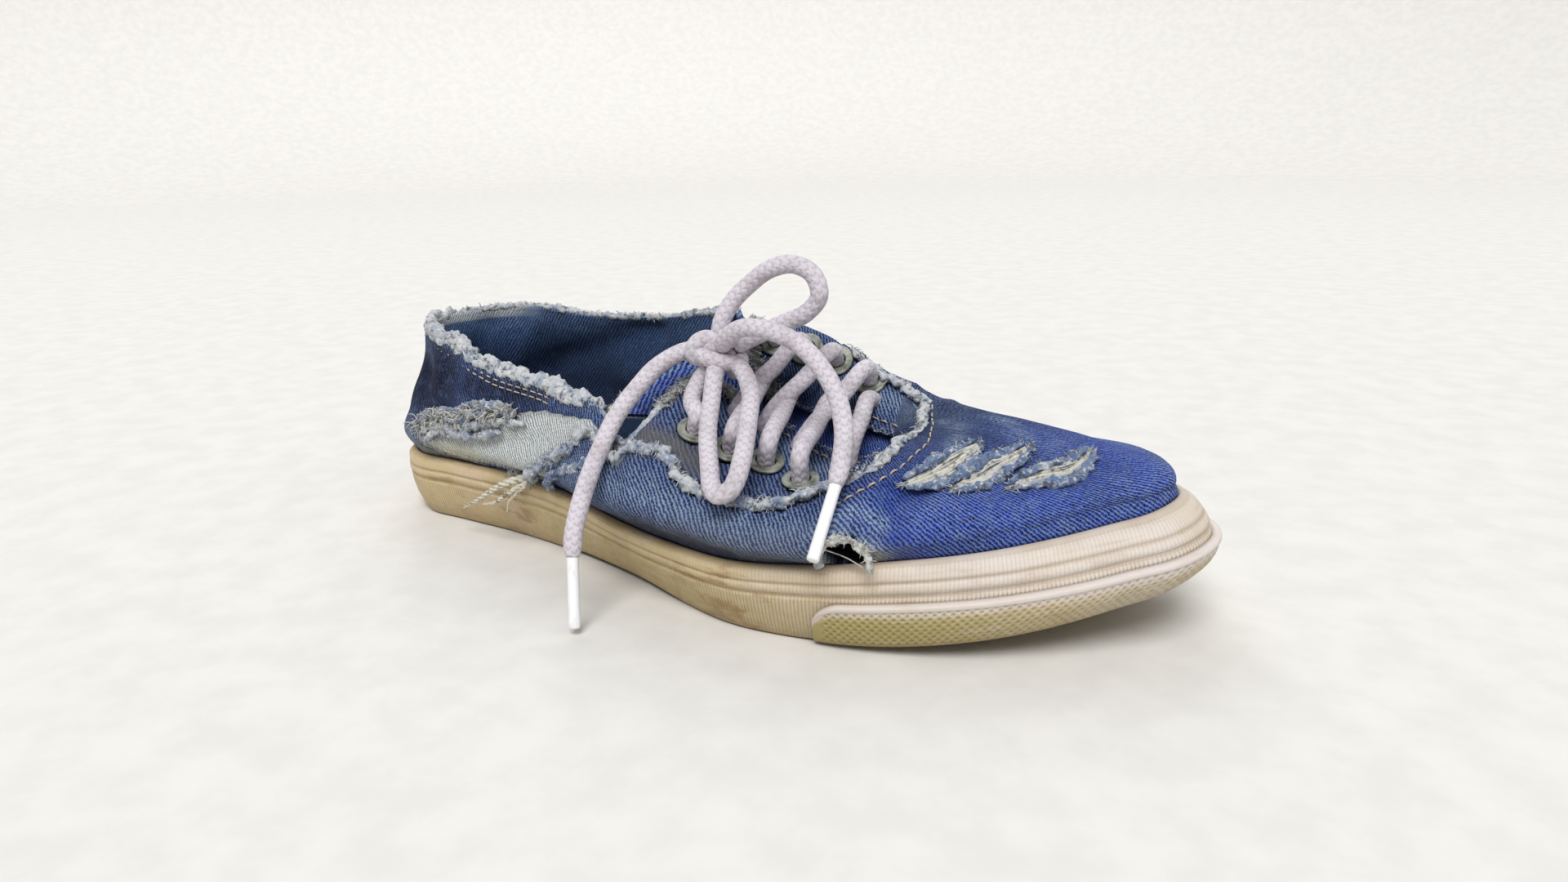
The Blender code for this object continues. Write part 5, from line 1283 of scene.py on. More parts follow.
def marked(points):
    """The marks on the cloth at each point, by kind."""
    fields = {kind: np.zeros(len(points)) for kind in ("pale", "grey", "indigo", "bright", "yellow", "shade")}
    for mark in MARKS:
        near = distance_to(points, path_on_cloth(mark.path, 2.5)[1])
        here = mark.strength * bell(near, mark.wide * MM)
        fields[mark.kind] = np.maximum(fields[mark.kind], here)
    return fields


def make_denim_upper():
    """The shell: an outer and an inner skin, folded, drawn in over the band and open at its holes."""
    turns = np.arange(SHELL_TURNS) * 6 / SHELL_TURNS
    rows, lift, bare, roll = shell_rows(turns)
    outer, _ = skin(turns, rows, lift)
    inner, _ = skin(turns, rows, np.full_like(lift, -WALL))
    count, high = rows.shape
    flat_turns, row = np.repeat(turns, high), rows.ravel()
    _, normals, _ = on_cloth(flat_turns, row)
    before = outer.reshape(-1, 3).copy()
    moved = folded(before, normals)
    level = np.clip((row - 0.9) / 0.5, 0, 1)[:, None]
    level = level * np.clip((5.0 - row) / 0.4, 0.25, 1)[:, None]
    shift = (moved - before) * level
    shift += normals * (0.25 * MM * rough(before, 9, 3) * level[:, 0])[:, None]
    # The cloth is drawn in over the band, most at the toe.
    toe = bell(flat_turns - 3.0, 0.55)
    drawn_in = bell(row - 1.90, 0.55) * np.clip((row - 1.0) / 0.4, 0, 1)
    shift -= normals * ((DRAWN_IN + DRAWN_IN_TOE * toe) * drawn_in)[:, None]
    outer = (before + shift).reshape(outer.shape)
    inner = inner + shift.reshape(inner.shape)
    inside = open_holes(outer, inner)
    band_top = BASE_POINTS[:, (LOOKUP_ROWS - 1) // 5]
    around = np.interp(np.arange(count + 1) * 6 / count, np.arange(LOOKUP_TURNS + 1) * 6 / LOOKUP_TURNS,
                       run_round(band_top) / MM)
    up = np.cumsum(np.linalg.norm(np.diff(outer, axis=1, prepend=outer[:, :1]), axis=2), axis=1) / MM
    corner = inside[:, :-1] | inside[:, 1:]
    kept = ~(corner | np.roll(corner, -1, 0))
    faces, uv = shell_faces(kept, around, up)
    points = np.concatenate((outer.reshape(-1, 3), inner.reshape(-1, 3)))
    # The outer skin: bare where the layer over it is torn off, pale at the worn top edge.
    fields = marked(before)
    ease_in = ease(flat_turns, 0.68, 0.80) * (1 - ease(flat_turns, 1.50, 1.62))
    fields["cream"] = bare.ravel() * ease_in
    fields["pale"] = np.maximum(fields["pale"], 0.12 * bare.ravel() * (1 - ease_in))
    edge_pale = bell(5 - row, 0.28) * np.repeat(roll, high)
    fields["pale"] = np.maximum(fields["pale"], 0.5 * edge_pale)
    # The inner skin: pale at the top, with its seam, hem and strip, and darker towards the footbed.
    inside_fields = {key: np.zeros_like(values) for key, values in fields.items()}
    top = np.clip((row - 4.2) / 0.6, 0, 1)
    inside_fields["pale"] = 0.40 + 0.60 * top * (1 - ease(flat_turns, 1.0, 1.4) * (1 - ease(flat_turns, 4.2, 5.2)))
    inside_fields["indigo"] = 0.5 * (1 - top)
    back_seam = bell(flat_turns - 5.93, 0.012) * (row > 2.5)
    hem_line = 0.8 * bell(row - 4.42, 0.07) * ease(flat_turns, 4.4, 4.8)
    inside_fields["pale"] = np.maximum(inside_fields["pale"], np.maximum(back_seam, hem_line))
    strip = np.clip((row - 4.62) / 0.12, 0, 1) * (ease(flat_turns, 4.5, 5.6) + 1 - ease(flat_turns, 0.2, 0.5))
    inside_fields["cream"] = 0.62 * strip
    inside_fields["shade"] = 0.75 * (1 - np.clip((row - 2.0) / 2.2, 0, 1))
    fields = {key: np.concatenate((values, inside_fields[key])) for key, values in fields.items()}
    fields["lining"] = np.concatenate((np.zeros(count * high), np.ones(count * high)))
    used = np.unique(np.array([v for f in faces for v in f]))
    fresh = np.full(len(points), -1)
    fresh[used] = np.arange(len(used))
    faces = [tuple(fresh[list(f)]) for f in faces]
    fields = {key: values[used] for key, values in fields.items()}
    return piece("denim_upper", points[used], faces, "outer_denim", ("upper",), uv, fields)


def shell_faces(kept, around, up):
    """Quads of both skins of the shell over its kept cells, and of the walls that join them at every border."""
    count, cells = kept.shape
    high = cells + 1
    faces, uv = [], []
    skin_size = count * high

    def corner(i, j, side):
        return side * skin_size + i % count * high + j, (around[i], up[i % count, j])

    def add(*corners):
        made = [corner(*c) for c in corners]
        faces.append(tuple(v for v, _ in made))
        uv.extend(place for _, place in made)

    for i in range(count):
        for j in range(high):
            here = j < cells and kept[i, j]
            if here:
                add((i, j, 0), (i + 1, j, 0), (i + 1, j + 1, 0), (i, j + 1, 0))
                add((i, j, 1), (i, j + 1, 1), (i + 1, j + 1, 1), (i + 1, j, 1))
            below = j > 0 and kept[i, j - 1]
            if here and not below:
                add((i + 1, j, 0), (i, j, 0), (i, j, 1), (i + 1, j, 1))
            elif below and not here:
                add((i, j, 0), (i + 1, j, 0), (i + 1, j, 1), (i, j, 1))
            before = j < cells and kept[i - 1, j]
            if here and not before:
                add((i, j, 0), (i, j + 1, 0), (i, j + 1, 1), (i, j, 1))
            elif before and j < cells and not here:
                add((i, j + 1, 0), (i, j, 0), (i, j, 1), (i, j + 1, 1))
    return faces, uv


def ring_faces(count, rows, closed=True):
    """Quads between neighbouring sections, each a closed loop of this many rows of points."""
    faces = []
    for i in range(count if closed else count - 1):
        a, b = i * rows, (i + 1) % count * rows
        faces += [(a + j, b + j, b + (j + 1) % rows, a + (j + 1) % rows) for j in range(rows)]
    return faces


def ring_uv(run, up):
    """The cloth coordinates of those quads: how far along each section lies, and how far up each point."""
    rows, uv = up.shape[1], []
    for i in range(len(run) - 1):
        for j in range(rows):
            low, high = up[i, j], up[i, (j + 1) % rows]
            uv += [(run[i], low), (run[i + 1], low), (run[i + 1], high), (run[i], high)]
    return uv


def tube_mesh(points, radius, sides, shape=None):
    """Points, quads and cloth coordinates of a closed round tube; shape scales its radius at each point and side."""
    points = np.asarray(points, float)
    onward = unit(np.gradient(points, axis=0))
    across = np.cross(onward[0], (0.3, 0.2, 1.0))
    frames = []
    for way in onward:
        across = across - way * np.dot(across, way)
        across /= np.linalg.norm(across)
        frames.append((across, np.cross(way, across)))
    angles = tau * np.arange(sides) / sides
    ring = np.stack([np.outer(np.cos(angles), a) + np.outer(np.sin(angles), b) for a, b in frames])
    width = np.broadcast_to(np.reshape(radius, (-1, 1)), (len(points), sides))
    if shape is not None:
        width = width * shape
    placed = points[:, None] + ring * width[..., None]
    run = run_along(points) / MM
    faces, uv = [], []
    for i in range(len(points) - 1):
        for k in range(sides):
            n = (k + 1) % sides
            faces.append((i * sides + k, i * sides + n, (i + 1) * sides + n, (i + 1) * sides + k))
            left, right = k / sides, (k + 1) / sides
            uv += [(left, run[i]), (right, run[i]), (right, run[i + 1]), (left, run[i + 1])]
    last = (len(points) - 1) * sides
    faces += [tuple(range(sides - 1, -1, -1)), tuple(last + k for k in range(sides))]
    uv += [(k / sides, 0.0) for k in range(sides)] * 2
    return placed.reshape(-1, 3), faces, uv


class Heap:
    """Gathers meshes that end up in one piece."""

    def __init__(self):
        self.points, self.faces, self.uv, self.count, self.fields = [], [], [], 0, {}

    def add(self, points, faces, uv=(), **fields):
        self.points.append(points)
        self.faces += [tuple(v + self.count for v in f) for f in faces]
        self.uv += list(uv)
        self.count += len(points)
        for key, values in fields.items():
            self.fields.setdefault(key, []).append(np.broadcast_to(np.asarray(values, float), (len(points),)))

    def piece(self, name, finish, node_names=(), slot=None):
        fields = {key: np.concatenate(values) for key, values in self.fields.items()}
        return piece(name, np.concatenate(self.points), self.faces, finish, node_names, self.uv or None, fields)

    def fray_piece(self, name):
        """The heap as frayed yarns."""
        return self.piece(name, "frayed_yarn", slot="outer_denim")


def add_strands(heap, roots, ways, lengths, width, rng, droop=0.5, blue=0.4, bare=0.0):
    """Loose yarns: thin three-sided tubes that leave their roots, curl and hang."""
    parts = 6
    t = np.linspace(0, 1, parts)[:, None]
    for root, way, length in zip(roots, ways, lengths):
        way = way / np.linalg.norm(way)
        curl = rng.normal(size=3)
        bend = curl - way * np.dot(curl, way)
        bend /= np.linalg.norm(bend)
        other = np.cross(way, bend)
        wave = rng.uniform(1.5, 4.0)
        line = root + way * length * t + bend * length * rng.uniform(0.15, 0.5) * t**2
        line = line + other * length * 0.10 * np.sin(wave * 2 * t + rng.uniform(0, 6))
        line[:, 2] -= droop * length * t[:, 0] ** 2 * 0.6
        thin = width / 2 * rng.uniform(0.7, 1.25) * (1 - 0.6 * t[:, 0] ** 2)
        points, faces, _ = tube_mesh(line, thin, 3)
        heap.add(points, faces, blue=np.clip(blue + rng.normal() * 0.28, 0, 1), bare=bare)


def add_rope(heap, line, normal, radius, seed, blue=0.4, bare=0.0, lumps=3.0, squash=0.8, ruffle=0.6):
    """A rolled, crumpled torn edge: a lumpy tube whose ruffles come from noise along and round it."""
    sides = 16
    places, faces, _ = tube_mesh(line, radius, sides)
    centre = np.repeat(line, sides, axis=0)
    out = np.repeat(normal, sides, axis=0)
    swell = 1 + ruffle * rough(places, lumps, seed) + 0.7 * ruffle * rough(places, lumps * 0.40, seed + 3)
    swell = np.maximum(swell, 0.25)
    arm = (places - centre) * swell[:, None]
    arm -= out * (np.sum(arm * out, axis=1) * (1 - squash))[:, None]
    whole = rough(centre, lumps * 1.6, seed + 5) * np.repeat(np.broadcast_to(radius, (len(line),)), sides)
    tint = np.clip(blue + 0.5 * rough(centre, 5.0, seed + 9), 0, 1)
    heap.add(centre + arm + out * (0.8 * ruffle * whole)[:, None], faces, blue=tint, bare=bare)


def cloth_settings():
    return bpy.context.scene.sneaker_cloth


def strand_count(line, share=1.0):
    length = np.sum(np.linalg.norm(np.diff(line, axis=0), axis=1))
    return int(length * 100 * cloth_settings().strands_per_cm * share)


def fringe(heap, path, lift, long, rng, side=1.0, share=1.0, droop=0.5, blue=0.4, spread=0.7, bare=0.0, wide=None):
    """Yarns along a path of the cloth; side says how far they point across the path, to its right or left."""
    _, line, normal, onward = path_on_cloth(path, 0.5, lift)
    pick = rng.integers(0, len(line), strand_count(line, share))
    across = np.cross(onward[pick], normal[pick]) * side
    ways = across + normal[pick] * rng.uniform(-0.1, 0.9, (len(pick), 1)) * 0.8
    ways += rng.normal(size=(len(pick), 3)) * spread * 0.5
    roots = line[pick] + rng.normal(size=(len(pick), 3)) * 0.5 * MM
    lengths = rng.uniform(0.4, 1.0, len(pick)) * long * MM
    add_strands(heap, roots, ways, lengths, wide or cloth_settings().strand_width, rng, droop, blue, bare)


def rope_along(heap, path, lift, radius, seed, **options):
    _, line, normal, _ = path_on_cloth(path, 0.7, lift)
    run = np.linspace(0, 1, len(line))
    taper = np.minimum(1, np.minimum(run, 1 - run) * len(line) / 6 + 0.35)
    add_rope(heap, line, normal, radius * MM * taper, seed, **options)


def make_collar_frays():
    """The torn top line: a thick crumpled roll on the outer side, a thin one on the inner side."""
    rng = np.random.default_rng(11)
    near = tuple((t, 5.0) for t in np.linspace(-0.12, 1.50, 18))
    corner = ((1.50, 5.0), (1.545, 4.96), (1.59, 4.9), (1.64, 4.95), (1.68, 4.98))
    far = tuple((t, 5.0) for t in np.linspace(4.42, 5.90, 16))
    heap = Heap()
    rope_along(heap, near, 0.6, 2.4, 21, blue=0.30, lumps=4.6, ruffle=0.95)
    under = tuple((t, 4.86) for t in np.linspace(-0.10, 1.46, 18))
    rope_along(heap, under, 1.4, 1.6, 23, blue=0.40, lumps=3.6, ruffle=0.9)
    fringe(heap, near, 1.6, 2.6, rng, -1, 0.16, 0.3, 0.25, 1.2)
    fringe(heap, near, 1.6, 2.8, rng, 1, 0.2, 0.9, 0.3, 1.0)
    rope_along(heap, corner, 0.3, 1.2, 25, blue=0.5)
    heap.fray_piece("collar_fray_outer")
    heap = Heap()
    rope_along(heap, far, -0.8, 1.25, 31, blue=0.35, lumps=3.0)
    fringe(heap, far, -0.5, 2.4, rng, -1, 0.6, 0.4, 0.4, 1.0)
    for start, end, radius in ((4.46, 4.62, 2.1), (4.9, 5.02, 1.7), (5.33, 5.40, 2.0)):
        rope_along(heap, tuple((t, 4.97) for t in np.linspace(start, end, 5)), 0.2, radius, int(start * 20), blue=0.35)
    heap.fray_piece("collar_fray_inner")


def make_rip_frays():
    """The bundle of pulled yarns along the rip's upper edge, and the ragged edge of the vamp piece."""
    rng = np.random.default_rng(12)
    heap = Heap()
    bundle = RIP_EDGE
    rope_along(heap, bundle, 1.6, 1.9, 41, blue=0.62, lumps=3.2, ruffle=1.0)
    for number, (shift, sink) in enumerate(((0.03, -0.20), (0.06, -0.42), (-0.02, 0.14))):
        strip = tuple((t + shift, r + sink) for t, r in bundle[: 5 - number % 2])
        rope_along(heap, strip, 1.5, 1.35, 43 + number, blue=0.35 + 0.15 * number, lumps=2.6, ruffle=1.0)
    thick = cloth_settings().strand_width * 1.5
    for side, long, share, droop in ((-1, 7.0, 0.6, 0.7), (1, 4.5, 0.5, 0.2)):
        fringe(heap, bundle, 2.4, long, rng, side, share, droop, 0.30, 0.9, 0.45, thick)
    fringe(heap, bundle, 2.0, 4.0, rng, -1, 0.5, 0.5, 0.45, 1.0, 0.2)
    fringe(heap, ((0.76, 2.44), (0.82, 2.55)), 1.4, 6.0, rng, 1, 1.5, 0.1, 0.3, 0.8, 0.3, thick)
    heap.fray_piece("rip_fray")
    heap = Heap()
    rope_along(heap, VAMP_EDGE_SIDE, 1.9, 1.8, 51, blue=0.45, lumps=2.8, ruffle=0.9)
    within = tuple((t + 0.045, r - 0.25) for t, r in VAMP_EDGE_SIDE[:5])
    rope_along(heap, within, 1.7, 1.5, 52, blue=0.75, lumps=2.2, ruffle=0.9)
    fringe(heap, VAMP_EDGE_SIDE, 2.2, 3.0, rng, -1, 0.5, 0.2, 0.3, 0.9, 0.2)
    fringe(heap, VAMP_EDGE_SIDE, 2.2, 2.6, rng, 1, 0.5, 0.8, 0.4, 0.9)
    heap.fray_piece("vamp_fray_side")
    heap = Heap()
    rope_along(heap, VAMP_EDGE_TOE, 1.7, 1.6, 53, blue=0.4, lumps=2.6, ruffle=0.9)
    fringe(heap, VAMP_EDGE_TOE, 2.0, 2.8, rng, -1, 0.5, 0.2, 0.35, 0.9)
    fringe(heap, VAMP_EDGE_TOE, 2.0, 2.2, rng, 1, 0.4, 0.5, 0.4, 0.9)
    heap.fray_piece("vamp_fray_toe")


def make_thread_tails():
    """Twisted tails of yarn that hang from the vamp's corner over the rubber band."""
    heap = Heap()
    routes = (
        (((44, -32.5, 27), (36, -37.5, 24.5), (28, -37.8, 20), (19, -36.8, 14.5), (11, -35.4, 10.5)), 1.7, 0.2),
        (((44, -33, 25.5), (38, -38.4, 21.5), (31, -38.8, 17), (24, -37.8, 14.8)), 1.2, 0.3),
        (((46, -34, 26), (43, -39.4, 22.5), (40, -40.6, 19), (39, -40.8, 15.5)), 0.7, 0.6),
    )
    for route, radius, blue in routes:
        line = along(np.array(route) * MM, np.linspace(0, len(route) - 1, 60))
        run = np.linspace(0, 1, 60)
        for k in range(3):
            angle = tau * (k / 3 + run * 4.5)
            way = unit(np.gradient(line, axis=0))
            side = unit(np.cross(way, (0, 0, 1)))
            over = np.cross(way, side)
            offset = (side * np.cos(angle)[:, None] + over * np.sin(angle)[:, None]) * 0.5 * radius * MM
            thin = radius * MM * 0.5 * (1 - 0.75 * run)
            points, faces, _ = tube_mesh(line + offset * (1 - 0.6 * run)[:, None], thin, 8)
            heap.add(points, faces, blue=blue * 0.4, bare=0.85)
    heap.fray_piece("thread_tails")


def make_gashes():
    """The three gashes over the toe: bare weft yarns side by side, between two crumpled lips."""
    rng = np.random.default_rng(13)
    heap = Heap()
    width = cloth_settings().strand_width
    for number, gash in enumerate(GASHES):
        _, line, normal, onward = path_on_cloth(gash.path, 0.8, 0.9)
        across = np.cross(onward, normal)
        run = np.linspace(0, 1, len(line))
        bow = np.sin(tau / 2 * run)[:, None]
        for k in np.linspace(-1, 1, 13):
            offset = across * (k * gash.gape * 0.72 * MM) * (0.35 + 0.65 * bow)
            lift = normal * (0.75 * MM + 0.45 * MM * np.sin(run * 9 + k * 5)[:, None]) * bow
            lift = lift + normal * rng.uniform(-0.25, 0.35) * MM * bow
            points, faces, _ = tube_mesh(line + offset + lift, width * rng.uniform(0.45, 0.75), 6)
            heap.add(points, faces, blue=rng.uniform(0, 0.7), bare=rng.uniform(0.1, 0.9))
        for side in (-1, 1):
            edge = line + across * (side * gash.gape * 1.15 * MM) * (0.4 + 0.6 * bow) + normal * 1.0 * MM
            taper = 0.4 + 0.6 * bow[:, 0]
            add_rope(heap, edge, normal, 1.6 * MM * taper, 61 + number * 4 + side, blue=0.85, ruffle=1.0)
            pick = rng.integers(0, len(edge), 46)
            ways = across[pick] * side + normal[pick] * rng.uniform(0, 1.2, (len(pick), 1))
            ways += rng.normal(size=(len(pick), 3)) * 0.55
            lengths = rng.uniform(1.0, 2.6, len(pick)) * MM
            add_strands(heap, edge[pick], ways, lengths, width, rng, 0.2, 0.5)
        # A tuft at each end of the gash.
        each = 26
        tuft = np.repeat(line[[0, -1]], each, axis=0)
        ways = np.repeat(np.array((-onward[0], onward[-1])), each, axis=0) + rng.normal(size=(2 * each, 3)) * 0.7
        ways = ways + 0.5 * np.repeat(normal[[0, -1]], each, axis=0)
        add_strands(heap, tuft, ways, rng.uniform(1.2, 3.0, 2 * each) * MM, width, rng, 0.2, 0.4)
    heap.fray_piece("toe_gashes")


def make_hole_frays():
    """Short pale yarns round the little toe's hole, some across it."""
    rng = np.random.default_rng(14)
    heap = Heap()
    hole = list(holes())[TORN_HOLE][0]
    width = cloth_settings().strand_width
    angles = np.linspace(0, tau, 60, endpoint=False)
    rim = np.array([hole @ Vector((np.cos(a) * TORN_LONG * 0.58, np.sin(a) * TORN_HIGH * 0.58, 1.3 * MM))
                    for a in np.linspace(-0.35, tau / 2 + 0.35, 48)])
    out = np.array(hole.to_3x3().col[2])
    add_rope(heap, rim, np.tile(out, (len(rim), 1)), 1.15 * MM, 71, blue=0.35, bare=0.35, lumps=2.0, ruffle=0.9)
    for _ in range(2):
        for a in angles[angles < tau / 2]:
            root = hole @ Vector((np.cos(a) * TORN_LONG * 0.60, np.sin(a) * TORN_HIGH * 0.60, 1.8 * MM))
            way = hole.to_3x3() @ Vector((np.cos(a), np.sin(a), 0.3))
            way = np.array(way) * rng.choice((-0.3, 1.0, 1.0)) + rng.normal(size=3) * 0.5
            add_strands(heap, [np.array(root)], [way], [rng.uniform(1.2, 3.0) * MM], width, rng, 0.3, 0.3, 0.4)
    # One yarn hangs across the hole.
    ends = [hole @ Vector((np.cos(a) * TORN_LONG * 0.5, np.sin(a) * TORN_HIGH * 0.5, 0.4 * MM)) for a in (2.6, 6.0)]
    middle = (ends[0] + ends[1]) / 2 - Vector(out) * 1.2 * MM
    line = along(np.array([ends[0], middle, ends[1]]), np.linspace(0, 2, 16))
    points, faces, _ = tube_mesh(line, width * 0.4, 5)
    heap.add(points, faces, blue=0.2, bare=0.4)
    heap.fray_piece("toe_hole_fray")


def make_stay_frays():
    """Tufts at the eyestays' raw edges and corners, and along the tongue's top."""
    rng = np.random.default_rng(15)
    heap = Heap()
    near_edge = tuple((t, 4.98) for t in np.linspace(1.66, 2.20, 10))
    far_edge = tuple((t, 4.98) for t in np.linspace(4.30, 3.72, 10))
    for path in (near_edge, far_edge):
        fringe(heap, path, 0.2, 1.8, rng, -1, 0.8, 0.5, 0.4, 0.8)
    for path, long, share in ((((1.62, 4.80), (1.66, 4.98), (1.72, 5.0)), 3.6, 4.0),
                              (((4.36, 4.85), (4.31, 4.98), (4.24, 5.0)), 4.2, 4.0),
                              (((4.42, 4.2), (4.36, 4.7), (4.33, 4.95)), 3.2, 3.0)):
        fringe(heap, path, 0.6, long, rng, -1, share, 0.3, 0.3, 1.0, 0.3)
        fringe(heap, path, 0.6, long, rng, 1, share, 0.3, 0.3, 1.0, 0.3)
        rope_along(heap, path, 0.5, 1.1, 81, blue=0.3)
    heap.fray_piece("eyestay_frays")


def make_stitches():
    """Rows of topstitching: the collar's two rows, the seam round the vamp's edge and the eyestays'."""
    settings = cloth_settings()
    step = settings.stitch_length / MM + 0.9
    for name, paths, lift in (("collar_topstitch", (SEAM_COLLAR_LOW, SEAM_COLLAR_HIGH), 1.35),
                              ("vamp_topstitch", (SEAM_TOE,), 1.35),
                              ("eyestay_topstitch", (SEAM_STAY_SIDE, SEAM_STAY_INNER), 0.2)):
        heap = Heap()
        for path in paths:
            places = path_on_cloth(path, step)[0]
            for (turn, row), (turn_on, row_on) in zip(places[:-1], places[1:]):
                share = np.linspace(0.0, 0.76, 7)
                arch = np.array((-0.35, 0.10, 0.32, 0.40, 0.32, 0.10, -0.35)) + lift
                line, normal, _ = on_cloth(turn + (turn_on - turn) * share, row + (row_on - row) * share)
                line = folded(line, normal) + normal * (arch * MM)[:, None]
                thick = 0.29 * MM * np.array((0.6, 0.9, 1, 1, 1, 0.9, 0.6))
                points, faces, _ = tube_mesh(line, thick, 6)
                heap.add(points, faces, blue=0.0)
        heap.piece(name, "topstitch", slot="outer_denim")


def make_cloth_tongue():
    """The tongue, from the same ruled form as its solid, with its worn lip."""
    across, rows = 25, 45
    where = np.linspace(0, len(TONGUE) - 1, across)
    free = along([(r.at * LENGTH - HEEL_SEAT, r.across * BALL_WIDTH, r.up * INSTEP_HEIGHT) for r in TONGUE], where)
    sewn_y = np.interp(where, range(len(TONGUE)), [r.sewn_across * BALL_WIDTH for r in TONGUE])
    sewn_x, under_x = place_x(TONGUE_SEWN_AT), place_x(TONGUE_UNDER_FLAPS)
    tops = []
    for share in np.linspace(0, 1, rows) ** 0.9:
        for start, y_end in zip(free, sewn_y):
            x = start[0] + (sewn_x - start[0]) * share
            y = start[1] + (y_end - start[1]) * share
            if x >= under_x:
                z = ceiling(x, y)
            else:
                y_under = start[1] + (y_end - start[1]) * (under_x - start[0]) / (sewn_x - start[0])
                low = ceiling(under_x, y_under)
                z = low + (start[2] - low) * ((under_x - x) / (under_x - start[0])) ** 0.85
            tops.append((x, y, z))
    tops = np.array(tops)
    grid = tops.reshape(rows, across, 3)
    along_x, along_y = np.gradient(grid, axis=0), np.gradient(grid, axis=1)
    normal = unit(np.cross(along_x, along_y))
    normal *= np.sign(normal[..., 2:3])
    wavy = 0.35 * MM * rough(tops, 9, 5).reshape(rows, across, 1)
    grid = grid + normal * wavy
    under = grid - normal * TONGUE_WALL
    count = rows * across
    faces, uv = [], []
    place = np.stack(np.meshgrid(np.arange(rows) * 1.9, np.arange(across) * 2.0, indexing="ij"), -1).reshape(-1, 2)
    for i in range(rows - 1):
        for j in range(across - 1):
            a, b = i * across + j, (i + 1) * across + j
            faces += [(a, b, b + 1, a + 1), (count + a + 1, count + b + 1, count + b, count + a)]
            uv += [place[v] for v in (a, b, b + 1, a + 1, a + 1, b + 1, b, a)]
    border = list(range(across)) + [i * across + across - 1 for i in range(1, rows)]
    border += [(rows - 1) * across + j for j in range(across - 2, -1, -1)]
    border += [i * across for i in range(rows - 2, 0, -1)]
    for a, b in zip(border, border[1:] + border[:1]):
        faces.append((b, a, count + a, count + b))
        uv += [place[v] for v in (b, a, a, b)]
    points = np.concatenate((grid.reshape(-1, 3), under.reshape(-1, 3)))
    lip = bell(np.repeat(np.arange(rows), across), 1.6)
    zeros = np.zeros(count)
    fields = {
        "bright": np.concatenate((0.75 + zeros, zeros)),
        "pale": np.concatenate((np.maximum(0.12, 0.6 * lip), 0.9 + zeros)),
        "cream": np.concatenate((zeros, 0.55 + zeros)),
    }
    piece("denim_tongue", points, faces, "outer_denim", ("tongue",), uv, fields)
    rng = np.random.default_rng(16)
    heap = Heap()
    edge = along(grid[0], np.linspace(0, across - 1, 90))
    add_rope(heap, edge, np.tile((0, 0, 1.0), (len(edge), 1)), 0.8 * MM, 91, blue=0.2, bare=0.3, lumps=2.4)
    pick = rng.integers(0, len(edge), 240)
    ways = np.tile((-0.6, 0, 0.5), (len(pick), 1)) + rng.normal(size=(len(pick), 3)) * 0.7
    add_strands(heap, edge[pick], ways, rng.uniform(1, 3.2, len(pick)) * MM, cloth_settings().strand_width, rng,
                0.3, 0.25, 0.3)
    heap.fray_piece("tongue_fray")


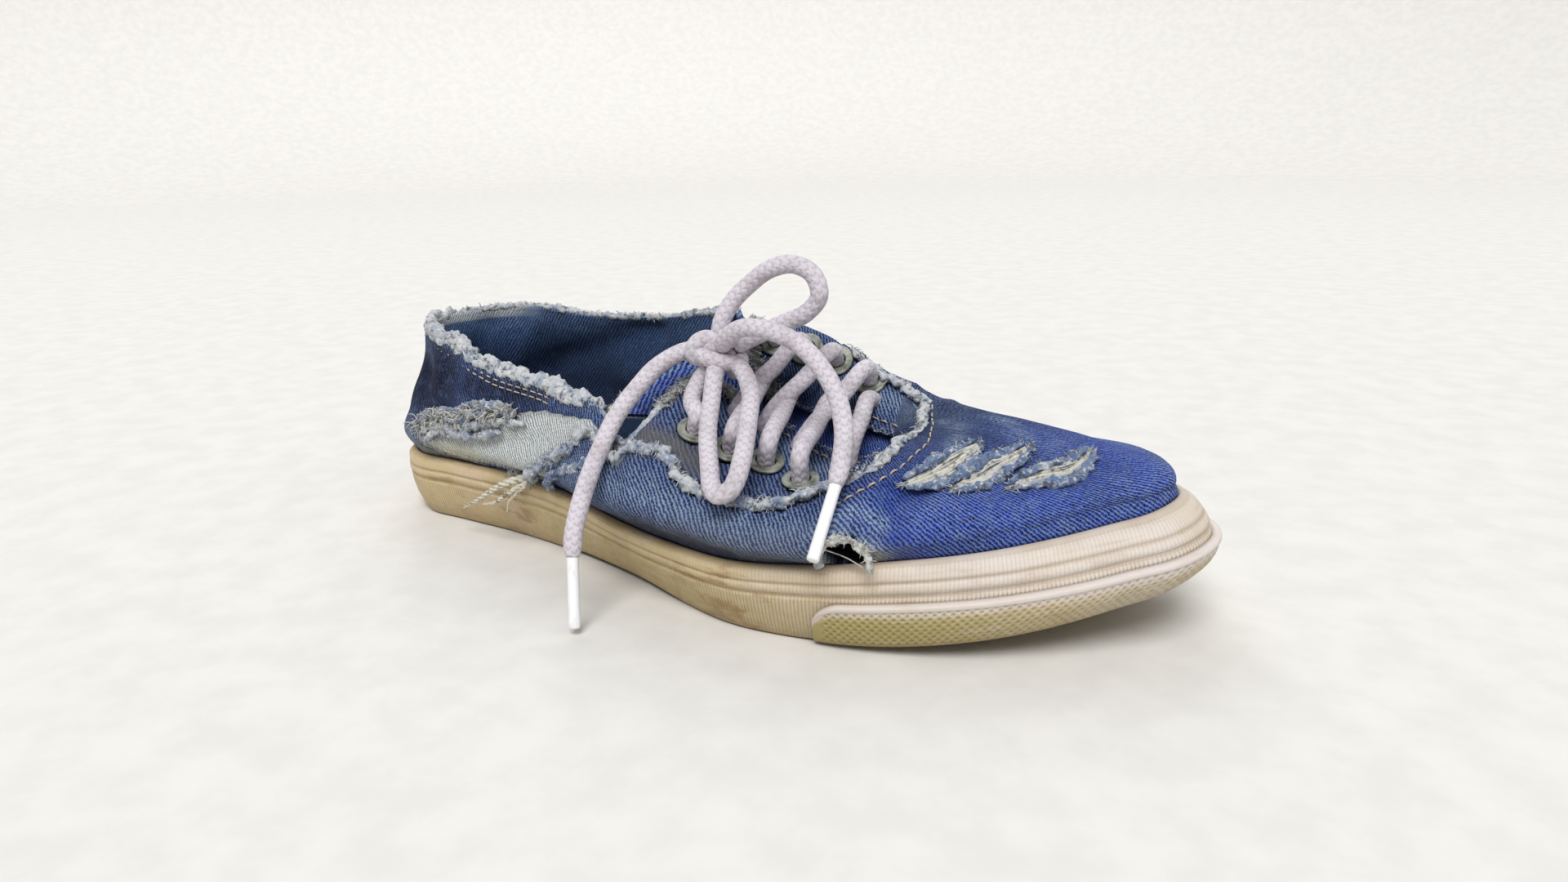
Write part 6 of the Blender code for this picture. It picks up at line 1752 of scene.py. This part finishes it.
def make_foxing_band():
    """The rubber band, with its ridges, grooves and the ribs pressed into its lower half."""
    turns = np.arange(SHELL_TURNS) * 6 / SHELL_TURNS
    edge_xy, out = plan_at(turns)
    x = edge_xy[:, 0]
    high = band_height(x)
    foot = (BAND_LIFT + 0.5 * waist(x)) / high
    steps = np.unique(np.concatenate((np.linspace(0, 1, 26), [s.up for s in BAND_STEPS], [0.97, 0.985, 0.995])))
    step_out = np.interp(steps, [s.up for s in BAND_STEPS], [s.out for s in BAND_STEPS])
    loop, shares = [], []
    for place, stands in zip(steps, step_out):
        up = np.maximum(place, foot)
        wavy = 0.10 * MM * np.sin(turns / 6 * tau * 23 + place * 9)
        offset = band_out(x, up) + stands * BAND_WALL + wavy * (0.2 < place < 0.95)
        loop.append(np.column_stack((edge_xy + out * offset[:, None], spring(x) + high * up)))
        shares.append(up)
    full = np.ones_like(foot)
    for share in (0.35, 0.75):
        offset = band_out(x, full) * (1 - share) + band_in(x, full) * share
        rise = BAND_LIP * share / 0.75
        loop.append(np.column_stack((edge_xy + out * offset[:, None], spring(x) + high + rise)))
        shares.append(full)
    for up, rise in ((full, 0.8 * BAND_LIP), (foot, 0)):
        loop.append(np.column_stack((edge_xy + out * band_in(x, up)[:, None], spring(x) + high * up + rise)))
        shares.append(up)
    points, share = np.stack(loop, 1), np.stack(shares, 1)
    count, rows = share.shape
    run = run_round(edge_xy) / MM
    run *= round(run[-1] / RIB_PITCH_MM) * RIB_PITCH_MM / run[-1]
    flat_x, flat_up = np.repeat(x, rows), share.ravel()
    at = share_at(flat_x)
    crevice_shade = np.zeros_like(flat_up)
    for line in (0.66, 0.83):
        crevice_shade = np.maximum(crevice_shade, bell(flat_up - line, 0.022))
    outer = np.tile(np.arange(rows) < len(steps), count)
    on_side = points[..., 1].ravel() < 0
    stained = ((0.63, 1.3), (0.57, 0.8), (0.25, 1.1), (0.12, 0.7))
    stains = 0.3 + sum(deep * bell(at - here, 0.035) for here, deep in stained)
    fields = {
        "aged": np.where(on_side, 0.95 - 0.72 * ease(at, 0.50, 0.86), 0.80 - 0.4 * ease(at, 0.5, 0.86)),
        # Olive soiling heavier low down, partly painted shade near the floor.
        "olive": 0.45 * ease(at, 0.1, 0.35) * (1 - ease(at, 0.75, 0.95)) * (1 - 0.5 * ease(flat_up, 0.3, 0.95)),
        "stain": stains * (1 - 0.4 * ease(flat_up, 0.8, 1.0)),
        "ribbed": (0.35 + 0.65 * (1 - ease(flat_up, 0.60, 0.66))) * outer,
        # Painted shade in the two grooves, along the foot by the floor and inside the top lip.
        "crevice_shade": crevice_shade * 0.8 + 0.8 * bell(flat_up, 0.16) + 0.45 * (flat_up > 0.985),
    }
    uv = ring_uv(run, share * BAND_HEIGHT / MM)
    piece("foxing_band", points.reshape(-1, 3), ring_faces(count, rows), "rubber", ("foxing",), uv, fields)


def make_toe_bumper():
    """The bumper over the toe, with a smooth lip above a field of small pressed lozenges."""
    start, end = float(turn_beside(BUMPER_FROM, False)), float(turn_beside(BUMPER_FROM, True))
    ends = np.linspace(0, 0.045, 9)
    turns = np.concatenate((start + ends, np.linspace(start + 0.05, end - 0.05, 560), end - ends[::-1]))
    edge_xy, out = plan_at(turns)
    x = edge_xy[:, 0]
    high = band_height(x)
    run = run_along(edge_xy)
    to_end = np.minimum(run, run[-1] - run)
    roundness = np.sqrt(np.clip(1 - (1 - np.clip(to_end / (9 * MM), 0, 1)) ** 2, 0, 1))
    low = BUMPER_FOOT
    top = BUMPER_TOP * (0.45 + 0.55 * roundness)
    gap = CLEARANCE + 0.1 * MM
    thick = BUMPER_WALL * (0.4 + 0.6 * roundness)
    rows_up = np.concatenate((np.linspace(0, 0.87, 38), np.linspace(0.88, 1.0, 9)))
    loop, dips, ups = [], [], []
    for share in rows_up:
        up = low + (top - low) * share
        bow = np.interp(share, *zip(*BUMPER_BOWS))
        wide = run / MM / DIMPLE_PITCH_MM
        tall = (high * up) / MM / DIMPLE_PITCH_MM
        lozenge = np.sin(tau / 2 * (wide + tall)) * np.sin(tau / 2 * (wide - tall))
        field_on = float(ease(share, 0.0, 0.06)) * float(1 - ease(share, 0.84, 0.87)) * ease(to_end, 2 * MM, 5 * MM)
        dip = np.clip(lozenge, -1, 1) ** 2 * field_on
        offset = band_out(x, up) + gap + thick * bow - DIMPLE_DEEP * dip
        loop.append(np.column_stack((edge_xy + out * offset[:, None], spring(x) + high * up)))
        dips.append(dip)
        ups.append(share + 0 * x)
    for share in (1.0, 0.66, 0.33, 0.0):
        up = low + (top - low) * share
        offset = band_out(x, up) + gap
        loop.append(np.column_stack((edge_xy + out * offset[:, None], spring(x) + high * up)))
        dips.append(0 * x)
        ups.append(share + 0 * x)
    points, dip, share = (np.stack(v, 1) for v in (loop, dips, ups))
    count, rows = dip.shape
    faces = ring_faces(count, rows, False)
    faces += [tuple(range(rows)), tuple((count - 1) * rows + j for j in range(rows - 1, -1, -1))]
    uv = ring_uv(run / MM, share * BUMPER_TALL_MM) + [(0, 0)] * (2 * rows)
    flat_up, at = share.ravel(), share_at(np.repeat(x, rows))
    on_side = 1 - ease(points[..., 1].ravel(), -10 * MM, 45 * MM)
    # Olive soiling that fades upwards, partly painted shade low on the bumper.
    olive = (0.95 - 0.5 * ease(at, 0.72, 0.96) * on_side) * (1 - ease(flat_up, 0.6, 0.92))
    fields = {
        "aged": 0.65 - 0.45 * ease(flat_up, 0.7, 0.85) - 0.25 * ease(at, 0.85, 0.97),
        "olive": olive,
        "stain": 0.15 + 0.75 * bell(at - 0.93, 0.04) * (1 - ease(flat_up, 0.3, 0.7)),
        # Painted shade in the pressed lozenges and along the foot by the floor.
        "crevice_shade": 0.95 * dip.ravel() + 0.7 * bell(flat_up, 0.16),
    }
    piece("toe_bumper_band", points.reshape(-1, 3), faces, "bumper_rubber", ("toe_bumper",), uv, fields)


def make_footbed():
    """The insole, dished under heel and ball, from rings drawn in from the outline."""
    turns = np.arange(240) * 6 / 240
    edge_xy, out = plan_at(turns)
    x = edge_xy[:, 0]
    spine = spine_at(turns)
    foot = SOLE_THICK + 2 * CLEARANCE
    shell = OVERLAY + WALL + 4 * CLEARANCE
    low_edge = edge_xy + out * (band_in(x, foot / band_height(x)) - shell)[:, None]
    rings = []
    shares = np.concatenate((np.linspace(0.02, 0.9, 18), [0.94, 0.97, 0.99, 1.0]))
    for layer in (0, 1):
        for share in shares if layer == 0 else shares[::-1]:
            line = spine + (low_edge - spine) * share
            z = spring(line[:, 0]) + foot
            if layer:
                dish = bell(line[:, 0], 30 * MM) + bell(line[:, 0] - 140 * MM, 32 * MM)
                z = z + INSOLE_THICK - 0.9 * MM * dish * (1 - share**3) - 0.5 * MM * max(0.0, share - 0.95) / 0.05
            rings.append(np.column_stack((line, z)))
    points = np.stack(rings, 1)
    piece("cloth_footbed", points.reshape(-1, 3), ring_faces(*points.shape[:2]), "insole_cloth", ("insole",))


def make_rolled_eyelets():
    """The eyelets: a rolled lip over the cloth, a throat through it and a clinched foot inside."""
    barrel, bore, lip = EYELET_BARREL / 2, EYELET_BORE / 2, EYELET_FLANGE / 2 + 0.5 * MM
    foot = -WALL - 0.6 * MM
    top = EYELET_LIFT + EYELET_FLAT
    rim = [(lip, EYELET_LIFT - 0.1 * MM), (lip - 0.05 * MM, top - 0.25 * MM), (lip - 0.3 * MM, top - 0.05 * MM),
           (lip - 0.7 * MM, top), (lip - 1.3 * MM, top - 0.12 * MM)]
    throat = [(bore + 0.6 * MM, top - 0.12 * MM), (bore + 0.3 * MM, top), (bore + 0.1 * MM, top - 0.12 * MM),
              (bore, top - 0.5 * MM)]
    profile = [(barrel, foot), (barrel, EYELET_LIFT - 0.6 * MM), (lip - 0.3 * MM, EYELET_LIFT - 0.5 * MM), *rim,
               *throat, (bore, foot)]
    sides = 40
    for name, point, normal in eyelet_places():
        hole = facing(point, normal)
        points = [hole @ Matrix.Rotation(tau * i / sides, 4, "Z") @ Vector((r, 0, h))
                  for i in range(sides) for r, h in profile]
        piece(f"rolled_eyelet_{name}", [tuple(p) for p in points], ring_faces(sides, len(profile)), "eyelet_metal",
              (f"eyelet_{name}",))


def lace_line(route, to_knot=True):
    """Even points along a smooth curve through a route in millimetres, ending just inside the knot."""
    dense = along(np.array(route) * MM, np.linspace(0, len(route) - 1, 2000))
    if to_knot:
        from_knot = (dense / MM - np.array(KNOT)) / (np.array(KNOT_HALF) + KNOT_ROOM)
        dense = dense[np.linalg.norm(from_knot, axis=1) > KNOT_HIDES]
    run = run_along(dense)
    count = max(6, int(run[-1] / (LACE_SPACING_MM * MM)))
    points = np.stack([np.interp(np.linspace(0, run[-1], count), run, dense[:, k]) for k in range(3)], -1)
    return points, float(run[-1])


def lace_tube(points, seed, slim_end=False, sides=LACE_SIDES, thin=1.0):
    """The lace's tube along points: slightly uneven, and slimmer towards a tip."""
    run = np.linspace(0, 1, len(points))
    wave = 1 + 0.035 * rough(points, 7, seed)
    if slim_end:
        left = (1 - run) * len(points) * LACE_SPACING_MM
        wave = wave * np.clip(0.72 + 0.28 * left / 3.0, 0.72, 1)
    radius = bpy.context.scene.sneaker_lace.width / 2 * thin
    return tube_mesh(points, radius, sides, np.repeat(wave[:, None], sides, axis=1))


def cord_piece(name, route, nodes, seed, slim_end=False):
    points, length = lace_line(route)
    placed, faces, uv = lace_tube(points, seed, slim_end)
    return piece(name, placed, faces, "lace_cotton", nodes, uv), points, length


def make_crossing_laces():
    """The lace through the eyelets: at each row two strands cross the throat and dip under the other flap."""
    stand_off = LACE / 2 + 0.7 * MM
    deep = 5.0 * MM
    for number, row in enumerate(EYELETS[1:], 1):
        heap = Heap()
        side, side_normal = on_upper(row.at, row.side, False)
        inner, inner_normal = on_upper(row.at, row.inner, True)
        behind = row.at - STRAND_REARWARD
        side_edge, side_edge_normal = on_upper(behind, 0.10, False)
        inner_edge, inner_edge_normal = on_upper(behind, 0.10, True)
        for start, normal, end, end_normal in ((side, side_normal, inner_edge, inner_edge_normal),
                                               (inner, inner_normal, side_edge, side_edge_normal)):
            middle = (start + end) / 2 + (normal + end_normal).normalized() * (stand_off + 2.2 * MM)
            over = end + end_normal * (stand_off + 0.3 * MM)
            beyond = (end - start).normalized()
            mouth = [Vector(p) * MM for p in out_of_eyelet(start, normal)]
            route = [start - normal * deep, start - normal * 1.0 * MM, *mouth, middle, over,
                     over + beyond * 3.2 * MM - end_normal * 3.0 * MM, over + beyond * 3.8 * MM - end_normal * 7.0 * MM]
            points, _ = lace_line([tuple(p / MM) for p in route], False)
            heap.add(*lace_tube(points, number))
        heap.piece(f"crossing_lace_{number}", "lace_cotton", (f"lace_cross_{number}",))
    front = EYELETS[-1].at + 0.012
    start, start_normal = on_upper(front, 0.12, True)
    end, end_normal = on_upper(front + 0.012, 0.10, False)
    first, last = start + start_normal * stand_off, end + end_normal * stand_off
    middle = (start + end) / 2 + Vector((0, 0, 4.6 * MM))
    route = [first - start_normal * 6 * MM + Vector((0, 4 * MM, 0)), first, middle, last,
             last - end_normal * 6 * MM - Vector((0, 3 * MM, 0))]
    points, _ = lace_line([tuple(p / MM) for p in route], False)
    placed, faces, uv = lace_tube(points, 8)
    piece("crossing_lace_front", placed, faces, "lace_cotton", ("lace_bar_front",), uv)


def make_bow():
    """The bow: two loops and two tails, two rises from the top eyelets, and the knot's turns."""
    settings = bpy.context.scene.sneaker_lace
    first = EYELETS[0]
    for name, route, node_name, seed in (
        ("rising_lace_side", (on_upper(first.at, first.side, False), RISE_SIDE), "lace_rise_side", 11),
        ("rising_lace_inner", (on_upper(first.at, first.inner, True), RISE_INNER), "lace_rise_inner", 12),
    ):
        (point, normal), rest = route
        inside = [tuple((point - normal * deep) / MM) for deep in (5 * MM, 1 * MM)]
        cord_piece(name, (*inside, *out_of_eyelet(point, normal), *rest), (node_name,), seed)
    for name, route, node_name, seed in (("bow_up", LOOP_UP, "bow_loop_up", 13),
                                         ("bow_down", LOOP_DOWN, "bow_loop_down", 14)):
        obj, points, length = cord_piece(name, route, (node_name,), seed)
        tuple(points[0])
        [tuple(p) for p in points]
    for name, route, tip, node_name, tip_node, seed in (
        ("tail_side", TAIL_SIDE, TAIL_SIDE_TIP, "lace_tail_side", "aglet_side", 15),
        ("tail_front", TAIL_FRONT, TAIL_FRONT_TIP, "lace_tail_front", "aglet_front", 16),
    ):
        obj, points, length = cord_piece(name, route, (node_name,), seed, True)
        last, tip = Vector(route[-1]) * MM, Vector(tip) * MM
        way = (tip - last).normalized()
        radius = settings.tip_width / 2
        shares = np.concatenate(([0, 0.02, 0.06], np.linspace(0.1, 0.97, 12), [0.985, 0.995, 1.0]))
        line = np.array([last - way * 0.8 * MM + (tip - last + way * 0.8 * MM) * s for s in shares])
        wide = radius * np.interp(shares, (0, 0.03, 0.1, 0.97, 0.995, 1), (0.86, 1.0, 0.93, 0.93, 0.85, 0.6))
        placed, faces, uv = tube_mesh(line, wide, 20)
        end_piece = piece(name + "_tip", placed, faces, "tip_plastic", (tip_node,), uv)
        tuple(points[0])
        [tuple(p) for p in points]
    heap = Heap()
    axes = np.array((KNOT_RIGHT, (0, 0, 1.0), KNOT_NEAR))
    angle = np.linspace(0, tau, 48)[:, None]
    for middle, half_a, half_b, way_a, way_b, seed in KNOT_TURNS:
        middle, way_a, way_b = (np.array(v) @ axes for v in (middle, way_a, way_b))
        points = (np.array(KNOT) + middle + half_a * np.cos(angle) * way_a + half_b * np.sin(angle) * way_b) * MM
        heap.add(*lace_tube(points, seed, sides=18, thin=0.95))
    heap.piece("bow_knot_turns", "lace_cotton", ("bow_knot",))


def make_stage():
    """A pale paper sweep, three soft lights and the camera at the photograph's angle."""
    profile = [(radius, 0.0) for radius in SWEEP_FLOOR]
    profile += [(SWEEP_FLOOR[-1] + SWEEP_BEND * np.sin(a), SWEEP_BEND - SWEEP_BEND * np.cos(a))
                for a in np.linspace(0.1, tau / 4, 14)]
    profile += [(SWEEP_FLOOR[-1] + SWEEP_BEND, SWEEP_TOP)]
    sides = 96
    points = [(0.0, 0.0, 0.0)]
    for radius, height in profile[1:]:
        points += [(radius * np.cos(a), radius * np.sin(a), height) for a in tau * np.arange(sides) / sides]
    faces = [(0, 1 + k, 1 + (k + 1) % sides) for k in range(sides)]
    for ring in range(len(profile) - 2):
        a, b = 1 + ring * sides, 1 + (ring + 1) * sides
        faces += [(a + k, b + k, b + (k + 1) % sides, a + (k + 1) % sides) for k in range(sides)]
    mesh = bpy.data.meshes.new("paper_sweep")
    mesh.from_pydata(points, [], faces)
    mesh.shade_smooth()
    mesh.materials.append(finish_of("paper"))
    floor = bpy.data.objects.new("paper_sweep", mesh)
    bpy.context.scene.collection.objects.link(floor)
    for name, toward, wide, power in LIGHTS:
        light = bpy.data.lights.new(name, "SUN")
        light.energy, light.angle = power, radians(wide)
        obj = bpy.data.objects.new(name, light)
        obj.rotation_euler = Vector(toward).to_track_quat("-Z", "Y").to_euler()
        bpy.context.scene.collection.objects.link(obj)
    world = bpy.data.worlds.new("pale_room")
    world.use_nodes = True
    background = world.node_tree.nodes["Background"]
    background.inputs["Color"].default_value = rgba(linear(ROOM_COLOUR))
    background.inputs["Strength"].default_value = ROOM_STRENGTH
    bpy.context.scene.world = world
    camera = bpy.data.cameras.new("camera")
    camera.lens, camera.sensor_width, camera.clip_start = CAMERA_LENS_MM, CAMERA_SENSOR_MM, 0.01
    obj = bpy.data.objects.new("camera", camera)
    place, aim = Vector(CAMERA_PLACE) * MM, Vector(CAMERA_AIM) * MM
    back = (place - aim).normalized()
    right = Vector((0, 0, 1)).cross(back).normalized()
    up = back.cross(right)
    roll = radians(CAMERA_ROLL)
    turned_right = right * np.cos(roll) + up * np.sin(roll)
    turned_up = up * np.cos(roll) - right * np.sin(roll)
    obj.matrix_world = Matrix.Translation(place) @ Matrix((turned_right, turned_up, back)).transposed().to_4x4()
    bpy.context.scene.collection.objects.link(obj)
    bpy.context.scene.camera = obj
    bpy.context.scene.view_settings.view_transform = "Standard"
    bpy.context.scene.view_settings.look = "Medium High Contrast"


# ---- Operators and panel ----

class SneakerUpper(bpy.types.Operator):
    """Makes the torn denim shell, its topstitching and the tongue."""

    bl_idname = "sneaker.upper"
    bl_label = "Denim upper and tongue"

    def execute(self, context):
        make_denim_upper()
        make_stitches()
        make_cloth_tongue()
        return {"FINISHED"}


class SneakerFrays(bpy.types.Operator):
    """Makes the frayed edges, gashes and loose yarns."""

    bl_idname = "sneaker.frays"
    bl_label = "Frays and loose yarns"

    def execute(self, context):
        make_collar_frays()
        make_rip_frays()
        make_thread_tails()
        make_gashes()
        make_hole_frays()
        make_stay_frays()
        return {"FINISHED"}


class SneakerRubber(bpy.types.Operator):
    """Makes the foxing band, the toe bumper and the footbed, and finishes the outsole."""

    bl_idname = "sneaker.rubber"
    bl_label = "Rubber and footbed"

    def execute(self, context):
        make_foxing_band()
        make_toe_bumper()
        make_footbed()
        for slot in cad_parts["outsole"].material_slots:
            slot.material = finish_of("sole_rubber")
        return {"FINISHED"}


class SneakerLaces(bpy.types.Operator):
    """Makes the eyelets, the lace through them and its bow."""

    bl_idname = "sneaker.laces"
    bl_label = "Eyelets, lace and bow"

    def execute(self, context):
        make_rolled_eyelets()
        make_crossing_laces()
        make_bow()
        return {"FINISHED"}


class SneakerStage(bpy.types.Operator):
    """Makes the floor, the lights and the camera."""

    bl_idname = "sneaker.stage"
    bl_label = "Floor, lights and camera"

    def execute(self, context):
        make_stage()
        return {"FINISHED"}


class SneakerPanel(bpy.types.Panel):
    """Lists the sneaker's settings and the steps that make it."""

    bl_idname = "VIEW3D_PT_worn_sneaker"
    bl_label = "Worn denim sneaker"
    bl_space_type = "VIEW_3D"
    bl_region_type = "UI"
    bl_category = "Sneaker"

    def draw(self, context):
        for group in (context.scene.sneaker_cloth, context.scene.sneaker_rubber, context.scene.sneaker_lace):
            box = self.layout.box()
            for name in group.bl_rna.properties.keys():
                if name not in ("rna_type", "name"):
                    box.prop(group, name)
        for step in STEPS:
            self.layout.operator(step.bl_idname)


SETTINGS = {"sneaker_cloth": SneakerClothSettings, "sneaker_rubber": SneakerRubberSettings,
            "sneaker_lace": SneakerLaceSettings}
STEPS = (SneakerStage, SneakerLaces, SneakerUpper, SneakerFrays, SneakerRubber)


def register():
    for made in (*SETTINGS.values(), *STEPS, SneakerPanel):
        bpy.utils.register_class(made)
    for name, group in SETTINGS.items():
        setattr(bpy.types.Scene, name, PointerProperty(type=group))


def unregister():
    for name in SETTINGS:
        delattr(bpy.types.Scene, name)
    for made in (SneakerPanel, *reversed(STEPS), *reversed(SETTINGS.values())):
        bpy.utils.unregister_class(made)


def main():
    register()
    bpy.ops.sneaker.stage()
    bpy.ops.sneaker.laces()
    bpy.ops.sneaker.upper()
    bpy.ops.sneaker.frays()
    bpy.ops.sneaker.rubber()


if __name__ == "__main__":
    main()
